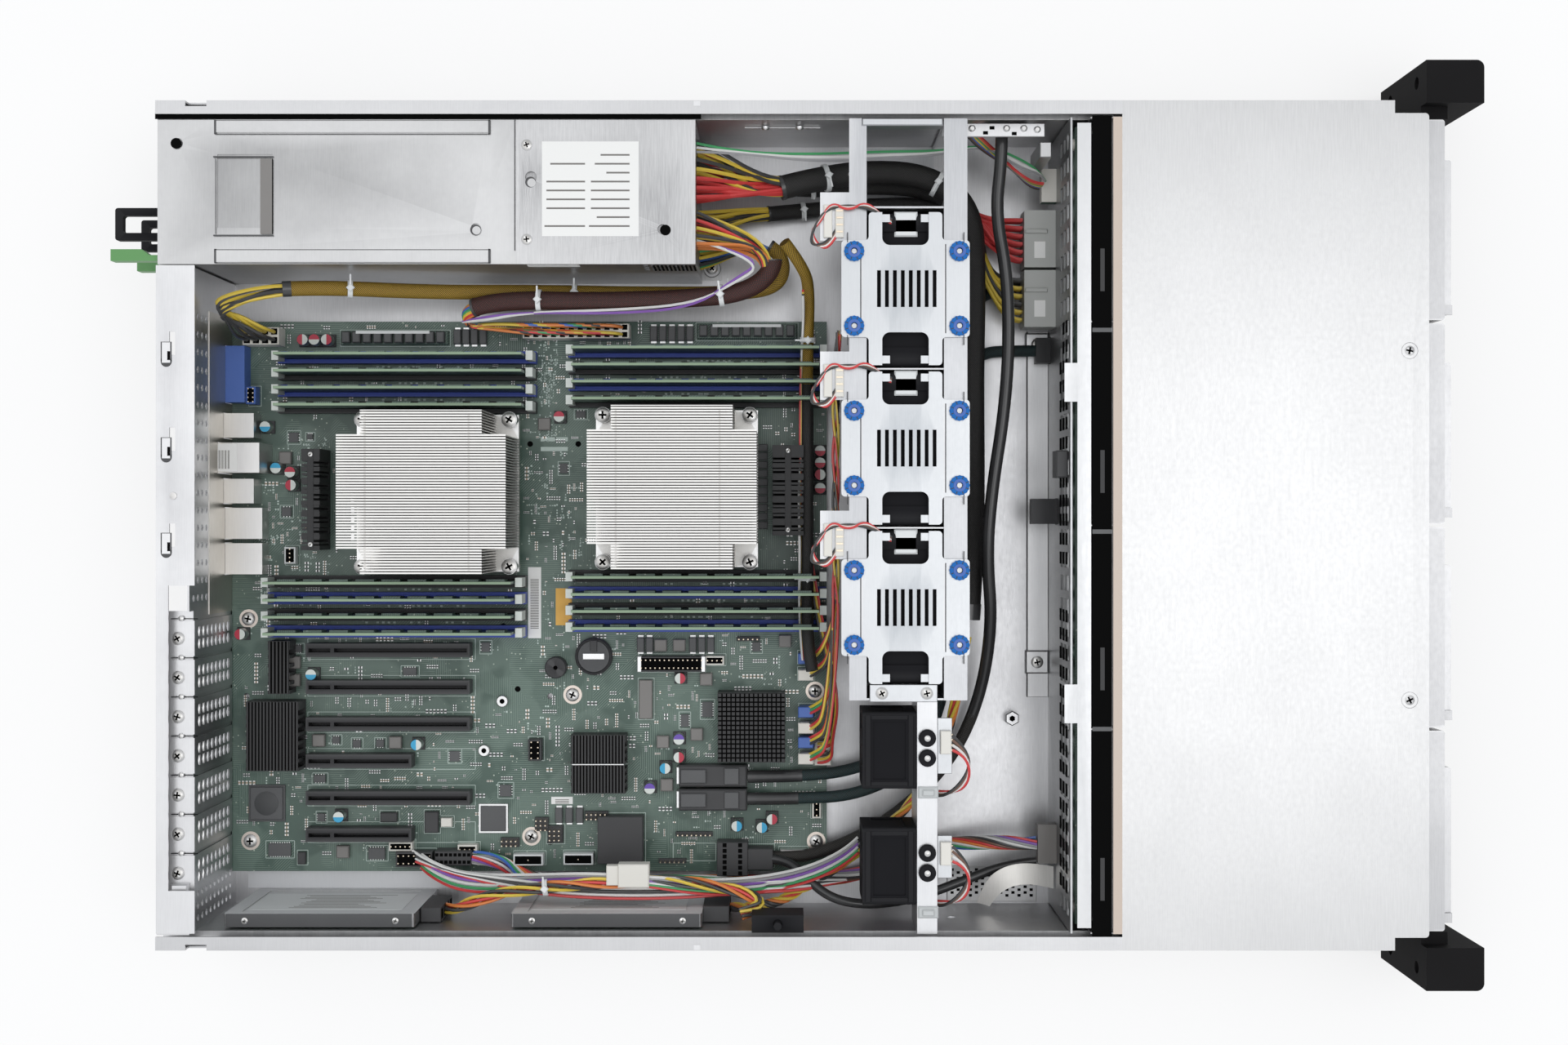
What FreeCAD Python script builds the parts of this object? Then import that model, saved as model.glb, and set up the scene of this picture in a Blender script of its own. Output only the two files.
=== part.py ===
"""Rack server, two units high, with its rear lid off.

Millimetres. X runs across the server, to the right as seen from its front, Y runs from the front
to the rear and Z runs up. The origin is the middle of the tray's underside.
"""

import FreeCAD
import Part
import math
import os
import re
import Sketcher
from FreeCAD import Placement, Rotation, Vector

# Driving dimensions: alias, value, what it is.
SIZES = [
    ("chassis_width", 438, "over the top flanges"),
    ("chassis_depth", 656, "front edge to rear edge of the tray"),
    ("chassis_height", 88, "underside to lid plane"),
    ("sheet_thick", 1, "steel of the tray, covers and panels"),
    ("rail_recess", 6.5, "how far the side walls step in for the slide rails"),
    ("rail_recess_top", 74, "height of that step"),
    ("top_flange", 7, "width of the flange along each side's top"),
    ("rail_hole_radius", 2.1, "holes for the slide rails"),
    ("rail_hole_height", 40, "of those holes"),
    ("rail_hole_inset", 70, "of those holes from each end"),
    ("flange_notch", 11, "length of the lid notches in the top flanges"),
    ("cover_depth", 158, "front top cover, front to back"),
    ("cover_notch_width", 6.6, "corner notch for the ear, across"),
    ("cover_notch_depth", 17.6, "corner notch for the ear, front to back"),
    ("cover_corner", 2, "rounded corner of the cover's notches"),
    ("gasket_width", 4.6, "foam strip behind the cover"),
    ("cover_screw_spacing", 180, "between the two cover screws"),
    ("cover_screw_inset", 10, "cover screws from the front edge"),
    ("screw_radius", 1.5, "shank of the small machine screws"),
    ("screw_gap", 0.2, "radial clearance of a screw in its hole"),
    ("rear_setback", 17, "rear panel in from the rear edge"),
    ("top_bar_depth", 20, "rear top bar, widest part"),
    ("top_bar_narrow", 6.4, "rear top bar over the expansion slots"),
    ("top_bar_lip", 6, "lip down the bar's rear edge"),
    ("hook_slot_length", 12, "lid hook slots in the top bar"),
    ("hook_slot_width", 3, "lid hook slots in the top bar"),
    ("hook_slot_pitch", 49.5, "between the hook slots"),
    ("io_left", -46, "left edge of the port aperture"),
    ("io_width", 158.75, "port aperture"),
    ("io_height", 44.45, "port aperture"),
    ("io_below_board", 3.8, "aperture's lower edge under the board's top"),
    ("slot_pitch", 20.32, "between expansion slots"),
    ("slot_first", -58.7, "centre of the first slot cover"),
    ("slot_count", 7, "expansion slots in the rear panel"),
    ("shield_thick", 0.4, "port shield"),
    ("shield_lap", 1.5, "port shield behind the panel's edge"),
    ("shield_gap", 0.3, "port shield's lip inside the aperture"),
    ("port_gap", 0.4, "opening round a port or plug"),
    ("slot_opening_width", 14, "opening behind each cover"),
    ("slot_opening_low", 14, "lower edge of the slot openings"),
    ("slot_ledge_height", 78, "underside of the ledge that takes the cover tabs"),
    ("slot_ledge_depth", 12, "ledge, front to back"),
    ("slot_cover_width", 18.4, "slot cover"),
    ("slot_cover_thick", 0.8, "slot cover"),
    ("vent_hex", 1.9, "radius of a hexagonal vent hole"),
    ("vent_pitch", 4.6, "between vent holes"),
    ("board_width", 305, "main board, across the server"),
    ("board_depth", 330, "main board, front to back"),
    ("board_thick", 1.6, "main board"),
    ("board_right", 113, "right edge of the main board"),
    ("board_gap", 0.5, "board's rear edge to the rear panel"),
    ("board_lift", 7.4, "height of the tray's standoffs"),
    ("board_hole_inset", 8, "outer mounting holes from the board's edges"),
    ("board_hole_radius", 1.7, "mounting holes in the board and its standoffs"),
    ("board_hole_left", 16, "left column of mounting holes from the board's edge"),
    ("board_hole_middle_x", -95, "middle column of mounting holes"),
    ("board_hole_middle_y", 134, "middle row of mounting holes"),
    ("standoff_radius", 3, "standoff pressed up from the tray"),
    ("psu_width", 73.5, "supply module"),
    ("psu_height", 40, "supply module"),
    ("psu_depth", 185, "supply module"),
    ("psu_gap", 0.2, "clearance round each supply module"),
    ("psu_sheet", 0.8, "steel of the supply cage"),
    ("psu_wall_gap", 0.9, "supply cage to the side wall"),
    ("psu_latch_width", 10.5, "release latch"),
    ("psu_latch_height", 8, "release latch"),
    ("psu_latch_low", 31, "release latch above the module's underside"),
    ("psu_latch_pin", 1.2, "radius of the latch's pin"),
    ("psu_latch_back", 24.5, "latch's pin in from the module's rear face"),
    ("psu_edge", 11, "card edge that plugs into the distribution box"),
    ("psu_handle_reach", 25, "handle behind the rear edge"),
    ("psu_fan_radius", 17.5, "supply fan opening"),
    ("distribution_depth", 93, "power distribution box, front to back"),
    ("fan_side", 80, "main fans"),
    ("fan_depth", 38, "main fans"),
    ("fan_bore", 38, "radius of the main fans' bore"),
    ("fan_hub", 19, "radius of the main fans' hub"),
    ("fan_tip_gap", 1.2, "blade tip to bore"),
    ("fan_pitch", 82.3, "between main fans"),
    ("fan_first", 122.2, "centre of the first main fan"),
    ("fan_front", -77.5, "front face of the main fans"),
    ("fan_count", 3, "main fans"),
    ("fan_low", 2, "underside of the main fans"),
    ("fan_plug_x", 37.5, "fan's plug from the fan's centre"),
    ("blade_count", 7, "blades of a fan"),
    ("blade_thick", 1.6, "thickness of a fan blade"),
    ("rotor_gap", 0.3, "rotor to the hub that carries it"),
    ("fan_strut", 3, "struts and hub at a fan's rear"),
    ("fan_cage_gap", 1, "fan to cage wall"),
    ("fan_cage_height", 83, "top of the fan cage's flanges"),
    ("fan_cage_end", -90.5, "left end of the fan cage"),
    ("fan_rear_flange", 9, "fan cage, rear flange"),
    ("fan_front_flange", 12.1, "fan cage, front flange"),
    ("fan_wing", 14.1, "fan plate's wings over the flanges"),
    ("fan_plate_length", 79, "fan plate, across the server"),
    ("finger_depth", 17, "finger notch in the plate's ends"),
    ("finger_width", 24, "finger notch in the plate's ends"),
    ("fan_wing_length", 50, "fan plate's wings, across the server"),
    ("grommet_radius", 4.7, "rubber grommet"),
    ("grommet_height", 3, "rubber grommet"),
    ("grommet_spacing", 38.5, "between grommets on a wing"),
    ("stud_radius", 1.3, "stud through a grommet"),
    ("aux_fan_side", 40, "small fans"),
    ("aux_fan_depth", 28, "small fans"),
    ("aux_fan_bore", 18.6, "radius of the small fans' bore"),
    ("aux_fan_hub", 10, "radius of the small fans' hub"),
    ("aux_fan_first", -116.8, "centre of the first small fan"),
    ("aux_fan_pitch", 60.2, "between the small fans"),
    ("aux_fan_front", -64.5, "front face of the small fans"),
    ("aux_fan_top", 81, "top of the small fans"),
    ("aux_bracket_gap", 0.2, "small fans to their bracket"),
    ("aux_bracket_depth", 10.4, "flanges of the small fans' bracket"),
    ("bay_rows", 3, "drive bays, bottom to top"),
    ("bay_columns", 4, "drive bays, left to right"),
    ("bay_width", 105.2, "pitch of the drive bays across"),
    ("bay_height", 28.3, "pitch of the drive bays upwards"),
    ("bay_floor", 1, "underside of the lowest bay"),
    ("cage_sheet", 0.8, "steel of the drive cage"),
    ("cage_ledge", 3, "ledge that a carrier runs on"),
    ("carrier_gap", 0.4, "clearance of a carrier beside the cage"),
    ("carrier_wall", 0.7, "side rails of a carrier"),
    ("carrier_foot", 0.5, "foot of a side rail under the drive"),
    ("carrier_height", 26.6, "carrier with its drive"),
    ("carrier_seat", 0.2, "carrier above its ledges"),
    ("drive_width", 101.6, "3.5 inch drive"),
    ("drive_rear", -157.3, "rear end of the drives, just clear of their sockets"),
    ("drive_depth", 147, "3.5 inch drive"),
    ("bezel_depth", 9, "plastic front of a carrier"),
    ("bezel_corner", 1.5, "rounded edges of bezel and drive"),
    ("lever_thick", 5, "carrier lever"),
    ("lever_low", 5, "underside of the lever above the carrier's"),
    ("lever_gap", 0.3, "lever to its lugs and pin"),
    ("lever_lug", 1.5, "lugs that carry the lever's pin"),
    ("lever_length", 78, "carrier lever"),
    ("lever_height", 15, "carrier lever"),
    ("lever_pin_radius", 1.2, "pin that the lever turns on"),
    ("wall_front", -144.6, "front face of the wall behind the drives"),
    ("backplane_thick", 2.4, "backplane board"),
    ("backplane_gap", 2, "backplane to the wall"),
    ("backplane_connector", 8, "depth of a drive connector"),
    ("beam_depth", 9.5, "beam along the wall's top"),
    ("beam_gap", 2.4, "beam to the wall, where no tab joins them"),
    ("beam_tab", 20.0, "width of a tab between beam and wall"),
    ("beam_tab_reach", 3.2, "end of a tab behind the wall"),
    ("ear_span", 482.6, "over both rack ears"),
    ("ear_reach", 30, "ears in front of the chassis"),
    ("ear_gap", 0.6, "ears to the chassis front"),
    ("ear_corner", 4, "ears' rounded outer edge"),
    ("ear_low", 5, "underside of the ears"),
    ("ear_top", 82, "top of the ears"),
    ("ear_flange", 3, "thickness of the ears' rack flange"),
    ("rack_hole_span", 465.1, "rack holes, side to side"),
    ("rack_hole_spacing", 44.45, "rack holes, up and down"),
    ("rack_hole_radius", 3.3, "rack holes"),
    ("rack_pocket_radius", 6.8, "pocket for a rack screw's head"),
    ("button_radius", 4, "power button"),
    ("button_gap", 0.25, "power button in its bore"),
    ("sink_depth", 88.6, "heat sink, front to back"),
    ("sink_height", 55, "heat sink"),
    ("sink_base", 5, "heat sink's base plate"),
    ("sink_lift", 10, "board to heat sink's underside"),
    ("sink_fins", 59, "fins of a heat sink"),
    ("sink_fin_pitch", 1.47, "between fins"),
    ("sink_fin_thick", 0.5, "thickness of a fin"),
    ("sink_screw_spacing", 80, "heat sink's screws"),
    ("sink_screw_head", 4.3, "radius of a heat sink screw's head"),
    ("sink_corner_width", 13, "clear corner over a heat sink screw, across"),
    ("sink_corner_depth", 12.5, "clear corner over a heat sink screw, front to back"),
    ("memory_pitch", 9.15, "between memory sockets"),
    ("memory_socket_length", 142, "memory socket"),
    ("memory_socket_width", 6.6, "memory socket"),
    ("memory_socket_height", 8, "memory socket"),
    ("memory_latch_height", 22, "memory socket's end latches"),
    ("memory_module_length", 133.35, "memory module"),
    ("memory_module_height", 31.25, "memory module"),
    ("memory_module_thick", 1.4, "memory module"),
    ("memory_seat", 4, "depth that a module sits in its socket"),
    ("card_socket_width", 7.5, "expansion socket"),
    ("card_socket_height", 11, "expansion socket"),
    ("card_socket_long", 90, "long expansion socket"),
    ("card_socket_short", 58, "short expansion socket"),
    ("card_socket_first", -68.8, "first expansion socket"),
    ("card_socket_rear", 267, "rear end of the expansion sockets"),
    ("small_drive_length", 100, "2.5 inch drive"),
    ("small_drive_width", 69.85, "2.5 inch drive"),
    ("small_drive_thick", 7, "2.5 inch drive"),
    ("boot_drive_rear", 197.8, "front end of the rear small drive"),
    ("boot_drive_front", 47.3, "front end of the front small drive"),
    ("switch_low", 60, "underside of the lid switch"),
    ("cable_gap", 0.3, "end of a cable to its plug or opening"),
]
ALIASES = {alias for alias, _, _ in SIZES}

doc = FreeCAD.newDocument("rack_server")
sheet = doc.addObject("Spreadsheet::Sheet", "Sizes")
for row, (alias, value, note) in enumerate(SIZES, 1):
    sheet.set(f"A{row}", note)
    sheet.set(f"B{row}", str(value))
    sheet.setAlias(f"B{row}", alias)
doc.recompute()

# Places that several parts share, as formulas of the sheet's cells.
HALF = "(chassis_width / 2)"
FRONT = "(-chassis_depth / 2)"
REAR = "(chassis_depth / 2)"
TOP = "chassis_height"
WALL = "(chassis_width / 2 - rail_recess)"
INNER = "(chassis_width / 2 - rail_recess - sheet_thick)"
STEP = "(rail_recess_top + sheet_thick)"
COVER_REAR = f"({FRONT} + cover_depth)"
PANEL = f"({REAR} - rear_setback)"
LEDGE_TOP = "(slot_ledge_height + sheet_thick)"
BOARD_LOW = "(sheet_thick + board_lift)"
BOARD_TOP = "(sheet_thick + board_lift + board_thick)"
BOARD_LEFT = "(board_right - board_width)"
BOARD_REAR = f"({PANEL} - board_gap)"
BOARD_FRONT = f"({PANEL} - board_gap - board_depth)"
PSU_BAY = "(psu_height + 2 * psu_gap)"
PSU_CAGE_WIDTH = "(psu_width + 2 * psu_gap + 2 * psu_sheet)"
PSU_RIGHT = f"({INNER} - psu_wall_gap)"
PSU_LEFT = f"({PSU_RIGHT} - {PSU_CAGE_WIDTH})"
PSU_TOP = f"(sheet_thick + 3 * psu_sheet + 2 * {PSU_BAY})"
PSU_FRONT = f"({REAR} - psu_depth)"
WALL_REAR = "(wall_front + sheet_thick)"
FAN_REAR = "(fan_front + fan_depth)"
FAN_TOP = "(fan_cage_height + sheet_thick)"
CAGE_TOP = "(bay_floor + bay_rows * bay_height)"
CARRIER_WIDTH = "(bay_width - cage_sheet - 2 * carrier_gap)"
SINK_LOW = f"({BOARD_TOP} + sink_lift)"
SINK_WIDTH = "(sink_fin_pitch * (sink_fins - 1) + sink_fin_thick)"
IO_TOP = f"({BOARD_TOP} - io_below_board + io_height)"
CAGE_FRONT = f"({FRONT} + 2)"
CAGE_REAR = "(wall_front - beam_depth)"
BEZEL_FRONT = f"({FRONT} - bezel_depth)"
LEVER_HINGE = "(-lever_length / 2 - 7)"
LEVER_Y = f"({BEZEL_FRONT} - 0.5 - lever_thick / 2)"
BUTTON_X = f"({HALF} + 11)"
BUTTON_Z = "(chassis_height / 2)"
PSU_MODULE_X = f"({PSU_LEFT} + psu_sheet + psu_gap)"
PSU_TONGUE_X = f"({PSU_MODULE_X} + psu_width / 2)"
PSU_TONGUE_Z = "(sheet_thick + psu_sheet + psu_gap + psu_height / 2)"
GROMMET_REAR = f"({FAN_REAR} + 7.5)"
GROMMET_FRONT = "(fan_front - 8.8)"

# Rear ports: place across, width, height, depth and how many mouths are stacked.
PORTS = [
    ("83", "31", "12.5", "12", 1),
    ("54.6", "13.4", "16", "18", 2),
    ("36.6", "16.2", "27", "24", 2),
    ("18.7", "13.4", "16", "18", 2),
    ("1", "17", "13.6", "22", 1),
    ("-18.4", "17", "13.6", "22", 1),
]
# Plugs behind the backplane: place across, height of the middle, width, height and reach.
BACKPLANE_PLUGS = [
    ("184.5", "30", "18", "8", "8"),
    ("156", "22", "31", "18", "17"),
    ("123.5", "22", "31", "18", "17"),
    ("134", "7", "14", "8", "8"),
    ("97", "7", "14", "8", "8"),
    ("7.5", "34", "13.6", "9", "14"),
    ("-173", "30", "21", "9", "10"),
]
# Middles of the processors' heat sinks.
SINKS = [("17.5", "193.7"), ("20", "62.8")]
# Right-hand socket of each memory bank and the bank's middle along the server.
MEMORY_BANKS = [("92.5", "212"), ("95.8", "51.9"), ("-31.1", "217.7"), ("-28", "52")]
# Small coolers: place, width, depth, height and fins.
BOARD_SINKS = [
    ("14", "261", "55", "10", "25", 9),
    ("19", "2", "49", "17", "25", 8),
    ("-78", "281", "29", "12", "14", 6),
    ("-115.5", "284", "38", "29", "16", 8),
    ("-131", "106", "32", "30", "14", 8),
    ("-110.5", "22", "38", "37", "18", 8),
]

AXES = {"XY": "XY_Plane", "XZ": "XZ_Plane", "YZ": "YZ_Plane"}
parts = []


def size(alias):
    """The number in one cell."""
    return float(sheet.get(alias))


def formula(text):
    """Text with the sheet's name in front of each alias."""
    return re.sub(r"[a-z_]+", lambda m: f"Sizes.{m[0]}" if m[0] in ALIASES else m[0], str(text))


def bind(thing, prop, text):
    """Ties a property to a formula of the sheet's cells."""
    thing.setExpression(prop, formula(text))


def place(thing, x="0", y="0", z="0"):
    """Puts a body or compound at a place that the sheet gives."""
    for letter, text in zip("xyz", (x, y, z)):
        bind(thing, f"Placement.Base.{letter}", text)
    return thing


def part(thing, label):
    """Makes a sub-part of an object: its label names its file."""
    thing.Label = label
    parts.append(thing)
    return thing


def body(name):
    return doc.addObject("PartDesign::Body", name)


def datum(owner, role):
    """One of a body's own origin planes or axes."""
    return next(f for f in owner.Origin.OriginFeatures if f.Role == role)


def sketch(owner, plane, level):
    """An empty sketch on one of the body's planes, moved along the plane's positive axis."""
    sk = owner.newObject("Sketcher::SketchObject", "Sketch")
    sk.AttachmentSupport = [(datum(owner, AXES[plane]), "")]
    sk.MapMode = "FlatFace"
    bind(sk, "AttachmentOffset.Base.z", f"-({level})" if plane == "XZ" else level)
    return sk


def outline(sk, points):
    """A closed outline. Each corner is a pair of formulas."""
    first, count = sk.GeometryCount, len(points)
    spread = [Vector(10 * math.cos(6.28 * i / count), 10 * math.sin(6.28 * i / count), 0)
              for i in range(count)]
    for i in range(count):
        sk.addGeometry(Part.LineSegment(spread[i], spread[(i + 1) % count]), False)
    for i in range(count):
        following = first + (i + 1) % count
        sk.addConstraint(Sketcher.Constraint("Coincident", first + i, 2, following, 1))
    for i, (across, along) in enumerate(points):
        for kind, start, text in (("DistanceX", spread[i].x, across), ("DistanceY", spread[i].y, along)):
            index = sk.addConstraint(Sketcher.Constraint(kind, -1, 1, first + i, 1, start))
            bind(sk, f"Constraints[{index}]", text)


def rectangle(sk, left, right, low, high):
    outline(sk, [(left, low), (right, low), (right, high), (left, high)])


def circle(sk, across, along, radius):
    index = sk.addGeometry(Part.Circle(Vector(1, 1, 0), Vector(0, 0, 1), 1), False)
    for kind, text in (("DistanceX", across), ("DistanceY", along)):
        number = sk.addConstraint(Sketcher.Constraint(kind, -1, 1, index, 3, 1.0))
        bind(sk, f"Constraints[{number}]", text)
    number = sk.addConstraint(Sketcher.Constraint("Radius", index, 1.0))
    bind(sk, f"Constraints[{number}]", radius)


def hexagon(sk, across, along, radius):
    corners = [(math.sin(math.pi * k / 3), math.cos(math.pi * k / 3)) for k in range(6)]
    outline(sk, [(f"{across} + {dx:.5f} * {radius}", f"{along} + {dy:.5f} * {radius}")
                 for dx, dy in corners])


def pad(owner, plane, low, high, draw):
    """Adds material between two levels. draw(sketch) draws its outline."""
    sk = sketch(owner, plane, low)
    draw(sk)
    feature = owner.newObject("PartDesign::Pad", "Pad")
    feature.Profile = sk
    feature.Reversed = plane == "XZ"
    bind(feature, "Length", f"({high}) - ({low})")
    return feature


def pocket(owner, plane, low, high, draw):
    """Cuts material away between two levels. draw(sketch) draws its outline."""
    sk = sketch(owner, plane, low)
    draw(sk)
    feature = owner.newObject("PartDesign::Pocket", "Pocket")
    feature.Profile = sk
    feature.Reversed = plane != "XZ"
    bind(feature, "Length", f"({high}) - ({low})")
    return feature


def row_of(owner, feature, role, pitch, count, second=None):
    """Repeats a feature along one of the body's axes, and along a second one if it is given."""
    pattern = owner.newObject("PartDesign::LinearPattern", "Row")
    pattern.Originals = [feature]
    pattern.Direction = (datum(owner, role), [""])
    pattern.Reversed = pitch.startswith("-")
    bind(pattern, "Length", f"({pitch.lstrip('-')}) * (({count}) - 1)")
    bind(pattern, "Occurrences", count)
    if second:
        role, pitch, count = second
        pattern.Direction2 = (datum(owner, role), [""])
        bind(pattern, "Length2", f"({pitch}) * (({count}) - 1)")
        bind(pattern, "Occurrences2", count)
    owner.Tip = pattern
    return pattern


def ring_of(owner, feature, count):
    """Repeats a feature round the body's Z axis."""
    pattern = owner.newObject("PartDesign::PolarPattern", "Ring")
    pattern.Originals = [feature]
    pattern.Axis = (datum(owner, "Z_Axis"), [""])
    pattern.Angle = 360
    bind(pattern, "Occurrences", count)
    owner.Tip = pattern
    return pattern


def soften(owner, direction, radius, keep=lambda middle: True):
    """Rounds the body's straight edges that lie along a direction and whose middle is kept."""
    doc.recompute()
    base = owner.Tip
    names = []
    for i, edge in enumerate(base.Shape.Edges, 1):
        if edge.Curve.TypeId != "Part::GeomLine":
            continue
        along = edge.Vertexes[1].Point - edge.Vertexes[0].Point
        if along.cross(direction).Length < 1e-6 * along.Length and keep(edge.CenterOfMass):
            names.append(f"Edge{i}")
    feature = owner.newObject("PartDesign::Fillet", "Fillet")
    feature.Base = (base, names)
    bind(feature, "Radius", radius)
    return feature


def block(x, y, z, name="Block"):
    """A box between three pairs of formulas."""
    box = doc.addObject("Part::Box", name)
    for prop, letter, (low, high) in zip(("Length", "Width", "Height"), "xyz", (x, y, z)):
        bind(box, prop, f"({high}) - ({low})")
        bind(box, f"Placement.Base.{letter}", low)
    return box


def rod(x, y, z, radius, length, axis="Z", name="Rod"):
    """A cylinder that starts at a point and runs along an axis."""
    cylinder = doc.addObject("Part::Cylinder", name)
    bind(cylinder, "Radius", radius)
    bind(cylinder, "Height", length)
    turn = {"X": Rotation(Vector(0, 1, 0), 90), "Y": Rotation(Vector(1, 0, 0), -90), "Z": Rotation()}
    cylinder.Placement = Placement(Vector(), turn[axis])
    return place(cylinder, x, y, z)


def cut(base, tools):
    result = doc.addObject("Part::Cut", "Cut")
    result.Base = base
    result.Tool = tools[0] if len(tools) == 1 else fuse(tools)
    return result


def fuse(shapes):
    result = doc.addObject("Part::MultiFuse", "Fuse")
    result.Shapes = shapes
    return result


def group(things, name="Group"):
    """Several separate solids as one sub-part."""
    result = doc.addObject("Part::Compound", name)
    result.Links = things
    return result


def mirrored(points):
    """The same outline's other half, so that the two make one symmetric outline."""
    return points + [(f"-({across})", along) for across, along in reversed(points)]


def both_sides(sk, inner, outer, low, high):
    """The same rectangle on the right and on the left."""
    rectangle(sk, inner, outer, low, high)
    rectangle(sk, f"-({outer})", f"-({inner})", low, high)


# ---------------------------------------------------------------- chassis

def chassis_tray():
    """One bent sheet: floor, side walls recessed for the rails, lips and top flanges."""
    tray = part(body("Tray"), "chassis_tray")
    lip = f"({HALF} - sheet_thick)"
    right = [(WALL, "0"), (WALL, "rail_recess_top"), (HALF, "rail_recess_top"), (HALF, TOP),
             (f"{HALF} - top_flange", TOP), (f"{HALF} - top_flange", f"{TOP} - sheet_thick"),
             (lip, f"{TOP} - sheet_thick"), (lip, STEP), (INNER, STEP), (INNER, "sheet_thick")]
    pad(tray, "XZ", FRONT, REAR, lambda sk: outline(sk, mirrored(right)))
    pocket(tray, "XY", STEP, TOP, lambda sk: rectangle(sk, f"-{HALF}", HALF, FRONT, COVER_REAR))
    pocket(tray, "XY", "rail_recess_top", STEP, lambda sk: both_sides(
        sk, WALL, HALF, FRONT, f"{FRONT} + cover_notch_depth"))
    pocket(tray, "XY", f"{TOP} - 6 * sheet_thick", TOP, lambda sk: both_sides(
        sk, f"{HALF} - 3 * sheet_thick", HALF,
        f"{REAR} - 2.4 * flange_notch", f"{REAR} - 1.4 * flange_notch"))
    hole = pocket(tray, "YZ", f"-{WALL}", WALL, lambda sk: circle(
        sk, f"{FRONT} + rail_hole_inset", "rail_hole_height", "rail_hole_radius"))
    row_of(tray, hole, "Y_Axis", "(chassis_depth - 2 * rail_hole_inset) / 3", "4")
    pad(tray, "XY", "sheet_thick", BOARD_LOW, lambda sk: board_holes(sk, "standoff_radius"))
    pocket(tray, "XY", "2 * sheet_thick", BOARD_LOW, lambda sk: board_holes(sk, "board_hole_radius"))


def board_holes(sk, radius):
    """Circles at the main board's nine mounting holes."""
    rows = (f"{BOARD_REAR} - board_hole_inset", "board_hole_middle_y", f"{BOARD_FRONT} + board_hole_inset")
    columns = ("board_right - board_hole_inset", "board_hole_middle_x", f"{BOARD_LEFT} + board_hole_left")
    for x in columns:
        for y in rows:
            circle(sk, x, y, radius)


def front_cover():
    """Fixed cover over the drives, with skirts that stand on the tray's steps."""
    cover = part(body("Cover"), "front_cover")
    under = f"{TOP} - sheet_thick"
    pad(cover, "XY", under, TOP, lambda sk: rectangle(sk, f"-{HALF}", HALF, FRONT, COVER_REAR))
    pad(cover, "XY", STEP, under, lambda sk: both_sides(
        sk, f"{HALF} - sheet_thick", HALF, FRONT, COVER_REAR))
    pocket(cover, "XY", STEP, TOP, lambda sk: both_sides(
        sk, f"{HALF} - cover_notch_width", HALF, FRONT, f"{FRONT} + cover_notch_depth"))
    soften(cover, Vector(0, 0, 1), "cover_corner", lambda middle: middle.y < size("chassis_depth") / -2 + 1)
    for side in ("-", ""):
        pocket(cover, "XY", under, TOP, lambda sk: circle(
            sk, f"{side}cover_screw_spacing / 2", f"{FRONT} + cover_screw_inset", "screw_radius + screw_gap"))


def cover_gasket():
    """Foam strip behind the front cover that the lid presses on."""
    part(block((f"-{INNER} + sheet_thick", f"{INNER} - sheet_thick"),
               (COVER_REAR, f"{COVER_REAR} + gasket_width"),
               (f"{CAGE_TOP} + cage_sheet", TOP)), "cover_gasket")


def rear_panel():
    """Rear wall with the port aperture, slot openings, ledge for the slot covers and vents."""
    panel = part(body("RearPanel"), "rear_panel")
    outside = f"({PANEL} + sheet_thick)"
    right = f"({PSU_LEFT} - psu_wall_gap)"
    slots_right = "(slot_first + slot_cover_width / 2 + 5)"
    slots_left = "(slot_first - (slot_count - 1) * slot_pitch - slot_cover_width / 2 - 1)"
    pad(panel, "XZ", PANEL, outside, lambda sk: rectangle(
        sk, f"-{INNER}", right, "sheet_thick", f"{TOP} - 2 * sheet_thick"))
    pocket(panel, "XZ", PANEL, outside, lambda sk: rectangle(
        sk, slots_left, slots_right, LEDGE_TOP, f"{TOP} - 2 * sheet_thick"))
    pocket(panel, "XZ", PANEL, outside, lambda sk: rectangle(
        sk, "io_left", "io_left + io_width", f"{BOARD_TOP} - io_below_board", IO_TOP))
    slot = pocket(panel, "XZ", PANEL, outside, lambda sk: rectangle(
        sk, "slot_first - slot_opening_width / 2", "slot_first + slot_opening_width / 2",
        "slot_opening_low", "slot_ledge_height - 2 * sheet_thick"))
    row_of(panel, slot, "X_Axis", "-slot_pitch", "slot_count")
    vent = pocket(panel, "XZ", PANEL, outside, lambda sk: hexagon(
        sk, "io_left + 8", f"({IO_TOP} + 6)", "vent_hex"))
    row_of(panel, vent, "X_Axis", "vent_pitch * 2", "17", ("Z_Axis", "vent_pitch * 1.6", "4"))
    side = pocket(panel, "XZ", PANEL, outside, lambda sk: hexagon(sk, f"(-{INNER} + 6)", "12", "vent_hex"))
    row_of(panel, side, "X_Axis", "vent_pitch * 1.4", "3", ("Z_Axis", "vent_pitch * 1.6", "9"))
    pad(panel, "XY", "slot_ledge_height", LEDGE_TOP, lambda sk: rectangle(
        sk, slots_left, slots_right, outside, f"{outside} + slot_ledge_depth"))
    pad(panel, "YZ", f"{right} - sheet_thick", right, lambda sk: rectangle(
        sk, PANEL, REAR, "sheet_thick", f"{TOP} - 2 * sheet_thick"))
    pad(panel, "YZ", f"-{INNER}", f"-{INNER} + sheet_thick", lambda sk: rectangle(
        sk, outside, REAR, "sheet_thick", f"{TOP} - 2 * sheet_thick"))


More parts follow.
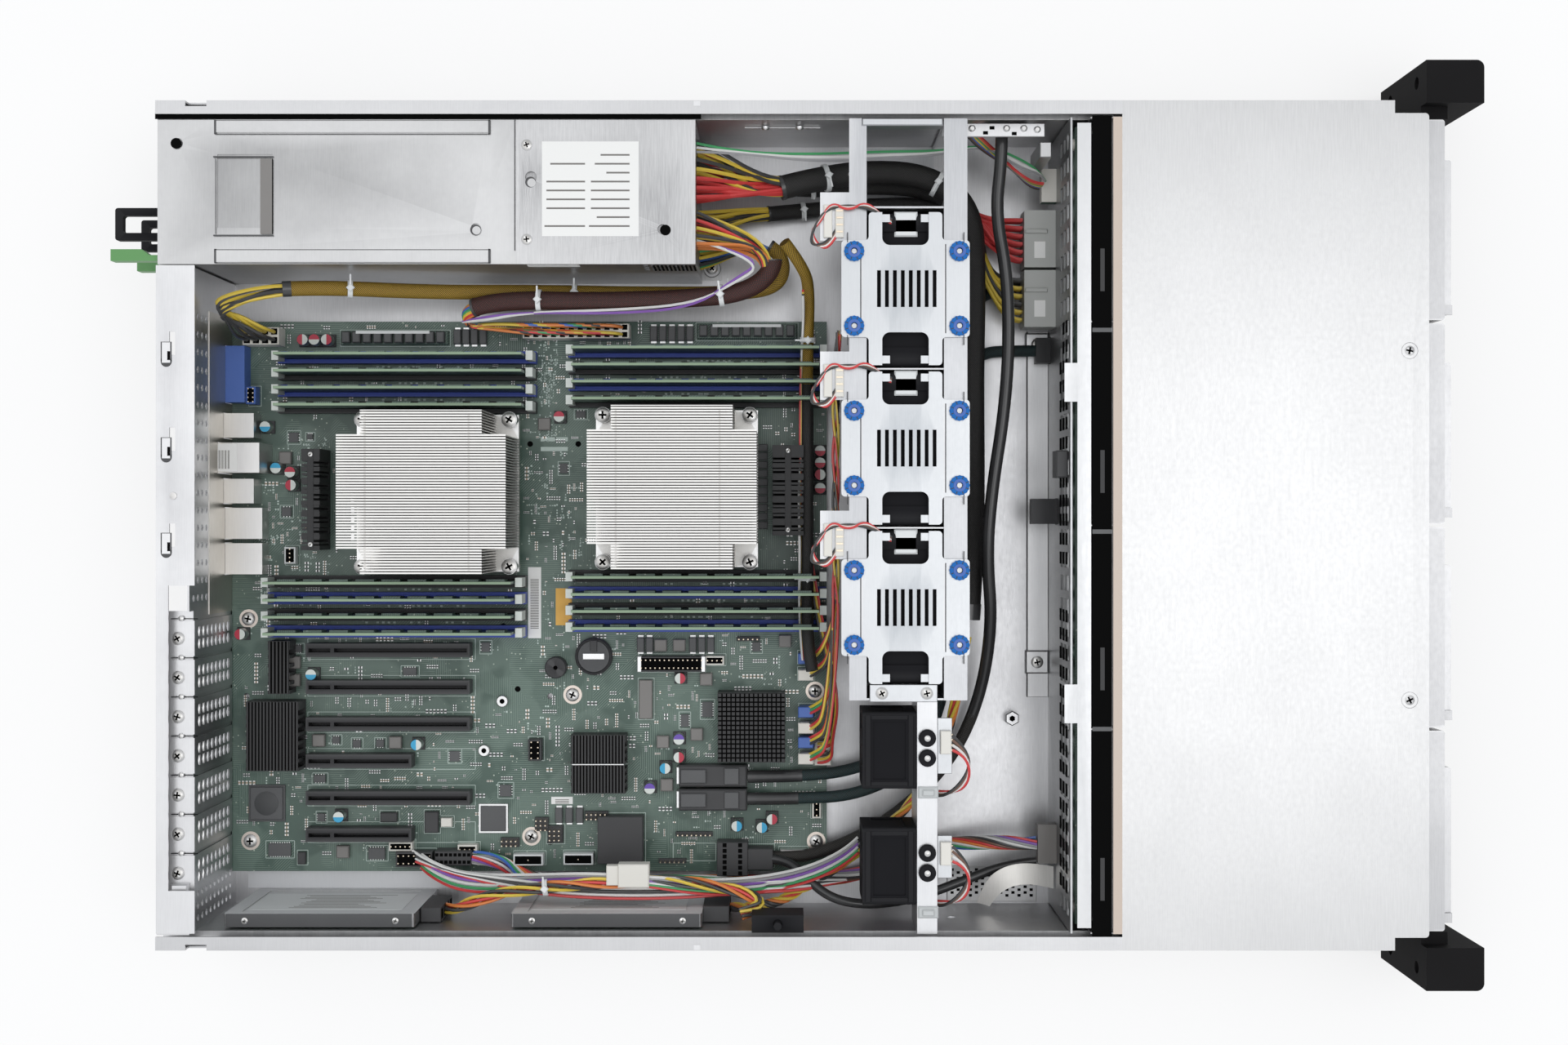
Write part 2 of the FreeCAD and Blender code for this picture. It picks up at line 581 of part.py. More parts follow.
def rear_top_bar():
    """Strip across the top of the rear panel: wide with the lid's hook slots, narrow over the ledge."""
    bar = part(body("TopBar"), "rear_top_bar")
    low = f"({TOP} - 2 * sheet_thick)"
    step = "(io_left + 15)"
    edge = f"({PSU_LEFT} - psu_wall_gap)"
    left = f"(-{INNER} + sheet_thick)"
    corner = f"({left} + 22)"
    pad(bar, "XY", low, f"{low} + sheet_thick", lambda sk: outline(sk, [
        (left, f"{REAR} - top_bar_depth"), (corner, f"{REAR} - top_bar_depth"),
        (corner, f"{REAR} - top_bar_narrow"), (step, f"{REAR} - top_bar_narrow"),
        (step, f"{REAR} - top_bar_depth"), (edge, f"{REAR} - top_bar_depth"),
        (edge, REAR), (left, REAR)]))
    pad(bar, "XY", f"{low} - top_bar_lip", low, lambda sk: rectangle(
        sk, left, f"{edge} - sheet_thick", f"{REAR} - sheet_thick", REAR))
    hook = pocket(bar, "XY", low, f"{low} + sheet_thick", lambda sk: rectangle(
        sk, "io_left + 35", "io_left + 35 + hook_slot_length",
        f"{REAR} - 10", f"{REAR} - 10 + hook_slot_width"))
    row_of(bar, hook, "X_Axis", "hook_slot_pitch", "3")


def io_shield():
    """Sprung plate in the port aperture, with an opening for each port."""
    shield = part(body("Shield"), "io_shield")
    low, lip = f"({BOARD_TOP} - io_below_board)", "shield_thick"
    pad(shield, "XZ", f"{PANEL} - shield_thick", PANEL, lambda sk: rectangle(
        sk, "io_left - shield_lap", "io_left + io_width + shield_lap",
        f"{low} - shield_lap", f"{IO_TOP} + shield_lap"))
    pad(shield, "XZ", PANEL, f"{PANEL} + 2 * sheet_thick", lambda sk: rectangle(
        sk, "io_left + shield_gap", "io_left + io_width - shield_gap",
        f"{low} + shield_gap", f"{IO_TOP} - shield_gap"))
    pocket(shield, "XZ", f"{PANEL} + {lip}", f"{PANEL} + 2 * sheet_thick", lambda sk: rectangle(
        sk, f"io_left + shield_gap + {lip}", f"io_left + io_width - shield_gap - {lip}",
        f"{low} + shield_gap + {lip}", f"{IO_TOP} - shield_gap - {lip}"))
    pocket(shield, "XZ", f"{PANEL} - shield_thick", f"{PANEL} + {lip}", lambda sk: [rectangle(
        sk, f"{x} - {width} / 2 - port_gap", f"{x} + {width} / 2 + port_gap",
        f"{BOARD_TOP} - port_gap / 2", f"{BOARD_TOP} + {height} + port_gap")
        for x, width, height, _, _ in PORTS])


def slot_covers():
    """Seven vented covers, each with a tab bent over the ledge."""
    covers = []
    for number in range(int(size("slot_count"))):
        cover = body("SlotCover")
        half = "slot_cover_width / 2"
        back = f"({PANEL} - slot_cover_thick)"
        pad(cover, "XZ", back, PANEL, lambda sk: rectangle(
            sk, f"-{half}", half, f"{BOARD_TOP} + 1", f"{LEDGE_TOP} + slot_cover_thick"))
        pad(cover, "XY", LEDGE_TOP, f"{LEDGE_TOP} + slot_cover_thick", lambda sk: rectangle(
            sk, f"-{half}", half, PANEL, f"{PANEL} + slot_ledge_depth"))
        vent = pocket(cover, "XZ", back, PANEL, lambda sk: hexagon(
            sk, "(-3.2)", "(slot_opening_low + 5)", "3"))
        row_of(cover, vent, "X_Axis", "6.4", "2", ("Z_Axis", "7.4", "8"))
        pocket(cover, "XY", LEDGE_TOP, f"{LEDGE_TOP} + slot_cover_thick", lambda sk: circle(
            sk, "0", f"{PANEL} + slot_ledge_depth / 2 + 1.8", "screw_radius + screw_gap"))
        covers.append(place(cover, x=f"slot_first - {number} * slot_pitch"))
    part(group(covers), "slot_covers")


# ---------------------------------------------------------------- drives

def drive_cage():
    """Folded dividers with a ledge for each carrier rail, tied by strips across the top."""
    cage = part(body("DriveCage"), "drive_cage")
    left = "(-bay_columns * bay_width / 2)"
    divider = pad(cage, "XY", "sheet_thick", CAGE_TOP, lambda sk: rectangle(
        sk, f"{left} - cage_sheet / 2", f"{left} + cage_sheet / 2", CAGE_FRONT, CAGE_REAR))
    row_of(cage, divider, "X_Axis", "bay_width", "bay_columns + 1")
    ledge = pad(cage, "XY", "bay_floor", "bay_floor + cage_sheet", lambda sk: [
        rectangle(sk, left, f"{left} + cage_ledge", CAGE_FRONT, CAGE_REAR),
        rectangle(sk, f"{left} + bay_width - cage_ledge", f"{left} + bay_width", CAGE_FRONT, CAGE_REAR)])
    row_of(cage, ledge, "X_Axis", "bay_width", "bay_columns", ("Z_Axis", "bay_height", "bay_rows"))
    pad(cage, "XY", CAGE_TOP, f"{CAGE_TOP} + cage_sheet", lambda sk: [
        rectangle(sk, f"{left} - cage_sheet / 2", f"-{left} + cage_sheet / 2", low, high)
        for low, high in ((CAGE_FRONT, f"{CAGE_FRONT} + 14"),
                          (f"{COVER_REAR} - 12", f"{COVER_REAR} + gasket_width"))])
    window = pocket(cage, "YZ", f"{left} - cage_sheet", f"-{left} + cage_sheet", lambda sk: rectangle(
        sk, f"{CAGE_FRONT} + 40", f"{CAGE_REAR} - 40",
        "bay_floor + bay_height * 0.3", "bay_floor + bay_height * 0.75"))
    row_of(cage, window, "Z_Axis", "bay_height", "bay_rows")


def carrier_frame():
    """Two rails that hold a drive and a vented bezel with the lever's lugs and pin."""
    frame = body("Carrier")
    half = f"({CARRIER_WIDTH} / 2)"
    foot, wall = "carrier_foot", "carrier_wall"
    rail = [(half, "0"), (half, "carrier_height"), (f"{half} - {wall}", "carrier_height"),
            (f"{half} - {wall}", foot), (f"{half} - {wall} - 4", foot), (f"{half} - {wall} - 4", "0")]
    pad(frame, "XZ", FRONT, "drive_rear", lambda sk: [
        outline(sk, rail), outline(sk, [(f"-({x})", z) for x, z in rail])])
    pad(frame, "XZ", BEZEL_FRONT, FRONT, lambda sk: rectangle(sk, f"-{half}", half, "0", "carrier_height"))
    soften(frame, Vector(0, 0, 1), "bezel_corner", lambda middle: middle.y < size("chassis_depth") / -2 - 5)
    vent = pocket(frame, "XZ", BEZEL_FRONT, FRONT, lambda sk: rectangle(
        sk, f"{half} - 16", f"{half} - 13.5", "5", "carrier_height - 5"))
    row_of(frame, vent, "X_Axis", "4.4", "3")
    pocket(frame, "XZ", BEZEL_FRONT, f"{BEZEL_FRONT} + bezel_depth / 2", lambda sk: rectangle(
        sk, "0", f"{LEVER_HINGE} + lever_length", "lever_low", "lever_low + lever_height"))
    for low in ("lever_low - lever_lug - lever_gap", "lever_low + lever_height + lever_gap"):
        pad(frame, "XY", low, f"{low} + lever_lug", lambda sk: rectangle(
            sk, f"{LEVER_HINGE} - lever_thick / 2", f"{LEVER_HINGE} + lever_thick / 2",
            f"{LEVER_Y} - lever_thick / 2", BEZEL_FRONT))
    pad(frame, "XY", "lever_low - lever_gap", "lever_low + lever_height + lever_gap",
        lambda sk: circle(sk, LEVER_HINGE, LEVER_Y, "lever_pin_radius"))
    return frame


def hard_drive():
    """3.5 inch drive on the carrier's feet: raised lid, sunken board underneath."""
    drive = body("Drive")
    half, front = "(drive_width / 2)", "(drive_rear - drive_depth)"
    pad(drive, "XY", "carrier_foot", "carrier_height", lambda sk: rectangle(
        sk, f"-{half}", half, front, "drive_rear"))
    soften(drive, Vector(0, 0, 1), "bezel_corner")
    pocket(drive, "XY", "carrier_height - 1", "carrier_height", lambda sk: both_sides(
        sk, f"{half} - 6", half, f"{front} + 12", "drive_rear - 12"))
    pocket(drive, "XY", "carrier_foot", "carrier_foot + 2.5", lambda sk: rectangle(
        sk, f"-{half} + 12", f"{half} - 12", f"{front} + 40", "drive_rear"))
    return drive


def carrier_lever():
    """Lever that draws a carrier out: it turns on the pin at its left end."""
    lever = body("Lever")
    thick = "lever_thick / 2"
    pad(lever, "XY", "lever_low", "lever_low + lever_height", lambda sk: rectangle(
        sk, LEVER_HINGE, f"{LEVER_HINGE} + lever_length", f"{LEVER_Y} - {thick}", f"{LEVER_Y} + {thick}"))
    pad(lever, "XY", "lever_low", "lever_low + lever_height", lambda sk: circle(
        sk, LEVER_HINGE, LEVER_Y, thick))
    pocket(lever, "XY", "lever_low", "lever_low + lever_height", lambda sk: circle(
        sk, LEVER_HINGE, LEVER_Y, "lever_pin_radius + lever_gap"))
    pocket(lever, "XZ", f"{LEVER_Y} - {thick}", f"{LEVER_Y} + {thick} - 1.2", lambda sk: rectangle(
        sk, f"{LEVER_HINGE} + 8", f"{LEVER_HINGE} + lever_length - 16",
        "lever_low + 3", "lever_low + lever_height - 3"))
    soften(lever, Vector(0, 0, 1), "1.2",
           lambda middle: middle.x > size("lever_length") - 55 and middle.y < -300)
    return lever


def drive_carriers():
    """Four columns of three. A top lever is its own sub-part, and the others stay with their carrier."""
    rows, columns = int(size("bay_rows")), int(size("bay_columns"))
    for row in range(rows):
        for column in range(columns):
            x = f"({column} - (bay_columns - 1) / 2) * bay_width"
            z = f"bay_floor + {row} * bay_height + cage_sheet + carrier_seat"
            pieces = [carrier_frame(), hard_drive()]
            lever = carrier_lever()
            if row == rows - 1:
                part(place(lever, x, "0", z), f"drive_lever_{column + 1}")
            else:
                pieces.append(lever)
            part(place(group(pieces), x, "0", z), f"drive_carrier_{column + 1}{row + 1}")


def backplane_wall():
    """Vented wall behind the drives with a beam tabbed to its top."""
    wall = part(body("BackplaneWall"), "backplane_wall")
    low = f"({TOP} - 2 * sheet_thick)"
    side = f"({INNER} - psu_wall_gap)"
    pad(wall, "XZ", "wall_front", WALL_REAR, lambda sk: rectangle(sk, f"-{side}", side, "sheet_thick", low))
    pad(wall, "XY", low, f"{low} + sheet_thick", lambda sk: rectangle(
        sk, f"-{side} + 3", f"{side} - 3", "wall_front - beam_depth", "wall_front - beam_gap"))
    pad(wall, "XY", low, f"{low} + sheet_thick", lambda sk: [
        rectangle(sk, x, f"{x} + beam_tab", "wall_front - beam_gap - 1", f"{WALL_REAR} + beam_tab_reach")
        for x in ("63.8", "-102")])
    pocket(wall, "XZ", "wall_front", WALL_REAR, lambda sk: [
        rectangle(sk, f"{x} - {w} / 2 - port_gap", f"{x} + {w} / 2 + port_gap",
                  f"{z} - {h} / 2 - port_gap", f"{z} + {h} / 2 + port_gap")
        for x, z, w, h, _ in BACKPLANE_PLUGS])
    vent = pocket(wall, "XZ", "wall_front", WALL_REAR, lambda sk: rectangle(
        sk, f"-{side} + 7", f"-{side} + 15", "50", "58"))
    row_of(wall, vent, "X_Axis", "12.1", "34", ("Z_Axis", "12", "3"))
    flange = f"{WALL_REAR} + 12"
    pad(wall, "XY", "sheet_thick", "2 * sheet_thick", lambda sk: [
        rectangle(sk, x, f"{x} + 26", WALL_REAR, flange) for x in ("70", "-85")])


def backplane_board():
    """Board with twelve drive sockets in front and the harness's plugs behind."""
    board = part(body("Backplane"), "backplane_board")
    front = "(wall_front - backplane_gap - backplane_thick)"
    back = "(wall_front - backplane_gap)"
    first = "(-(bay_columns - 1) * bay_width / 2)"
    pad(board, "XZ", front, back, lambda sk: rectangle(
        sk, "-bay_columns * bay_width / 2 + 4", "bay_columns * bay_width / 2 - 4", "4", "82"))
    socket = pad(board, "XZ", f"{front} - backplane_connector", front, lambda sk: rectangle(
        sk, f"{first} - 34", f"{first} + 9", "bay_floor + 4", "bay_floor + 9.5"))
    row_of(board, socket, "X_Axis", "bay_width", "bay_columns", ("Z_Axis", "bay_height", "bay_rows"))
    pad(board, "XZ", back, "wall_front", lambda sk: [
        circle(sk, x, z, "3") for x in ("-198", "-66", "66", "198") for z in ("43", "78")])
    for x, z, width, height, depth in BACKPLANE_PLUGS:
        pad(board, "XZ", back, f"{WALL_REAR} + {depth}", lambda sk: rectangle(
            sk, f"{x} - {width} / 2", f"{x} + {width} / 2", f"{z} - {height} / 2", f"{z} + {height} / 2"))


# ---------------------------------------------------------------- rack ears

def rack_ear(side, label):
    """Ear with a rack flange, two screw pockets and a plate that lies in the rail recess."""
    ear = body("Ear")
    outer = "(ear_span / 2)"
    front, back = f"({FRONT} - ear_gap - ear_reach)", f"({FRONT} - ear_gap)"
    pad(ear, "XY", "ear_low", "ear_top", lambda sk: rectangle(sk, HALF, outer, front, back))
    soften(ear, Vector(0, 0, 1), "ear_corner",
           lambda middle: middle.x > size("ear_span") / 2 - 1 and middle.y < -350)
    pad(ear, "XY", "ear_low", "rail_recess_top - 1", lambda sk: outline(sk, [
        (WALL, back), (WALL, f"{FRONT} + 32"), (f"{WALL} + ear_flange", f"{FRONT} + 32"),
        (f"{WALL} + ear_flange", back), (HALF, back),
        (HALF, f"{back} - ear_flange"), (WALL, f"{back} - ear_flange")]))
    pad(ear, "XY", "rail_recess_top - 16", "rail_recess_top - 1", lambda sk: rectangle(
        sk, WALL, HALF, f"{back} - ear_flange - 11", f"{back} - ear_flange"))
    for z in ("(chassis_height / 2 - rack_hole_spacing / 2)", "(chassis_height / 2 + rack_hole_spacing / 2)"):
        pocket(ear, "XZ", front, back, lambda sk: circle(sk, "rack_hole_span / 2", z, "rack_hole_radius"))
        pocket(ear, "XZ", front, f"{back} - ear_flange", lambda sk: circle(
            sk, "rack_hole_span / 2", z, "rack_pocket_radius"))
    if side > 0:
        pocket(ear, "XZ", front, f"{front} + 9", lambda sk: circle(
            sk, BUTTON_X, BUTTON_Z, "button_radius + button_gap"))
        return part(ear, label)
    flipped = doc.addObject("Part::Mirroring", "Flipped")
    flipped.Source = ear
    flipped.Normal = Vector(1, 0, 0)
    return part(flipped, label)


def power_button():
    """Round button in its bore in the right ear."""
    button = body("Button")
    pad(button, "XY", "0", "7", lambda sk: circle(sk, "0", "0", "button_radius"))
    pocket(button, "XY", "6.4", "7", lambda sk: circle(sk, "0", "0", "button_radius * 0.7"))
    button.Placement = Placement(Vector(), Rotation(Vector(1, 0, 0), 90))
    part(place(button, BUTTON_X, f"{FRONT} - ear_gap - ear_reach + 6", BUTTON_Z), "power_button")


# ---------------------------------------------------------------- power supplies

def psu_cage():
    """Tunnel for two supply modules, one above the other."""
    cage = part(body("SupplyCage"), "psu_cage")
    pad(cage, "XZ", PSU_FRONT, REAR, lambda sk: rectangle(sk, PSU_LEFT, PSU_RIGHT, "sheet_thick", PSU_TOP))
    bay = pocket(cage, "XZ", PSU_FRONT, REAR, lambda sk: rectangle(
        sk, f"{PSU_LEFT} + psu_sheet", f"{PSU_RIGHT} - psu_sheet", "sheet_thick + psu_sheet",
        f"sheet_thick + psu_sheet + {PSU_BAY}"))
    row_of(cage, bay, "Z_Axis", f"{PSU_BAY} + psu_sheet", "2")
    middle = f"(({PSU_LEFT} + {PSU_RIGHT}) / 2)"
    pad(cage, "XY", PSU_TOP, f"{PSU_TOP} + psu_sheet", lambda sk: [
        rectangle(sk, low, high, f"{REAR} - 171", f"{REAR} - 30")
        for low, high in ((f"{PSU_LEFT} + 1", f"{PSU_LEFT} + 7.5"),
                          (f"{PSU_RIGHT} - 7.5", f"{PSU_RIGHT} - 1"))])
    pocket(cage, "XY", f"{PSU_TOP} - psu_sheet / 2", PSU_TOP, lambda sk: rectangle(
        sk, f"{middle} - 19", f"{middle} + 19", f"{REAR} - 59.6", f"{REAR} - 31"))
    for x, y in ((f"{PSU_RIGHT} - 13", f"{REAR} - 10.5"), (f"{PSU_LEFT} + 18.5", f"{REAR} - 164.5")):
        pocket(cage, "XY", f"{PSU_TOP} - psu_sheet", PSU_TOP, lambda sk: circle(sk, x, y, "2.6"))


def distribution_box():
    """Power distribution box that the modules plug into."""
    box = part(body("DistributionBox"), "power_distribution_box")
    front, back = f"({PSU_FRONT} - distribution_depth)", PSU_FRONT
    pad(box, "XY", "sheet_thick", PSU_TOP, lambda sk: rectangle(sk, PSU_LEFT, PSU_RIGHT, front, back))
    slot = pocket(box, "XZ", f"{back} - 13", back, lambda sk: rectangle(
        sk, f"{PSU_TONGUE_X} - 21", f"{PSU_TONGUE_X} + 21", f"{PSU_TONGUE_Z} - 2", f"{PSU_TONGUE_Z} + 3.6"))
    row_of(box, slot, "Z_Axis", f"{PSU_BAY} + psu_sheet", "2")
    pocket(box, "XZ", front, f"{front} + 8", lambda sk: rectangle(
        sk, f"{PSU_LEFT} + 14", f"{PSU_RIGHT} - 16", "16", f"{PSU_TOP} - 14"))
    vent = pocket(box, "YZ", PSU_LEFT, f"{PSU_LEFT} + 1.2", lambda sk: rectangle(
        sk, f"{front} + 5", f"{front} + 7.5", "60", "66"))
    row_of(box, vent, "Y_Axis", "4", "6", ("Z_Axis", "8", "3"))
    pocket(box, "XY", f"{PSU_TOP} - 2", PSU_TOP, lambda sk: [
        circle(sk, f"{PSU_LEFT} + 18", f"{front} + 17", "2.6"),
        circle(sk, f"{PSU_LEFT} + 45", f"{back} - 8", "3")])
    pad(box, "XY", "sheet_thick", "sheet_thick + 1.2", lambda sk: [
        rectangle(sk, x, f"{x} + 14", f"{front} - 11", front)
        for x in (f"{PSU_LEFT} + 2", f"{PSU_RIGHT} - 15")])


def psu_module(level, name):
    """Supply module: fan opening, inlet, handle, card edge and its release latch."""
    module = body("Module")
    width, back = "psu_width", "psu_depth"
    pad(module, "XZ", "0", back, lambda sk: rectangle(sk, "0", width, "0", "psu_height"))
    centre_x, centre_z = "(psu_width - psu_fan_radius - 3)", "(psu_height / 2)"
    fan = pocket(module, "XZ", f"{back} - 14", back, lambda sk: circle(
        sk, centre_x, centre_z, "psu_fan_radius"))
    pad(module, "XZ", f"{back} - 14", f"{back} - 4", lambda sk: circle(
        sk, centre_x, centre_z, "psu_fan_radius * 0.42"))
    pad(module, "XZ", f"{back} - 2", f"{back} - 0.8", lambda sk: [
        rectangle(sk, f"{centre_x} - psu_fan_radius - 1", f"{centre_x} + psu_fan_radius + 1",
                  f"{centre_z} - 0.8", f"{centre_z} + 0.8")])
    pad(module, "XZ", f"{back} - 2", f"{back} - 0.8", lambda sk: [
        rectangle(sk, f"{centre_x} - 0.8", f"{centre_x} + 0.8",
                  f"{centre_z} - psu_fan_radius - 1", f"{centre_z} + psu_fan_radius + 1")])
    inlet = (f"{back} - 16", back)
    pocket(module, "XZ", *inlet, lambda sk: outline(sk, [
        ("5", "9"), ("27", "9"), ("27", "21"), ("23", "25"), ("9", "25"), ("5", "21")]))
    pad(module, "XZ", *(f"{back} - 16", f"{back} - 2"), lambda sk: rectangle(sk, "9", "23", "14", "19"))
    pocket(module, "XZ", f"{back} - 30", back, lambda sk: rectangle(
        sk, "0", "psu_latch_width + 1", "psu_height - 10", "psu_height"))
    pin_x, pin_y = "(psu_latch_pin + 2)", f"({back} - psu_latch_back)"
    pad(module, "XY", "psu_height - 10", "psu_latch_low + psu_latch_height", lambda sk: circle(
        sk, pin_x, pin_y, "psu_latch_pin"))
    pad(module, "XZ", "-psu_edge", "0", lambda sk: rectangle(
        sk, f"{PSU_TONGUE_X} - 20 - {PSU_MODULE_X}", f"{PSU_TONGUE_X} + 20 - {PSU_MODULE_X}",
        "psu_height / 2", "psu_height / 2 + 1.6"))
    handle_left, handle_right = "(psu_latch_width + 2)", "(psu_latch_width + 19)"
    pad(module, "XY", "27.5", "32", lambda sk: [
        outline(sk, [(handle_left, back), (handle_left, f"{back} + psu_handle_reach"),
                     (handle_right, f"{back} + psu_handle_reach"), (handle_right, back),
                     (f"{handle_right} - 4", back), (f"{handle_right} - 4", f"{back} + psu_handle_reach - 4"),
                     (f"{handle_left} + 4", f"{back} + psu_handle_reach - 4"),
                      (f"{handle_left} + 4", back)])])
    soften(module, Vector(0, 0, 1), "1.5", lambda middle: middle.y > size("psu_depth") + 15)
    z = f"sheet_thick + psu_sheet + psu_gap + {level} * ({PSU_BAY} + psu_sheet)"
    part(place(module, PSU_MODULE_X, PSU_FRONT, z), f"psu_module_{name}")

    latch = body("Latch")
    tip, low, high = f"({back} + psu_handle_reach)", "psu_latch_low", "psu_latch_low + psu_latch_height"
    pad(latch, "XY", low, high, lambda sk: outline(sk, [
        ("1", pin_y), ("1", tip), ("7", tip), ("7", f"{tip} - 16"), ("4", f"{tip} - 20"), ("4", pin_y)]))
    pad(latch, "XY", low, high, lambda sk: circle(sk, pin_x, pin_y, "psu_latch_pin + 1.5"))
    pocket(latch, "XY", low, high, lambda sk: circle(sk, pin_x, pin_y, "psu_latch_pin + 0.3"))
    part(place(latch, PSU_MODULE_X, PSU_FRONT, z), f"psu_latch_{name}")


# ---------------------------------------------------------------- fans

def fan_rotor(bore, hub, depth, root_turn=38, tip_turn=62):
    """Hub with twisted blades, each lofted from a steep root to a flatter tip."""
    rotor = body("Rotor")
    pad(rotor, "XY", "2", f"{depth} - fan_strut - rotor_gap", lambda sk: circle(sk, "0", "0", hub))
    blade = rotor.newObject("PartDesign::AdditiveLoft", "Blade")
    profiles = []
    ends = ((f"{hub} * 0.86", root_turn, f"{hub} * 0.68"),
            (f"({bore} - fan_tip_gap) * 0.93", tip_turn, f"{bore} * 0.34"))
    for level, turn, chord in ends:
        sk = sketch(rotor, "YZ", level)
        sine, cosine = math.sin(math.radians(turn)), math.cos(math.radians(turn))
        middle = f"({depth} / 2 - 1)"
        outline(sk, [(f"{along} * {chord} * {sine:.4f} + {across} * blade_thick * {cosine:.4f} / 2",
                      f"{middle} + {along} * {chord} * {cosine:.4f} - {across} * blade_thick * {sine:.4f} / 2")
                     for along, across in ((-1, -1), (1, -1), (1, 1), (-1, 1))])
        profiles.append(sk)
    blade.Profile = profiles[0]
    blade.Sections = [profiles[1]]
    blade.Ruled = True
    ring_of(rotor, blade, "blade_count")
    rotor.Placement = Placement(Vector(), Rotation(Vector(1, 0, 0), -90))
    return rotor


def fan_frame(side, bore, hub, depth):
    """Square frame with a bore, relieved waist and four struts that carry the motor."""
    frame = body("FanFrame")
    half = f"({side} / 2)"
    pad(frame, "XY", "0", depth, lambda sk: rectangle(sk, f"-{half}", half, f"-{half}", half))
    soften(frame, Vector(0, 0, 1), f"{side} / 20")
    pocket(frame, "XY", "0", depth, lambda sk: circle(sk, "0", "0", bore))
    waist, corner = f"({half} - {side} / 60)", f"({half} - {side} / 8)"
    pocket(frame, "XY", f"{depth} * 0.2", f"{depth} * 0.8", lambda sk: both_sides(
        sk, waist, half, f"-{corner}", corner))
    pocket(frame, "XY", f"{depth} * 0.2", f"{depth} * 0.8", lambda sk: [
        rectangle(sk, f"-{corner}", corner, low, high)
        for low, high in ((waist, half), (f"-{half}", f"-{waist}"))])
    pad(frame, "XY", f"{depth} - fan_strut", depth, lambda sk: circle(sk, "0", "0", hub))
    reach, thin = f"({bore} + 0.5)", "(fan_strut / 2)"
    for wide, high in ((reach, thin), (thin, reach)):
        pad(frame, "XY", f"{depth} - fan_strut", depth, lambda sk: rectangle(
            sk, f"-{wide}", wide, f"-{high}", high))
    frame.Placement = Placement(Vector(), Rotation(Vector(1, 0, 0), -90))
    return frame


def fan_cage():
    """Channel across the server that the fan modules drop into."""
    cage = part(body("FanCage"), "fan_cage")
    left, right = "fan_cage_end", f"({INNER} - 1)"
    front_wall = f"(fan_front - fan_cage_gap)"
    rear_wall = f"({FAN_REAR} + fan_cage_gap)"
    low, top = "sheet_thick", f"({FAN_TOP} - sheet_thick)"
    pad(cage, "YZ", left, right, lambda sk: outline(sk, [
        (f"{front_wall} - fan_front_flange", FAN_TOP), (f"{front_wall} - fan_front_flange", top),
        (f"{front_wall} - sheet_thick", top), (f"{front_wall} - sheet_thick", low),
        (f"{rear_wall} + sheet_thick", low),
        (f"{rear_wall} + sheet_thick", top), (f"{rear_wall} + fan_rear_flange", top),
        (f"{rear_wall} + fan_rear_flange", FAN_TOP), (rear_wall, FAN_TOP), (rear_wall, "2 * sheet_thick"),
        (front_wall, "2 * sheet_thick"), (front_wall, FAN_TOP)]))
    hole = pocket(cage, "XZ", f"{front_wall} - sheet_thick", f"{rear_wall} + sheet_thick", lambda sk: circle(
        sk, "fan_first", "fan_low + fan_side / 2", "fan_bore"))
    row_of(cage, hole, "X_Axis", "-fan_pitch", "fan_count")
    pocket(cage, "XZ", f"{front_wall} - sheet_thick", f"{rear_wall} + sheet_thick", lambda sk: rectangle(
        sk, "fan_first + fan_side / 2 + 6", f"{right} - 1", "2 * sheet_thick", top))
    divider = pad(cage, "XY", "2 * sheet_thick", top, lambda sk: rectangle(
        sk, "fan_first - fan_pitch / 2 - 0.4", "fan_first - fan_pitch / 2 + 0.4", front_wall, rear_wall))
    row_of(cage, divider, "X_Axis", "-fan_pitch", "2")
    pad(cage, "XY", "2 * sheet_thick", top, lambda sk: [
        rectangle(sk, left, f"{left} + sheet_thick", front_wall, rear_wall),
        rectangle(sk, "fan_first + fan_side / 2 + 2", "fan_first + fan_side / 2 + 3", front_wall, rear_wall)])
    stud = pad(cage, "XY", FAN_TOP, f"{FAN_TOP} + grommet_height", lambda sk: [
        circle(sk, f"fan_first + {side} * grommet_spacing / 2", y, "stud_radius")
        for side in (-1, 1) for y in (GROMMET_REAR, GROMMET_FRONT)])
    row_of(cage, stud, "X_Axis", "-fan_pitch", "fan_count")
    edge = f"({rear_wall} + fan_rear_flange)"
    for reach, half, depth in (("15", "12.5", "sheet_thick"), ("10", "6", "14")):
        plug = pad(cage, "XY", f"{FAN_TOP} - {depth}", FAN_TOP, lambda sk: rectangle(
            sk, f"fan_first + fan_plug_x - {half}", f"fan_first + fan_plug_x + {half}",
            edge, f"{edge} + {reach}"))
        row_of(cage, plug, "X_Axis", "-fan_pitch", "fan_count")


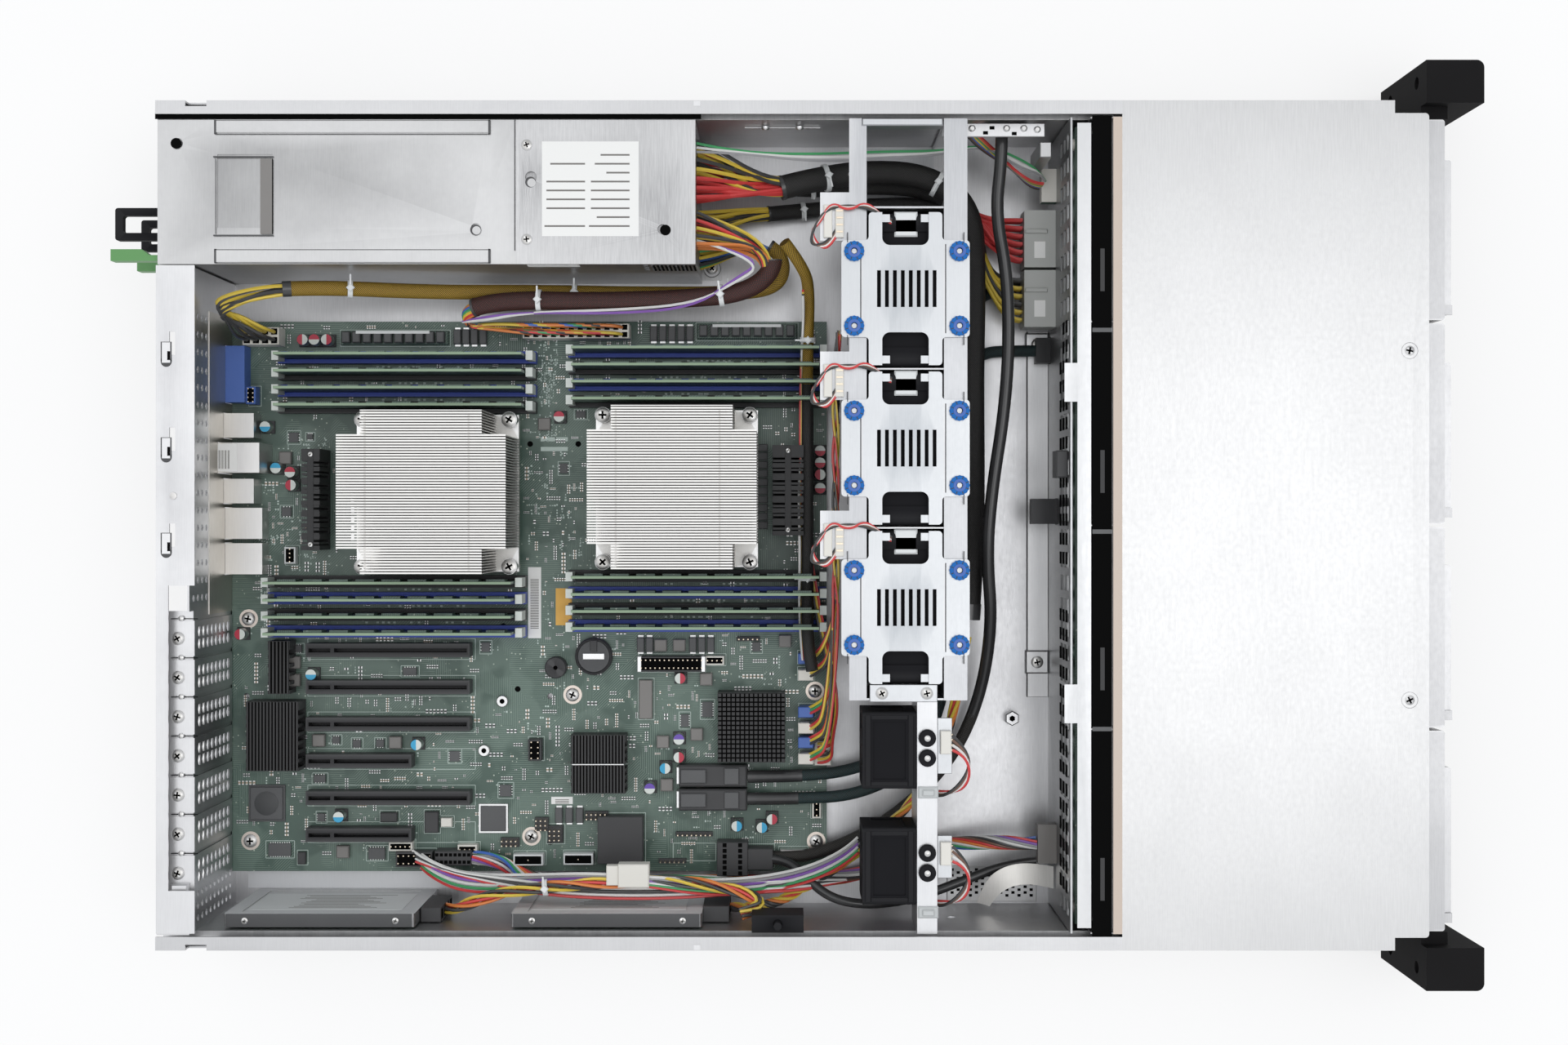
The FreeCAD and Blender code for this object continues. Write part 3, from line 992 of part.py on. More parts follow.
def fan_module(number):
    """Lift-out fan: top plate with slots and finger holes, rubber grommets and the fan's frame."""
    plate = body("FanPlate")
    low, high = f"({FAN_TOP} + sheet_thick)", f"({FAN_TOP} + 2 * sheet_thick)"
    middle = f"(fan_front + fan_depth / 2)"
    half, wing = "(fan_plate_length / 2)", "(fan_wing_length / 2)"
    rear, front = FAN_REAR, "fan_front"
    rear_edge, front_edge = f"({rear} + fan_wing)", f"({front} - fan_wing)"
    pad(plate, "XY", low, high, lambda sk: outline(sk, [
        (f"-{half}", front), (f"-{wing}", front), (f"-{wing}", front_edge), (wing, front_edge),
        (wing, front), (half, front), (half, rear), (wing, rear), (wing, rear_edge),
        (f"-{wing}", rear_edge), (f"-{wing}", rear),
        (f"-{half}", rear)]))
    soften(plate, Vector(0, 0, 1), "2")
    pocket(plate, "XY", low, high, lambda sk: [
        circle(sk, f"{side} * grommet_spacing / 2", y, "grommet_radius - 1.5")
        for side in (-1, 1) for y in (GROMMET_REAR, GROMMET_FRONT)])
    slot = pocket(plate, "XY", low, high, lambda sk: rectangle(
        sk, "-9.5", "9.5", f"{middle} - 16", f"{middle} - 14"))
    row_of(plate, slot, "Y_Axis", "4.1", "8")
    pocket(plate, "XY", low, high, lambda sk: both_sides(
        sk, f"{half} - finger_depth", half, f"{middle} - finger_width / 2", f"{middle} + finger_width / 2"))
    notch = size("fan_plate_length") / 2 - size("finger_depth")
    soften(plate, Vector(0, 0, 1), "4", lambda point: abs(abs(point.x) - notch) < 0.1 and point.y < -39.6)
    pad(plate, "XY", f"fan_low + fan_side", low, lambda sk: [
        rectangle(sk, f"{x} - 2", f"{x} + 2", f"{y} - 3", f"{y} + 3")
        for x in (f"-{half} + 3", f"{half} - 3") for y in (f"{front} + 8", f"{rear} - 8")])
    grommets = []
    for side in (-1, 1):
        for y in (GROMMET_REAR, GROMMET_FRONT):
            grommet = body("Grommet")
            pad(grommet, "XY", "0", "grommet_height", lambda sk: circle(sk, "0", "0", "grommet_radius - 1.8"))
            pad(grommet, "XY", "0", "sheet_thick", lambda sk: circle(sk, "0", "0", "grommet_radius"))
            pad(grommet, "XY", "2 * sheet_thick", "grommet_height", lambda sk: circle(
                sk, "0", "0", "grommet_radius"))
            pocket(grommet, "XY", "0", "grommet_height", lambda sk: circle(
                sk, "0", "0", "stud_radius + 0.3"))
            grommets.append(place(grommet, f"{side} * grommet_spacing / 2", y, FAN_TOP))
    frame = fan_frame("fan_side", "fan_bore", "fan_hub", "fan_depth")
    place(frame, "0", "fan_front", "fan_low + fan_side / 2")
    x = f"fan_first - {number} * fan_pitch"
    part(place(group([plate, frame] + grommets), x), f"fan_module_{number + 1}")
    rotor = fan_rotor("fan_bore", "fan_hub", "fan_depth")
    part(place(rotor, x, "fan_front", "fan_low + fan_side / 2"), f"fan_rotor_{number + 1}")


def aux_fans():
    """Two small fans beside the cage, hung from their bracket above the floor."""
    frames = []
    for number in range(2):
        x = f"aux_fan_first - {number} * aux_fan_pitch"
        spot = (x, "aux_fan_front", "aux_fan_top - aux_fan_side / 2")
        frames.append(place(fan_frame("aux_fan_side", "aux_fan_bore", "aux_fan_hub", "aux_fan_depth"), *spot))
        rotor = fan_rotor("aux_fan_bore", "aux_fan_hub", "aux_fan_depth", 46, 58)
        part(place(rotor, *spot), f"aux_fan_rotor_{number + 1}")
    part(group(frames), "aux_fan_frames")


def aux_fan_bracket():
    """Angle from the side wall to the fan cage that carries the small fans."""
    bracket = part(body("AuxBracket"), "aux_fan_bracket")
    back, front = "(aux_fan_front - aux_bracket_gap)", "(aux_fan_front - aux_bracket_gap - aux_bracket_depth)"
    top = "(aux_fan_top + 2 * sheet_thick)"
    pad(bracket, "YZ", f"(-{INNER})", "fan_cage_end", lambda sk: outline(sk, [
        (front, top), (front, f"{top} - sheet_thick"), (f"{back} - sheet_thick", f"{top} - sheet_thick"),
        (f"{back} - sheet_thick", "aux_fan_top - aux_fan_side"),
        (back, "aux_fan_top - aux_fan_side"), (back, top)]))
    hole = pocket(bracket, "XZ", f"{back} - sheet_thick", back, lambda sk: circle(
        sk, "aux_fan_first", "aux_fan_top - aux_fan_side / 2", "aux_fan_bore"))
    row_of(bracket, hole, "X_Axis", "-aux_fan_pitch", "2")


# ---------------------------------------------------------------- main board

def motherboard():
    board = part(body("Board"), "motherboard")
    pad(board, "XY", BOARD_LOW, BOARD_TOP, lambda sk: rectangle(
        sk, BOARD_LEFT, "board_right", BOARD_FRONT, BOARD_REAR))
    pocket(board, "XY", BOARD_LOW, BOARD_TOP, lambda sk: board_holes(sk, "board_hole_radius"))


def cpu_sockets():
    """A socket frame, lid and four heat sink posts for each processor."""
    pieces = []
    for x, y in SINKS:
        socket = body("Socket")
        pad(socket, "XY", "0", "4", lambda sk: rectangle(sk, "-32", "32", "-29", "29"))
        pad(socket, "XY", "4", "sink_lift", lambda sk: rectangle(sk, "-22", "22", "-20", "20"))
        pieces.append(place(socket, x, y, BOARD_TOP))
        post = "sink_screw_spacing / 2"
        for side_x in ("-", ""):
            for side_y in ("-", ""):
                stand = body("Post")
                pad(stand, "XY", "0", "sink_lift", lambda sk: circle(sk, "0", "0", "3.2"))
                pocket(stand, "XY", "3", "sink_lift", lambda sk: circle(sk, "0", "0", "2"))
                spot = (f"{x} {side_x or '+'} {post}", f"{y} {side_y or '+'} {post}", BOARD_TOP)
                pieces.append(place(stand, *spot))
    part(group(pieces), "cpu_sockets")


def cpu_heatsink(x, y, name):
    """Finned block with clear corners and a sprung screw in each."""
    sink = body("Sink")
    half_x, half_y = f"({SINK_WIDTH} / 2)", "(sink_depth / 2)"
    pad(sink, "XY", "0", "sink_height", lambda sk: rectangle(sk, f"-{half_x}", half_x, f"-{half_y}", half_y))
    gap = pocket(sink, "XY", "sink_base", "sink_height", lambda sk: rectangle(
        sk, f"-{half_x} + sink_fin_thick", f"-{half_x} + sink_fin_pitch", f"-{half_y}", half_y))
    row_of(sink, gap, "X_Axis", "sink_fin_pitch", "sink_fins - 1")
    pocket(sink, "XY", "sink_base", "sink_height", lambda sk: [both_sides(
        sk, f"{half_x} - sink_corner_width", half_x, low, high) for low, high in (
            (f"-{half_y}", f"-{half_y} + sink_corner_depth"), (f"{half_y} - sink_corner_depth", half_y))])
    corners = [(f"{sx} * sink_screw_spacing / 2", f"{sy} * sink_screw_spacing / 2")
               for sx in (-1, 1) for sy in (-1, 1)]
    pocket(sink, "XY", "0", "sink_base", lambda sk: [circle(sk, cx, cy, "2.4") for cx, cy in corners])
    screws = []
    for cx, cy in corners:
        screw = body("SinkScrew")
        pad(screw, "XY", "sink_base", "sink_base + 7", lambda sk: circle(sk, "0", "0", "sink_screw_head"))
        pad(screw, "XY", "-5", "sink_base", lambda sk: circle(sk, "0", "0", "1.6"))
        pocket(screw, "XY", "sink_base + 5.5", "sink_base + 7", lambda sk: [
            rectangle(sk, "-2.6", "2.6", "-0.6", "0.6")])
        pocket(screw, "XY", "sink_base + 5.5", "sink_base + 7", lambda sk: [
            rectangle(sk, "-0.6", "0.6", "-2.6", "2.6")])
        screws.append(place(screw, cx, cy))
    part(place(group([sink] + screws), x, y, SINK_LOW), f"cpu_heatsink_{name}")


def memory(bank_places):
    """Four banks of four sockets, each with a module between its end latches."""
    sockets, modules = [], []
    half, end = "memory_socket_width / 2", "(memory_socket_length / 2)"
    slot = "memory_module_length / 2"
    for x, y in bank_places:
        for number in range(4):
            place_x = f"{x} - {number} * memory_pitch"
            socket = body("MemorySocket")
            pad(socket, "XY", "0", "memory_socket_height", lambda sk: rectangle(
                sk, f"-{half}", half, f"-{end}", end))
            pad(socket, "XY", "memory_socket_height", "memory_latch_height", lambda sk: [
                rectangle(sk, f"-{half} + 0.8", f"{half} - 0.8", f"-{end}", f"-{slot} - 0.6"),
                rectangle(sk, f"-{half} + 0.8", f"{half} - 0.8", f"{slot} + 0.6", end)])
            seat = "memory_socket_height - memory_seat"
            pocket(socket, "XY", seat, "memory_socket_height", lambda sk: rectangle(
                sk, "-memory_module_thick / 2 - 0.3", "memory_module_thick / 2 + 0.3",
                f"-{slot} - 0.3", f"{slot} + 0.3"))
            sockets.append(place(socket, place_x, y, BOARD_TOP))
            module = body("MemoryModule")
            low = "memory_socket_height - memory_seat"
            pad(module, "XY", low, f"{low} + memory_module_height", lambda sk: rectangle(
                sk, "-memory_module_thick / 2", "memory_module_thick / 2", f"-{slot}", slot))
            face = "memory_module_thick / 2"
            chip = pad(module, "YZ", face, f"{face} + 1.1", lambda sk: rectangle(
                sk, f"-{slot} + 4", f"-{slot} + 14", "18", "30"))
            row_of(module, chip, "Y_Axis", "14.1", "9")
            modules.append(place(module, place_x, y, BOARD_TOP))
    part(group(sockets), "memory_sockets")
    part(group(modules), "memory_modules")


def expansion_sockets():
    sockets = []
    for number in range(6):
        length = "card_socket_short" if number in (3, 5) else "card_socket_long"
        socket = body("CardSocket")
        half = "card_socket_width / 2"
        pad(socket, "XY", "0", "card_socket_height", lambda sk: rectangle(
            sk, f"-{half}", half, f"-{length}", "0"))
        pocket(socket, "XY", "card_socket_height - 7", "card_socket_height", lambda sk: [
            rectangle(sk, "-1.1", "1.1", "-13.5", "-1.5"),
            rectangle(sk, "-1.1", "1.1", f"-{length} + 1.5", "-15.5")])
        x = f"card_socket_first - {number} * slot_pitch"
        sockets.append(place(socket, x, "card_socket_rear", BOARD_TOP))
    part(group(sockets), "expansion_sockets")


def io_ports():
    """Shells of the rear ports, each open towards the rear."""
    ports = []
    for x, width, height, depth, mouths in PORTS:
        shell = body("Port")
        back = f"({PANEL} + 1.2)"
        pad(shell, "XZ", f"{back} - {depth}", back, lambda sk: rectangle(
            sk, f"-{width} / 2", f"{width} / 2", "0", height))
        mouth = f"({height} - 1) / {mouths}"
        opening = pocket(shell, "XZ", f"{back} - {depth} * 0.6", back, lambda sk: rectangle(
            sk, f"-{width} / 2 + 1", f"{width} / 2 - 1", "1", mouth))
        if mouths > 1:
            row_of(shell, opening, "Z_Axis", mouth, str(mouths))
        ports.append(place(shell, x, "0", BOARD_TOP))
    part(group(ports), "io_ports")


def board_heatsinks():
    """Smaller finned coolers on the chipset and the regulators."""
    sinks = []
    for x, y, width, depth, height, fins in BOARD_SINKS:
        sink = body("BoardSink")
        pad(sink, "XY", "0", height, lambda sk: rectangle(
            sk, f"-{width} / 2", f"{width} / 2", f"-{depth} / 2", f"{depth} / 2"))
        gap = pocket(sink, "XY", "3", height, lambda sk: rectangle(
            sk, f"-{width} / 2 + {width} / {fins} * 0.4", f"-{width} / 2 + {width} / {fins}",
            f"-{depth} / 2", f"{depth} / 2"))
        row_of(sink, gap, "X_Axis", f"{width} / {fins}", str(fins - 1))
        sinks.append(place(sink, x, y, BOARD_TOP))
    part(group(sinks), "board_heatsinks")


def boot_drives():
    """Two 2.5 inch drives on edge along the left wall."""
    drives = []
    for y in ("boot_drive_rear", "boot_drive_front"):
        drive = body("SmallDrive")
        pad(drive, "YZ", "0", "small_drive_thick", lambda sk: rectangle(
            sk, "0", "small_drive_length", "0", "small_drive_width"))
        soften(drive, Vector(1, 0, 0), "2")
        pocket(drive, "YZ", "small_drive_thick - 0.5", "small_drive_thick", lambda sk: rectangle(
            sk, "8", "small_drive_length - 8", "6", "small_drive_width - 6"))
        drives.append(place(drive, f"-{INNER} + 1", y, "sheet_thick"))
    part(group(drives), "boot_drives")


def intrusion_switch():
    """Switch whose button the lid presses."""
    body_block = block(("0", "9"), ("-6", "21"), ("0", "20"), "SwitchBody")
    base = group([cut(body_block, [rod("4.5", "7.5", "12", "2.3", "8")])])
    part(place(base, f"-{INNER}", "0", "switch_low"), "intrusion_switch")
    plunger = rod("0", "0", "0", "2", "12", name="Plunger")
    part(place(plunger, f"-{INNER} + 4.5", "7.5", "switch_low + 14"), "intrusion_plunger")


# ---------------------------------------------------------------- cables

def tube(points, radius):
    """A round cable: straight runs joined by tangent arcs, as large as the shorter run allows."""
    corners = [Vector(*point) for point in points]
    edges, start, radii = [], corners[0], []
    for before, corner, after in zip(corners, corners[1:], corners[2:]):
        toward, away = (corner - before).normalize(), (after - corner).normalize()
        turn = toward.getAngle(away)
        reach = 0.45 * min((corner - before).Length, (after - corner).Length)
        bend = reach / math.tan(turn / 2)
        entry, leave = corner - toward * reach, corner + away * reach
        inward = (away - toward).normalize()
        middle = corner + inward * (bend / math.cos(turn / 2) - bend)
        edges += [Part.LineSegment(start, entry).toShape(), Part.Arc(entry, middle, leave).toShape()]
        start = leave
        radii.append(round(bend))
    edges.append(Part.LineSegment(start, corners[-1]).toShape())
    path = Part.Wire(edges)
    ring = Part.Wire([Part.Circle(corners[0], corners[1] - corners[0], radius).toShape()])
    cable = doc.addObject("Part::Feature", "Cable")
    cable.Shape = path.makePipeShell([ring], True, False)
    ratio = cable.Shape.Volume / (math.pi * radius ** 2 * path.Length)
    print("cable", radius, "radii", radii, "volume over section times length", round(ratio, 4))
    return cable


def power_harness():
    """Sleeved bundles from the distribution box to the backplane, the board and the small drives."""
    box_face = size("chassis_depth") / 2 - size("psu_depth") - size("distribution_depth") + 8
    box_face -= size("cable_gap")
    plug_face = size("wall_front") + size("sheet_thick") + 17 + size("cable_gap")
    drive_y = size("boot_drive_front") - 14 - size("cable_gap")
    plug_top = size("sheet_thick") + size("board_lift") + size("board_thick") + 14 + size("cable_gap")
    trunk = [(182, box_face, 46), (182, 44, 46), (177, 22, 44), (186, -9, 40), (192, -40, 34), (190, -74, 34),
             (172, -98, 34), (130, -99, 34), (80, -98, 34), (28, -98.5, 34), (-20, -98, 34), (-60, -95, 33)]
    to_plug_right = [(187, box_face, 24), (187, 46, 24), (188, 22, 21), (184, -10, 20), (187, -45, 20),
                     (184, -80, 20), (167, -101, 20.5), (156, -113, 22), (156, plug_face, 22)]
    to_plug_left = [(170, box_face, 24), (170, 46, 24), (171, 23, 15), (175, -10, 9), (178, -48, 9),
                    (178, -84, 9), (160, -103, 9.5), (144, -104.5, 12), (130, -107.5, 16.5), (124, -117, 19),
                    (124, plug_face, 19)]
    to_board = [(164, box_face, 52), (164, 46, 52), (158, 24, 50), (142, 6, 50), (124, 22, 50), (121, 62, 48),
                (120, 110, 46), (121, 152, 46), (116, 179, 41), (107.5, 183, 29), (106.5, 171, 19),
                (106.5, 159, 17.5), (106.5, 147.5 + size("cable_gap"), 17.5)]
    to_processor = [(156, box_face, 32), (156, 22, 32), (148, 5, 32), (132, 5, 32), (126, 22, 32),
                    (126, 82, 30), (127, 138, 31), (126, 195, 38), (127, 250, 52), (124, 288, 62),
                    (113, 303, 58), (105, 298, 46), (103.8, 291, 35), (103.8, 291, plug_top)]
    to_drive = [(-60.4, -95, 33), (-98, -90, 30), (-140, -76, 26), (-172, -46, 26), (-195, -12, 30),
                (-204.5, 8, 36), (-206.5, 21, 38), (-206.5, drive_y, 38)]
    bundles = [tube(trunk, 6.5), tube(to_plug_right, 4.5), tube(to_plug_left, 4.2), tube(to_board, 5),
               tube(to_processor, 4), tube(to_drive, 3)]
    plugs = [block(("102.5", "110.5"), ("89", "147.5"), (BOARD_TOP, f"{BOARD_TOP} + 14"), "BoardPlug"),
             block(("99", "108.6"), ("281", "301"), (BOARD_TOP, f"{BOARD_TOP} + 14"), "ProcessorPlug"),
             block((f"-{INNER} + 0.5", f"-{INNER} + 9"), ("boot_drive_front - 14", "boot_drive_front"),
                   ("20", "56"), "DrivePlug")]
    part(group(bundles + plugs), "power_harness")


def data_cables():
    """Front panel cable, drive data cables and the ribbon along the left wall."""
    front_panel = [(207.2, -111, 60), (194, -111, 60), (166, -108, 57), (134, -114.5, 55), (96, -115.5, 55),
                   (60, -113, 55), (19, -106.5, 54), (-16, -104, 51), (-54, -108, 43), (-98, -103, 20),
                   (-134, -86, 13), (-164, -54, 12), (-182, -16, 15), (-183, 8, 17), (-183, 23.7, 17)]
    data_right = [(-138.6, 24.3, 17), (-138.6, -2, 17), (-136, -34, 14), (-122, -66, 8), (-94, -86, 6),
                  (-52, -88, 6), (-2, -87.5, 6), (48, -88, 6), (96, -89, 6), (126, -100, 6), (134, -124, 7),
                  (134, -135.6, 7)]
    data_left = [(-150.8, 24.3, 17), (-150.8, -2, 17), (-149, -36, 18), (-134, -66, 18), (-98, -84, 15),
                 (-52, -88, 14), (-2, -87.5, 14), (48, -88, 14), (84, -92, 13), (96, -106, 9), (97, -122, 7),
                 (97, -135.6, 7)]
    ribbon = [(-173, -133.3, 30), (-173, -121, 30), (-174, -104, 22), (-177, -80, 12), (-187, -55, 7),
              (-197, -30, 6.3), (-198.4, 8, 6.8), (-198, 56, 8), (-198.3, 98, 10), (-198, 132, 13),
              (-193, 150, 16), (-184, 162, 18), (-183, 175.7, 18)]
    cables = [tube(front_panel, 3.3), tube(data_right, 3.2), tube(data_left, 3.2), tube(ribbon, 4)]
    plugs = [block(("-192.5", "-174"), ("24", "41"), (BOARD_TOP, f"{BOARD_TOP} + 13"), "PanelPlug"),
             block(("-157", "-132"), ("24.6", "62"), (BOARD_TOP, f"{BOARD_TOP} + 13"), "DataPlug"),
             block(("-187", "-179"), ("176", "196"), (BOARD_TOP, f"{BOARD_TOP} + 16"), "RibbonPlug"),
             block(("207.5", "209.5"), ("-124", "-102"), ("50", "70"), "PanelSocket")]
    part(group(cables + plugs), "data_cables")


chassis_tray()
front_cover()
cover_gasket()
rear_panel()
rear_top_bar()
io_shield()
slot_covers()
drive_cage()
drive_carriers()
backplane_wall()
backplane_board()
rack_ear(1, "ear_right")
rack_ear(-1, "ear_left")
power_button()
psu_cage()
distribution_box()
psu_module(0, "lower")
psu_module(1, "upper")
fan_cage()
for fan in range(int(size("fan_count"))):
    fan_module(fan)
aux_fans()
aux_fan_bracket()
motherboard()
cpu_sockets()
for sink_place, sink_name in zip(SINKS, ("rear", "front")):
    cpu_heatsink(*sink_place, sink_name)
memory(MEMORY_BANKS)
expansion_sockets()
io_ports()
board_heatsinks()
boot_drives()
intrusion_switch()
power_harness()
data_cables()

doc.recompute()
for thing in doc.Objects:
    if "Invalid" in thing.State or "Error" in thing.State:
        raise RuntimeError(f"{thing.Label} is not valid")
os.makedirs("parts", exist_ok=True)
for thing in parts:
    if thing.Shape.isNull() or not thing.Shape.isValid():
        raise RuntimeError(f"{thing.Label} has no valid shape")
    thing.Shape.exportStep(f"parts/{thing.Label}.step")
print(len(parts), "sub-parts")
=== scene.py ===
"""Looks of a 2U rack server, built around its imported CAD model."""
import math
import random

import bpy
from mathutils import Matrix, Vector


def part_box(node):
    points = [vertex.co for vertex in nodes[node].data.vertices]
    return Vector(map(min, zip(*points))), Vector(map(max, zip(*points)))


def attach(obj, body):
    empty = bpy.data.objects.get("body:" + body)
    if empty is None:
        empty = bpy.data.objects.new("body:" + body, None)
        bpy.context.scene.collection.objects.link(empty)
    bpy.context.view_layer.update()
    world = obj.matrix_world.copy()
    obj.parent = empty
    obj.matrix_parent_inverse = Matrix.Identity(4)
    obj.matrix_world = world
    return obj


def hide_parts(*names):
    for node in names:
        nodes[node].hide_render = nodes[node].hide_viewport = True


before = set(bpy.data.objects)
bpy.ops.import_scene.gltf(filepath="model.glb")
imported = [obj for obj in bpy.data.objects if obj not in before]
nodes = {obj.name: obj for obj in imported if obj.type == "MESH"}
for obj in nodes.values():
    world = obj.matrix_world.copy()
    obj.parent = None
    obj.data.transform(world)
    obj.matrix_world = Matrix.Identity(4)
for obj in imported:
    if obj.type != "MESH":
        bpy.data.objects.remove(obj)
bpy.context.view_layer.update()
random.seed(2)

MM = 0.001
# Heights and one face that pieces sit on, from the solids (mm).
BOARD_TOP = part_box("motherboard")[1].z / MM
COVER_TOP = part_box("front_cover")[1].z / MM
PLATE_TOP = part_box("power_distribution_box")[1].z / MM
RAIL_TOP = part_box("fan_cage")[1].z / MM - 3
DRIVE_FACE_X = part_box("boot_drives")[1].x / MM - 0.45
# Pitches (mm).
MEMORY_PITCH = 9.15
SLOT_PITCH = 20.32
CARRIER_PITCH = 105.2
FAN_PITCH = 82.3
FIN_PITCH = 1.47
LEG_PITCH = 1.27
PIN_PITCH = 2.54
PIN = 0.64
# Memory (mm): each bank's first socket across, the line between rear and front banks, the banks' middles
# front to back, and how far from them the latches are and reach.
RIGHT_REAR, RIGHT_FRONT, LEFT_REAR, LEFT_FRONT = 92.5, 95.8, -31.1, -28
BANK_SPLIT = 135
FRONT_BANKS_Y, RIGHT_REAR_Y, LEFT_REAR_Y = 51.9, 212.2, 217.7
LATCH_OUT, LATCH_REACH = 70.5, 4.6
# Processor coolers (mm): their middles, and the corner screws from them.
SINK_CENTRES = [(17.5, 193.7), (20, 62.8)]
SINK_SCREW = 40
# Lift-out fans (mm): the first one's middle and the grommets round each.
FIRST_FAN_X = 122.2
GROMMET_OUT = 19.25
GROMMET_ROWS = (-32, -86.3)
# Where the bundles leave the distribution box (mm).
BUNDLE_Y = 57.7


# ---------------------------------------------------------------- shader groups

def node(tree, kind, **values):
    """Adds a shader node; keys name its sockets (numbers count them) or its own settings."""
    made = tree.nodes.new(kind)
    for key, value in values.items():
        if key.startswith("in"):
            made.inputs[int(key[2:])].default_value = value
        else:
            setattr(made, key, value)
    return made


def group(name, inputs, outputs):
    """An empty shader group with named sockets, its input node and its output node."""
    tree = bpy.data.node_groups.new(name, "ShaderNodeTree")
    for label, kind, value in inputs:
        socket = tree.interface.new_socket(label, in_out="INPUT", socket_type="NodeSocket" + kind)
        socket.default_value = value
    for label, kind in outputs:
        tree.interface.new_socket(label, in_out="OUTPUT", socket_type="NodeSocket" + kind)
    return tree, tree.nodes.new("NodeGroupInput"), tree.nodes.new("NodeGroupOutput")


def math_node(tree, operation, first, second=None, clamp=False):
    """A Math node fed by sockets or numbers; returns its result."""
    made = node(tree, "ShaderNodeMath", operation=operation, use_clamp=clamp)
    for slot, value in enumerate((first, second)):
        if value is None:
            continue
        if isinstance(value, (int, float)):
            made.inputs[slot].default_value = value
        else:
            tree.links.new(value, made.inputs[slot])
    return made.outputs[0]


def mixed(tree, factor, first, second):
    """A colour mix fed by sockets or colours; returns its result."""
    made = node(tree, "ShaderNodeMix", data_type="RGBA")
    for slot, value in ((0, factor), (6, first), (7, second)):
        if isinstance(value, bpy.types.NodeSocket):
            tree.links.new(value, made.inputs[slot])
        else:
            made.inputs[slot].default_value = value if slot == 0 else (*value[:3], 1)
    return made.outputs[2]


def position(tree, scale=(1, 1, 1)):
    """The surface's own coordinates, stretched."""
    place = node(tree, "ShaderNodeTexCoord")
    stretch = node(tree, "ShaderNodeVectorMath", operation="MULTIPLY", in1=scale)
    tree.links.new(place.outputs["Object"], stretch.inputs[0])
    return stretch.outputs[0]


def noise(tree, vector, scale, detail=3.0):
    """Noise between 0 and 1 at a place."""
    made = node(tree, "ShaderNodeTexNoise")
    made.inputs["Scale"].default_value = scale
    made.inputs["Detail"].default_value = detail
    tree.links.new(vector, made.inputs["Vector"])
    return made.outputs[0]


def ramp(tree, factor, low, high):
    """0 below low, 1 above high."""
    made = node(tree, "ShaderNodeMapRange", clamp=True)
    made.inputs["From Min"].default_value = low
    made.inputs["From Max"].default_value = high
    tree.links.new(factor, made.inputs["Value"])
    return made.outputs[0]


def sheet_metal_group():
    """Rolled sheet: fine grain along one way, faint cloudy zinc, brighter worn edges."""
    tree, given, out = group("rolled_sheet", [
        ("Color", "Color", (0.6, 0.6, 0.6, 1)), ("Cloud", "Float", 0.1), ("Grain", "Float", 0.1),
        ("Edge", "Float", 0.3)], [("Color", "Color"), ("Roughness", "Float"), ("Height", "Float")])
    grain = noise(tree, position(tree, (90, 1800, 900)), 1.0, 2.0)
    cloud = noise(tree, position(tree), 22.0, 5.0)
    fleck = noise(tree, position(tree), 420.0, 2.0)
    geometry = node(tree, "ShaderNodeNewGeometry")
    edge = ramp(tree, geometry.outputs["Pointiness"], 0.52, 0.6)
    shade = math_node(tree, "MULTIPLY_ADD", math_node(tree, "SUBTRACT", cloud, 0.5), given.outputs["Cloud"])
    shade.node.inputs[2].default_value = 0.5
    fine = math_node(tree, "MULTIPLY", math_node(tree, "SUBTRACT", grain, 0.5), given.outputs["Grain"])
    total = math_node(tree, "ADD", shade, fine)
    dark = mixed(tree, 1.0, (0, 0, 0), (0, 0, 0))
    dark.node.blend_type = "MULTIPLY"
    tree.links.new(given.outputs["Color"], dark.node.inputs[6])
    dark.node.inputs[7].default_value = (0.55, 0.55, 0.56, 1)
    light = mixed(tree, 1.0, (0, 0, 0), (0, 0, 0))
    light.node.blend_type = "SCREEN"
    tree.links.new(given.outputs["Color"], light.node.inputs[6])
    light.node.inputs[7].default_value = (0.32, 0.32, 0.32, 1)
    body = mixed(tree, total, dark, light)
    worn = mixed(tree, math_node(tree, "MULTIPLY", edge, given.outputs["Edge"]), body, (0.85, 0.85, 0.85))
    tree.links.new(worn, out.inputs["Color"])
    rough = math_node(tree, "MULTIPLY_ADD", grain, 0.16)
    rough.node.inputs[2].default_value = 0.24
    tree.links.new(math_node(tree, "ADD", rough, math_node(tree, "MULTIPLY", fleck, 0.1)),
                   out.inputs["Roughness"])
    tree.links.new(math_node(tree, "ADD", math_node(tree, "MULTIPLY", grain, 0.7),
                             math_node(tree, "MULTIPLY", fleck, 0.5)),
                   out.inputs["Height"])
    return tree


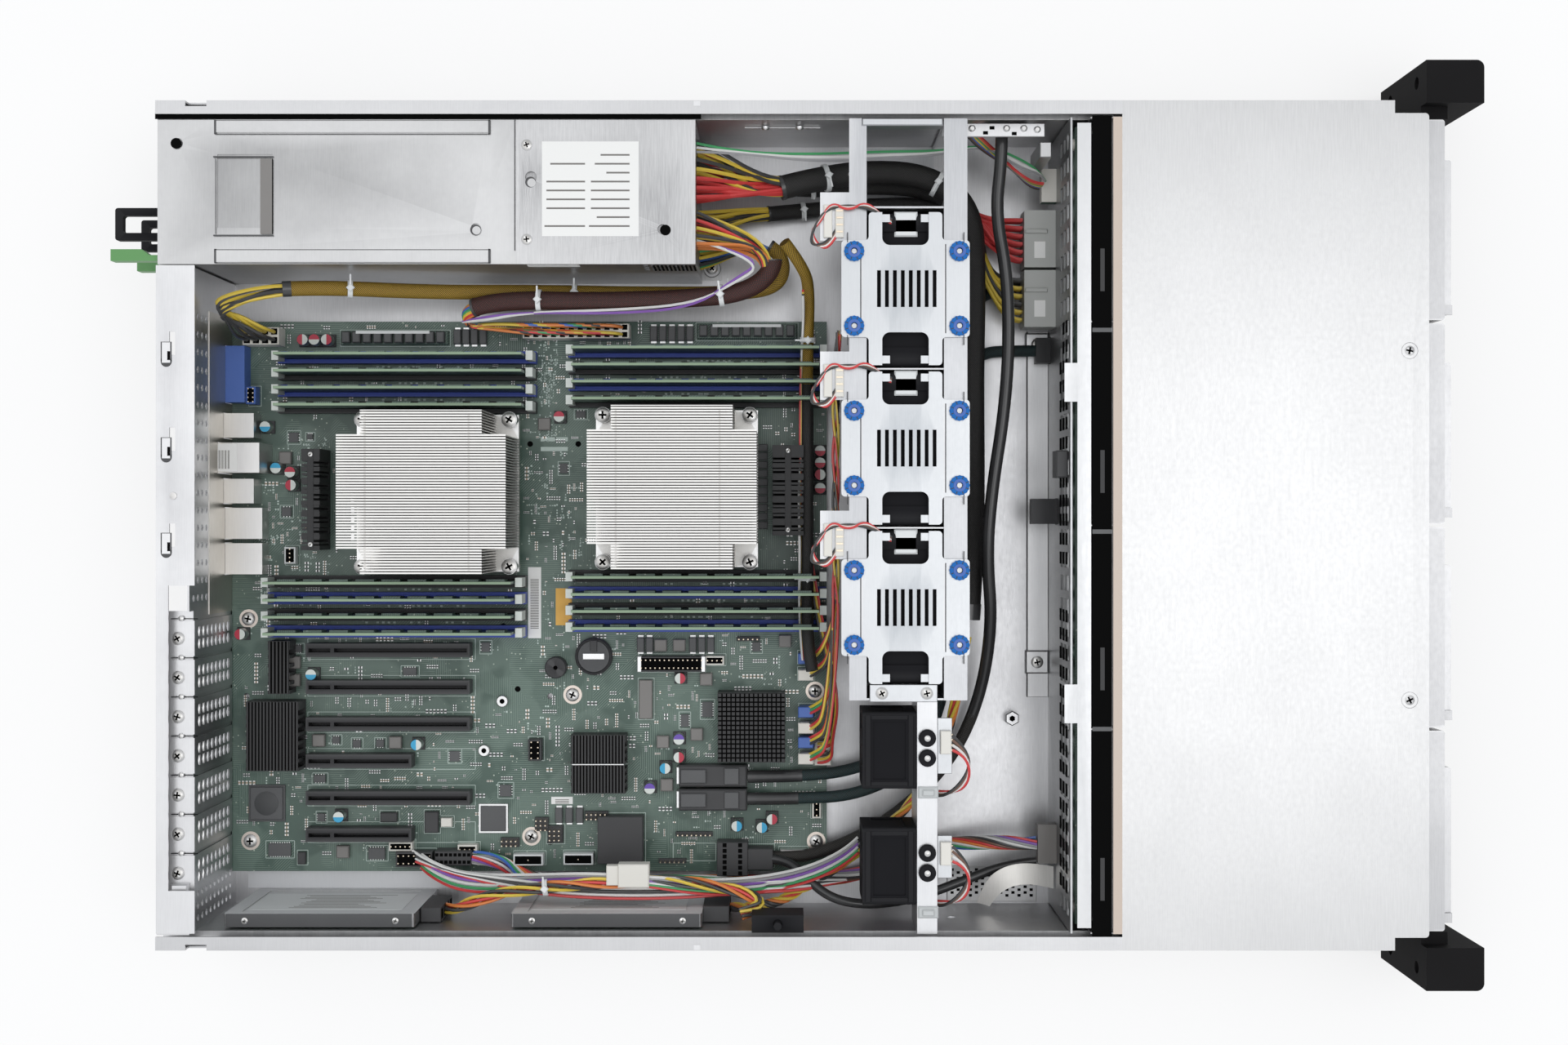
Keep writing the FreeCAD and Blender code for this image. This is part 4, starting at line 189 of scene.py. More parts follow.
def moulded_group():
    """Moulded plastic: a fine pebble, slight colour drift and lighter rubbed edges."""
    tree, given, out = group("moulded", [
        ("Color", "Color", (0.1, 0.1, 0.1, 1)), ("Drift", "Float", 0.2), ("Edge", "Float", 0.15),
        ("Grain", "Float", 1500.0)], [("Color", "Color"), ("Roughness", "Float"), ("Height", "Float")])
    place = position(tree)
    pebble = node(tree, "ShaderNodeTexNoise")
    tree.links.new(place, pebble.inputs["Vector"])
    tree.links.new(given.outputs["Grain"], pebble.inputs["Scale"])
    drift = noise(tree, place, 35.0, 3.0)
    geometry = node(tree, "ShaderNodeNewGeometry")
    edge = ramp(tree, geometry.outputs["Pointiness"], 0.52, 0.62)
    lifted = mixed(tree, 1.0, (0, 0, 0), (0.12, 0.12, 0.12))
    lifted.node.blend_type = "SCREEN"
    tree.links.new(given.outputs["Color"], lifted.node.inputs[6])
    lighten = math_node(tree, "ADD", math_node(tree, "MULTIPLY", drift, given.outputs["Drift"]),
                        math_node(tree, "MULTIPLY", edge, given.outputs["Edge"]), clamp=True)
    tree.links.new(mixed(tree, lighten, given.outputs["Color"], lifted), out.inputs["Color"])
    rough = math_node(tree, "MULTIPLY_ADD", pebble.outputs[0], 0.2)
    rough.node.inputs[2].default_value = 0.38
    tree.links.new(rough, out.inputs["Roughness"])
    tree.links.new(pebble.outputs[0], out.inputs["Height"])
    return tree


def braid_group():
    """Braided sleeve over a cable, worked out from metres along and round it."""
    tree, given, out = group("braid", [
        ("Yarn", "Color", (0.02, 0.02, 0.02, 1)), ("Tracer", "Color", (0.02, 0.02, 0.02, 1)),
        ("Pitch", "Float", 900.0)], [("Color", "Color"), ("Height", "Float")])
    split = node(tree, "ShaderNodeSeparateXYZ")
    tree.links.new(node(tree, "ShaderNodeTexCoord").outputs["UV"], split.inputs[0])
    waves = []
    for sign in (1, -1):
        slant = math_node(tree, "MULTIPLY_ADD", split.outputs[1], sign * 1.0)
        tree.links.new(split.outputs[0], slant.node.inputs[2])
        phase = math_node(tree, "MULTIPLY", slant, given.outputs["Pitch"])
        waves.append(math_node(tree, "SINE", math_node(tree, "MULTIPLY", phase, 2 * math.pi)))
    height = math_node(tree, "MAXIMUM", waves[0], waves[1])
    which = ramp(tree, math_node(tree, "SUBTRACT", waves[0], waves[1]), 0.9, 1.4)
    gap = ramp(tree, height, -0.1, 0.5)
    yarn = mixed(tree, which, given.outputs["Yarn"], given.outputs["Tracer"])
    tree.links.new(mixed(tree, gap, (0.002, 0.002, 0.002), yarn), out.inputs["Color"])
    tree.links.new(height, out.inputs["Height"])
    return tree


def traces_group():
    """Circuit board: solder mask over runs of traces, rows of vias and a few ground areas."""
    tree, given, out = group("board_traces", [
        ("Mask", "Color", (0.02, 0.1, 0.06, 1)), ("Trace", "Color", (0.05, 0.2, 0.13, 1))],
        [("Color", "Color"), ("Height", "Float")])
    place = position(tree)
    patch = node(tree, "ShaderNodeTexVoronoi", feature="F1", distance="CHEBYCHEV")
    tree.links.new(place, patch.inputs["Vector"])
    patch.inputs["Scale"].default_value = 38.0
    cell = node(tree, "ShaderNodeSeparateColor")
    tree.links.new(patch.outputs["Color"], cell.inputs[0])
    split = node(tree, "ShaderNodeSeparateXYZ")
    tree.links.new(place, split.inputs[0])
    runs = []
    for x_part, y_part in ((1, 0), (0, 1), (0.707, 0.707)):
        along = math_node(tree, "ADD", math_node(tree, "MULTIPLY", split.outputs[0], x_part),
                          math_node(tree, "MULTIPLY", split.outputs[1], y_part))
        wave = math_node(tree, "SINE", math_node(tree, "MULTIPLY", along, 2 * math.pi / 0.0011))
        runs.append(ramp(tree, wave, 0.2, 0.6))
    pick = math_node(tree, "GREATER_THAN", cell.outputs[0], 0.45)
    straight = math_node(tree, "ADD", math_node(tree, "MULTIPLY", runs[0], pick),
                         math_node(tree, "MULTIPLY", runs[1], math_node(tree, "SUBTRACT", 1.0, pick)))
    slanted = math_node(tree, "GREATER_THAN", cell.outputs[1], 0.7)
    lines = math_node(tree, "ADD", math_node(tree, "MULTIPLY", straight,
                                             math_node(tree, "SUBTRACT", 1.0, slanted)),
                      math_node(tree, "MULTIPLY", runs[2], slanted))
    quiet = ramp(tree, noise(tree, place, 60.0, 2.0), 0.42, 0.5)
    lines = math_node(tree, "MULTIPLY", lines, quiet)
    vias = node(tree, "ShaderNodeTexVoronoi", feature="F1")
    vias.inputs["Scale"].default_value = 330.0
    vias.inputs["Randomness"].default_value = 0.75
    tree.links.new(place, vias.inputs["Vector"])
    spots = math_node(tree, "SUBTRACT", 1.0, ramp(tree, vias.outputs["Distance"], 0.1, 0.16))
    crowd = ramp(tree, noise(tree, place, 90.0, 2.0), 0.5, 0.56)
    spots = math_node(tree, "MULTIPLY", spots, crowd)
    ground = ramp(tree, noise(tree, place, 26.0, 2.0), 0.5, 0.54)
    base = mixed(tree, math_node(tree, "MULTIPLY", ground, 0.35), given.outputs["Mask"],
                 given.outputs["Trace"])
    traced = mixed(tree, math_node(tree, "MULTIPLY", lines, 0.75), base, given.outputs["Trace"])
    tree.links.new(mixed(tree, math_node(tree, "MULTIPLY", spots, 0.85), traced, (0.55, 0.62, 0.52)),
                   out.inputs["Color"])
    tree.links.new(lines, out.inputs["Height"])
    return tree


GROUPS = {
    "sheet": sheet_metal_group(), "moulded": moulded_group(), "braid": braid_group(),
    "traces": traces_group(),
}


# ---------------------------------------------------------------- materials

def finish(name, group_name, values, metallic=0.0, roughness=None, bump=0.1, depth=0.0002, **sockets):
    """A material whose colour, roughness and bump come from one of the shader groups."""
    made = bpy.data.materials.new(name)
    made.use_nodes = True
    tree = made.node_tree
    shader = tree.nodes["Principled BSDF"]
    shader.inputs["Metallic"].default_value = metallic
    effect = tree.nodes.new("ShaderNodeGroup")
    effect.node_tree = GROUPS[group_name]
    for key, value in values.items():
        effect.inputs[key].default_value = (*value, 1) if isinstance(value, tuple) else value
    tree.links.new(effect.outputs["Color"], shader.inputs["Base Color"])
    if roughness is None:
        tree.links.new(effect.outputs["Roughness"], shader.inputs["Roughness"])
    else:
        shader.inputs["Roughness"].default_value = roughness
    relief = node(tree, "ShaderNodeBump")
    relief.inputs["Strength"].default_value = bump
    relief.inputs["Distance"].default_value = depth
    tree.links.new(effect.outputs["Height"], relief.inputs["Height"])
    tree.links.new(relief.outputs[0], shader.inputs["Normal"])
    for key, value in sockets.items():
        shader.inputs[key.replace("_", " ")].default_value = value
    return made


def metal(name, color, cloud=0.5, grain=0.5, edge=0.3, **more):
    """A rolled or cast metal."""
    values = {"Color": color, "Cloud": cloud, "Grain": grain, "Edge": edge}
    return finish(name, "sheet", values, **{"metallic": 1.0, **more})


def plastic(name, color, drift=0.3, edge=0.3, grain=1500.0, **more):
    """A moulded, printed or coated surface."""
    return finish(name, "moulded", {"Color": color, "Drift": drift, "Edge": edge, "Grain": grain}, **more)


def braid(name, yarn, tracer):
    """A braided sleeve in two yarns."""
    return finish(name, "braid", {"Yarn": yarn, "Tracer": tracer}, roughness=0.5, bump=0.6)


ZINC = metal("zinc_sheet", (0.6, 0.6, 0.61), cloud=0.5, grain=0.35)
RAIL = metal("rail_sheet", (0.36, 0.36, 0.37), cloud=0.4, grain=0.35)
CAGE = metal("supply_cage", (0.3, 0.3, 0.3), cloud=0.6, grain=0.3)
COVER = metal("cover_sheet", (0.33, 0.33, 0.33), cloud=0.25, grain=0.5)
BEAM = metal("beam_sheet", (0.38, 0.39, 0.4), cloud=0.15, grain=0.2)
WALL = metal("wall_sheet", (0.15, 0.155, 0.16), cloud=0.5, grain=0.3)
NICKEL = metal("nickel_sheet", (0.55, 0.5, 0.41), cloud=0.5, grain=0.4)
PORT = metal("port_shell", (0.66, 0.64, 0.61), cloud=0.4, grain=0.3)
CASE = metal("supply_case", (0.27, 0.27, 0.275), cloud=0.6, grain=0.9)
FAN_PLATE = metal("fan_plate", (0.31, 0.34, 0.37), cloud=0.3, grain=0.25)
FINS = metal("bare_fins", (0.8, 0.775, 0.72), cloud=0.1, grain=0.3, metallic=0.7)
DRIVE = metal("drive_casting", (0.5, 0.5, 0.5), cloud=0.4, grain=0.4)
SCREW = metal("screw", (0.52, 0.5, 0.46), cloud=0.2, grain=0.2, edge=0.8)
TIN = metal("tinned_leads", (0.75, 0.75, 0.74), cloud=0.2, grain=0.1)
GOLD = metal("gilt", (0.78, 0.55, 0.25), cloud=0.2, grain=0.1)
EAR = plastic("ear_coat", (0.005, 0.0045, 0.005), drift=0.02, edge=0.05, grain=2600.0, roughness=0.75,
              Specular_IOR_Level=0.08)
BLACK_PLASTIC = plastic("black_plastic", (0.006, 0.006, 0.008), drift=0.02, edge=0.1, roughness=0.6,
                        Specular_IOR_Level=0.12)
SOCKET_BLACK = plastic("socket_black", (0.02, 0.02, 0.022), drift=0.1, Specular_IOR_Level=0.3)
SOCKET_BLUE = plastic("socket_blue", (0.02, 0.06, 0.42), drift=0.1)
LATCH_WHITE = plastic("latch_white", (0.66, 0.7, 0.66))
GREEN_PLASTIC = plastic("green_plastic", (0.06, 0.26, 0.045))
FOAM = plastic("tan_foam", (0.56, 0.46, 0.38), grain=900.0, bump=0.6)
BLUE_RUBBER = plastic("blue_rubber", (0.001, 0.13, 0.45), drift=0.0, edge=0.05, Specular_IOR_Level=0.25)
BRACKET = metal("bracket_sheet", (0.45, 0.46, 0.48), cloud=0.4, grain=0.35)
BLACK_SINK = plastic("black_anodised", (0.01, 0.01, 0.011), drift=0.05, grain=3000.0, Specular_IOR_Level=0.2)
BOARD = finish("circuit_board", "traces", {"Mask": (0.055, 0.1, 0.078), "Trace": (0.17, 0.24, 0.2)},
               roughness=0.35, bump=0.3, depth=0.00005)
SLEEVE = braid("black_braid", (0.02, 0.02, 0.02), (0.05, 0.045, 0.04))
CAP_RED = plastic("capacitor_red", (0.45, 0.01, 0.04))
CAP_BLUE = plastic("capacitor_blue", (0.02, 0.35, 0.6))
CAP_VIOLET = plastic("capacitor_violet", (0.12, 0.05, 0.4))
CHIP = plastic("chip_package", (0.035, 0.037, 0.04))
CHIP_EDGE = plastic("chip_substrate", (0.02, 0.022, 0.024))
CHOKE = plastic("choke", (0.16, 0.15, 0.14))
RESISTOR = plastic("resistor", (0.03, 0.03, 0.035))
CERAMIC = plastic("ceramic", (0.35, 0.27, 0.18))
PORT_BLUE = plastic("port_blue", (0.02, 0.1, 0.42))
PLUG_WHITE = plastic("plug_white", (0.72, 0.7, 0.64))
PLUG_GREY = plastic("plug_grey", (0.42, 0.43, 0.41), drift=0.5)
CARRIER = metal("carrier_rail", (0.3, 0.3, 0.31), cloud=0.4, grain=0.4)
FIN_BASE = metal("sink_base", (0.33, 0.29, 0.24), cloud=0.4, grain=0.3)
DARK_SHEET = metal("dark_sheet", (0.22, 0.22, 0.22), cloud=0.5, grain=0.3)
DRIVE_FACE = plastic("drive_label", (0.62, 0.63, 0.64), grain=300.0)
LABEL_WHITE = plastic("label_white", (0.82, 0.82, 0.8), grain=500.0)
LABEL_PALE = plastic("label_pale", (0.72, 0.74, 0.74), grain=300.0)
LABEL_YELLOW = plastic("label_yellow", (0.8, 0.42, 0.03), grain=500.0)
MODULE_EDGE = plastic("module_edge", (0.22, 0.32, 0.2), grain=900.0)
TIE = plastic("zip_tie", (0.78, 0.8, 0.8), grain=900.0)
CLEAR = plastic("clear_clip", (0.5, 0.52, 0.52), grain=900.0)
HOLE = plastic("hole_shade", (0.003, 0.003, 0.003), drift=0.0, edge=0.0, roughness=0.9,
               Specular_IOR_Level=0.05)
GROOVE = plastic("groove_shade", (0.06, 0.06, 0.062), roughness=0.8, Specular_IOR_Level=0.1)
SILK = plastic("silk_screen", (0.5, 0.6, 0.55), grain=900.0)
COPPER = metal("screw_ring", (0.5, 0.36, 0.24), cloud=0.2, grain=0.2)
# Painted light: a brighter floor sheet that stands in for light the left wall throws onto the tray floor.
PAINTED_FLOOR_LIGHT = metal("bright_floor", (0.82, 0.84, 0.87), cloud=0.2, grain=0.2, metallic=0.3)
GLOSS_BLACK = plastic("glossy_jacket", (0.01, 0.01, 0.011), roughness=0.22, bump=0.05)
WIRE = {name: plastic("wire_" + name, colour, grain=400.0, roughness=0.32, bump=0.05) for name, colour in (
    ("red", (0.62, 0.02, 0.02)), ("yellow", (0.72, 0.52, 0.03)), ("black", (0.012, 0.012, 0.013)),
    ("orange", (0.72, 0.2, 0.02)), ("green", (0.03, 0.32, 0.1)), ("blue", (0.03, 0.13, 0.5)),
    ("white", (0.72, 0.72, 0.7)), ("grey", (0.3, 0.3, 0.31)), ("purple", (0.22, 0.08, 0.42)),
    ("brown", (0.14, 0.06, 0.03)))}


BRAIDS = {
    "black": SLEEVE,
    "gold": braid("gold_braid", (0.5, 0.31, 0.03), (0.012, 0.011, 0.01)),
    "mixed": braid("mixed_braid", (0.02, 0.022, 0.022), (0.3, 0.05, 0.03)),
    "teal": braid("teal_braid", (0.02, 0.02, 0.02), (0.03, 0.14, 0.15)),
    "grey": braid("grey_braid", (0.05, 0.045, 0.04), (0.015, 0.015, 0.015)),
}

# Finishes of the nodes, by the start of their names; the others are plain zinc sheet.
NODE_FINISH = {
    "front_cover": COVER, "cover_gasket": FOAM, "io_shield": NICKEL, "io_ports": PORT,
    "power_distribution_box": CASE, "psu_module": CASE, "psu_cage": CAGE, "psu_latch": GREEN_PLASTIC,
    "backplane_wall": WALL, "backplane_board": BOARD, "drive_carrier": DRIVE, "drive_lever": CARRIER,
    "boot_drives": DRIVE, "fan_cage": BRACKET, "fan_module": FAN_PLATE, "fan_rotor": BLACK_PLASTIC,
    "aux_fan_bracket": BRACKET, "aux_fan_frames": BLACK_PLASTIC, "aux_fan_rotor": BLACK_PLASTIC,
    "ear_left": EAR, "ear_right": EAR, "power_button": BLACK_PLASTIC, "intrusion_switch": BLACK_PLASTIC,
    "intrusion_plunger": BLACK_PLASTIC, "motherboard": BOARD, "board_heatsinks": BLACK_SINK,
    "cpu_sockets": NICKEL, "cpu_heatsink": FINS, "memory_sockets": SOCKET_BLACK, "memory_modules": BOARD,
    "expansion_sockets": SOCKET_BLACK, "power_harness": SLEEVE, "data_cables": SLEEVE,
}
for name, body in nodes.items():
    chosen = [coat for start, coat in NODE_FINISH.items() if name.startswith(start)] or [ZINC]
    body.data.materials.clear()
    body.data.materials.append(chosen[0])


def paint(name, *rules):
    """Gives faces of a node other finishes: each rule says yes or no from a face's middle (mm) and normal."""
    body = nodes[name]
    first = len(body.data.materials)
    for chosen, _ in rules:
        body.data.materials.append(chosen)
    turn = body.matrix_world.to_3x3()
    for face in body.data.polygons:
        middle = body.matrix_world @ face.center / MM
        normal = turn @ face.normal
        for number, (_, wanted) in enumerate(rules):
            if wanted(middle, normal):
                face.material_index = first + number


def in_blue_socket(place):
    """Whether a place is on a blue memory socket: the odd ones on the right, the even ones on the left."""
    rear = place.y > BANK_SPLIT
    if place.x > 0:
        return round(((RIGHT_REAR if rear else RIGHT_FRONT) - place.x) / MEMORY_PITCH) % 2 == 0
    return round(((LEFT_REAR if rear else LEFT_FRONT) - place.x) / MEMORY_PITCH) % 2 == 1


def in_latch(place):
    """Whether a place is on one of the latches at the memory sockets' ends."""
    middles = (FRONT_BANKS_Y, RIGHT_REAR_Y if place.x > 0 else LEFT_REAR_Y)
    return place.z > 18 and any(abs(abs(place.y - y) - LATCH_OUT) < LATCH_REACH for y in middles)


def paint_nodes():
    """Faces of one node that are another colour or metal."""
    paint("memory_sockets",
          (SOCKET_BLUE, lambda spot, way: in_blue_socket(spot)),
          (LATCH_WHITE, lambda spot, way: in_latch(spot)))
    paint("memory_modules", (CHIP, lambda spot, way: abs(way.x) > 0.9 and spot.z > 16 and chip_face(spot)),
          (MODULE_EDGE, lambda spot, way: way.z > 0.9 and spot.z > 44))
    paint("chassis_tray", (RAIL, lambda spot, way: spot.z > 78))
    paint("io_ports", (PORT_BLUE, lambda spot, way: 67 < spot.x < 99))
    for level in ("lower", "upper"):
        paint("psu_module_" + level, (BLACK_PLASTIC, lambda spot, way: spot.y > 328.7))
    for name in nodes:
        if name.startswith("drive_carrier"):
            paint(name, (CARRIER, lambda spot, way: in_rail(spot)))
        if name.startswith("fan_module"):
            paint(name, (BLACK_PLASTIC, lambda spot, way: spot.z < 82.3 and -91 < spot.y < -26),
                  (BLUE_RUBBER, lambda spot, way: in_grommet(spot)))
    paint("backplane_wall", (BEAM, lambda spot, way: spot.z > 85.9))
    paint("backplane_board",
          (SOCKET_BLACK, lambda spot, way: spot.y < -148.3),
          (PLUG_WHITE, lambda spot, way: spot.y > -146 and spot.x > 176),
          (PLUG_GREY, lambda spot, way: spot.y > -146 and 105 < spot.x < 173),
          (SOCKET_BLACK, lambda spot, way: spot.y > -146 and -20 < spot.x < 142 and spot.z < 45 and not
           (105 < spot.x < 173 and spot.z > 12)),
          (CHOKE, lambda spot, way: spot.y > -146 and spot.x < -160))
    for level in ("rear", "front"):
        paint("cpu_heatsink_" + level, (SCREW, lambda spot, way: spot.z < 33 and corner_screw(spot)),
              (FIN_BASE, lambda spot, way: spot.z < 23))
    paint("slot_covers",
          (DARK_SHEET, lambda spot, way: abs(way.y) < 0.5 and spot.z < 70 and abs(way.z) > 0.2))
    paint("boot_drives", (CHIP, lambda spot, way: way.z > 0.9 and spot.z > 60),
          (DRIVE_FACE, lambda spot, way: way.x > 0.9), (BOARD, lambda spot, way: way.x < -0.9))


def chip_face(spot):
    """Whether a memory module's face stands out over one of its chips."""
    for centre in memory_lines():
        if abs(spot.x - centre) < 2.4:
            return abs(spot.x - centre) > 0.75
    return False


def memory_lines():
    """Middles of all the memory sockets across the server."""
    return [start - step * MEMORY_PITCH for start in (RIGHT_REAR, RIGHT_FRONT, LEFT_REAR, LEFT_FRONT)
            for step in range(4)]


def in_rail(spot):
    """Whether a place is on a carrier's rails, bezel or lever and not on its drive."""
    middle = (round(spot.x / CARRIER_PITCH + 0.5) - 0.5) * CARRIER_PITCH
    return abs(spot.x - middle) > 50.9 or spot.y < -305


def in_grommet(spot):
    """Whether a place is on one of a fan module's rubber grommets."""
    near = any(math.hypot(spot.x - FIRST_FAN_X + number * FAN_PITCH - side * GROMMET_OUT, spot.y - y) < 6.5
               for number in range(3) for side in (-1, 1) for y in GROMMET_ROWS)
    return near and not 84.9 < spot.z < 86.05


def corner_screw(spot):
    """Whether a place is on one of the posts at a heat sink's corners."""
    return any(abs(abs(spot.x - x) - SINK_SCREW) < 5.5 and abs(abs(spot.y - y) - SINK_SCREW) < 5.5
               for x, y in SINK_CENTRES)


# ---------------------------------------------------------------- piece making

class Piece:
    """Gathers the faces of one piece in millimetres, each with its finish, and rides it on a body."""

    def __init__(self, name, body="chassis", slot="black_plastic"):
        self.name, self.body, self.slot = name, body, slot
        self.points, self.faces, self.finishes, self.indices, self.around = [], [], [], [], []

    def add(self, points, faces, finish, around=None):
        """Adds points and faces in one finish; around holds each corner's place along and round a tube."""
        if finish not in self.finishes:
            self.finishes.append(finish)
        first = len(self.points)
        self.points += [Vector(point) * MM for point in points]
        self.faces += [[first + corner for corner in face] for face in faces]
        self.indices += [self.finishes.index(finish)] * len(faces)
        self.around += around or [[(0, 0)] * len(face) for face in faces]

    def rings(self, rings, finish, caps=(True, True), around=None):
        """Skins a row of closed rings that have as many points each."""
        count = len(rings[0])
        points = [point for ring in rings for point in ring]
        faces, marks = [], []
        for level in range(len(rings) - 1):
            for side in range(count):
                nearby = (side + 1) % count
                faces.append([level * count + side, level * count + nearby,
                              (level + 1) * count + nearby, (level + 1) * count + side])
                if around:
                    low, high = around[0][level], around[0][level + 1]
                    left, right = around[1] * side / count, around[1] * (side + 1) / count
                    marks.append([(low, left), (low, right), (high, right), (high, left)])
        ends = []
        if caps[0]:
            ends.append(list(reversed(range(count))))
        if caps[1]:
            ends.append([(len(rings) - 1) * count + side for side in range(count)])
        if around:
            marks += [[(0, 0)] * count for _ in ends]
        self.add(points, faces + ends, finish, marks or None)

    def block(self, centre, size, finish, edge=0.0, turn=0.0, top=None):
        """A box standing on centre, its upper edges cut back by edge; top gives the upper face a finish."""
        spin = Matrix.Rotation(math.radians(turn), 3, "Z")
        x, y, low = centre
        wide, deep, high = size[0] / 2, size[1] / 2, size[2]
        levels = [(0, 0), (high - edge, 0), (high, edge)] if edge else [(0, 0), (high, 0)]
        rings = []
        for level, inset in levels:
            corners = [(-wide + inset, -deep + inset), (wide - inset, -deep + inset),
                       (wide - inset, deep - inset), (-wide + inset, deep - inset)]
            rings.append([spin @ Vector((*corner, 0)) + Vector((x, y, low + level)) for corner in corners])
        self.rings(rings, finish, (True, top is None))
        if top is not None:
            self.add(rings[-1], [[0, 1, 2, 3]], top)

    def turned(self, centre, outline, finish, axis=(0, 0, 1), sides=20, caps=(True, True)):
        """A turned form: outline lists (radius, height) along the axis from centre."""
        lay = Vector(axis).to_track_quat("Z", "Y")
        rings = []
        for radius, level in outline:
            angles = [2 * math.pi * side / sides for side in range(sides)]
            rings.append([lay @ Vector((radius * math.cos(angle), radius * math.sin(angle),
                                        level)) + Vector(centre)
                          for angle in angles])
        self.rings(rings, finish, caps)

    def tube(self, line, radius, finish, sides=8, caps=(True, True)):
        """A round tube along a line of points, with metres along and round it for the braid."""
        rings, along = [], [0.0]
        side = None
        for number, point in enumerate(line):
            ahead = (line[min(number + 1, len(line) - 1)] - line[max(number - 1, 0)]).normalized()
            if side is None:
                side = ahead.orthogonal().normalized()
            side = (side - ahead * side.dot(ahead)).normalized()
            other = ahead.cross(side)
            angles = [2 * math.pi * step / sides for step in range(sides)]
            rings.append([point + (side * math.cos(angle) + other * math.sin(angle)) * radius
                          for angle in angles])
            if number:
                along.append(along[-1] + (point - line[number - 1]).length * MM)
        self.rings(rings, finish, caps, (along, 2 * math.pi * radius * MM))

    def done(self, smooth=35):
        """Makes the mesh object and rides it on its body."""
        mesh = bpy.data.meshes.new(self.name)
        mesh.from_pydata(self.points, [], self.faces)
        for finish_used in self.finishes:
            mesh.materials.append(finish_used)
        mesh.polygons.foreach_set("material_index", self.indices)
        marks = mesh.uv_layers.new(name="around")
        marks.data.foreach_set("uv", [value for face in self.around for corner in face for value in corner])
        mesh.shade_smooth()
        mesh.set_sharp_from_angle(angle=math.radians(smooth))
        made = bpy.data.objects.new(self.name, mesh)
        bpy.context.scene.collection.objects.link(made)
        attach(made, self.body)
        return made


def smooth_line(points, resolution=6):
    """Points of the smooth spline that has the given points, in millimetres, as its control points."""
    curve = bpy.data.curves.new("route", "CURVE")
    curve.dimensions = "3D"
    curve.resolution_u = resolution
    spline = curve.splines.new("NURBS")
    spline.points.add(len(points) - 1)
    for knot, point in zip(spline.points, points):
        knot.co = (*point, 1)
    spline.order_u = 3
    spline.use_endpoint_u = True
    holder = bpy.data.objects.new("route", curve)
    mesh = bpy.data.meshes.new_from_object(holder)
    line = [vertex.co.copy() for vertex in mesh.vertices]
    bpy.data.objects.remove(holder)
    bpy.data.curves.remove(curve)
    bpy.data.meshes.remove(mesh)
    return line


def strands(line, count, spread, turns):
    """Lines of wires laid round a central line, slowly twisted and a little uneven."""
    side = (line[1] - line[0]).orthogonal().normalized()
    laid = [[] for _ in range(count)]
    for number, point in enumerate(line):
        ahead = (line[min(number + 1, len(line) - 1)] - line[max(number - 1, 0)]).normalized()
        side = (side - ahead * side.dot(ahead)).normalized()
        other = ahead.cross(side)
        for wire in range(count):
            ring = 0 if count > 4 and wire < count // 4 else 1
            part = wire / (count // 4) if ring == 0 else wire / count
            angle = 2 * math.pi * (part + turns * number / len(line))
            reach = spread * (1 if ring else 0.42)
            laid[wire].append(point + (side * math.cos(angle) + other * math.sin(angle)) * reach)
    return laid


# ---------------------------------------------------------------- sheet metal details

def screw(piece, x, y, low, radius=3.0, height=1.3, finish=None, axis=(0, 0, 1)):
    """A low domed screw head with a cross recess."""
    finish = finish or SCREW
    piece.turned((x, y, low), [(radius, 0), (radius, height * 0.45), (radius * 0.78, height * 0.85),
                               (radius * 0.4, height), (0.05, height)], finish, axis=axis, sides=20,
                 caps=(False, True))
    turn = random.uniform(0, math.pi / 2)
    way = Vector(axis)
    side = way.orthogonal().normalized()
    other = way.cross(side)
    for angle in (turn, turn + math.pi / 2):
        along = side * math.cos(angle) + other * math.sin(angle)
        cross = way.cross(along)
        top = Vector((x, y, low)) + way * (height + 0.03)
        long, wide = radius * 0.52, radius * 0.13
        corners = [top - along * long - cross * wide, top + along * long - cross * wide,
                   top + along * long + cross * wide, top - along * long + cross * wide]
        piece.add(corners, [[0, 1, 2, 3]], HOLE)


def knob(piece, x, y, low, high, inner, outer, teeth, finish):
    """A knurled rubber ring."""
    rings = []
    for level, reach in ((low, inner), (low, outer), (high - 0.4, outer), (high, outer - 0.5), (high, inner),
                         (low, inner)):
        ring = []
        for step in range(teeth * 2):
            angle = math.pi * step / teeth
            bite = 0.0 if reach == inner else 0.32 * (step % 2)
            ring.append((x + (reach - bite) * math.cos(angle), y + (reach - bite) * math.sin(angle), level))
        rings.append(ring)
    piece.rings(rings, finish, (False, False))


def share(middle, span, number, count):
    """Middle of one of count equal parts of a span."""
    return middle - span / 2 + span * (number + 0.5) / count


def spots(piece, places, half_x, half_y, level, finish=None):
    """Flat marks just above a face: dark openings, unless another finish is given."""
    for x, y in places:
        corners = [(x - half_x, y - half_y, level), (x + half_x, y - half_y, level),
                   (x + half_x, y + half_y, level), (x - half_x, y + half_y, level)]
        piece.add(corners, [[0, 1, 2, 3]], finish or HOLE)


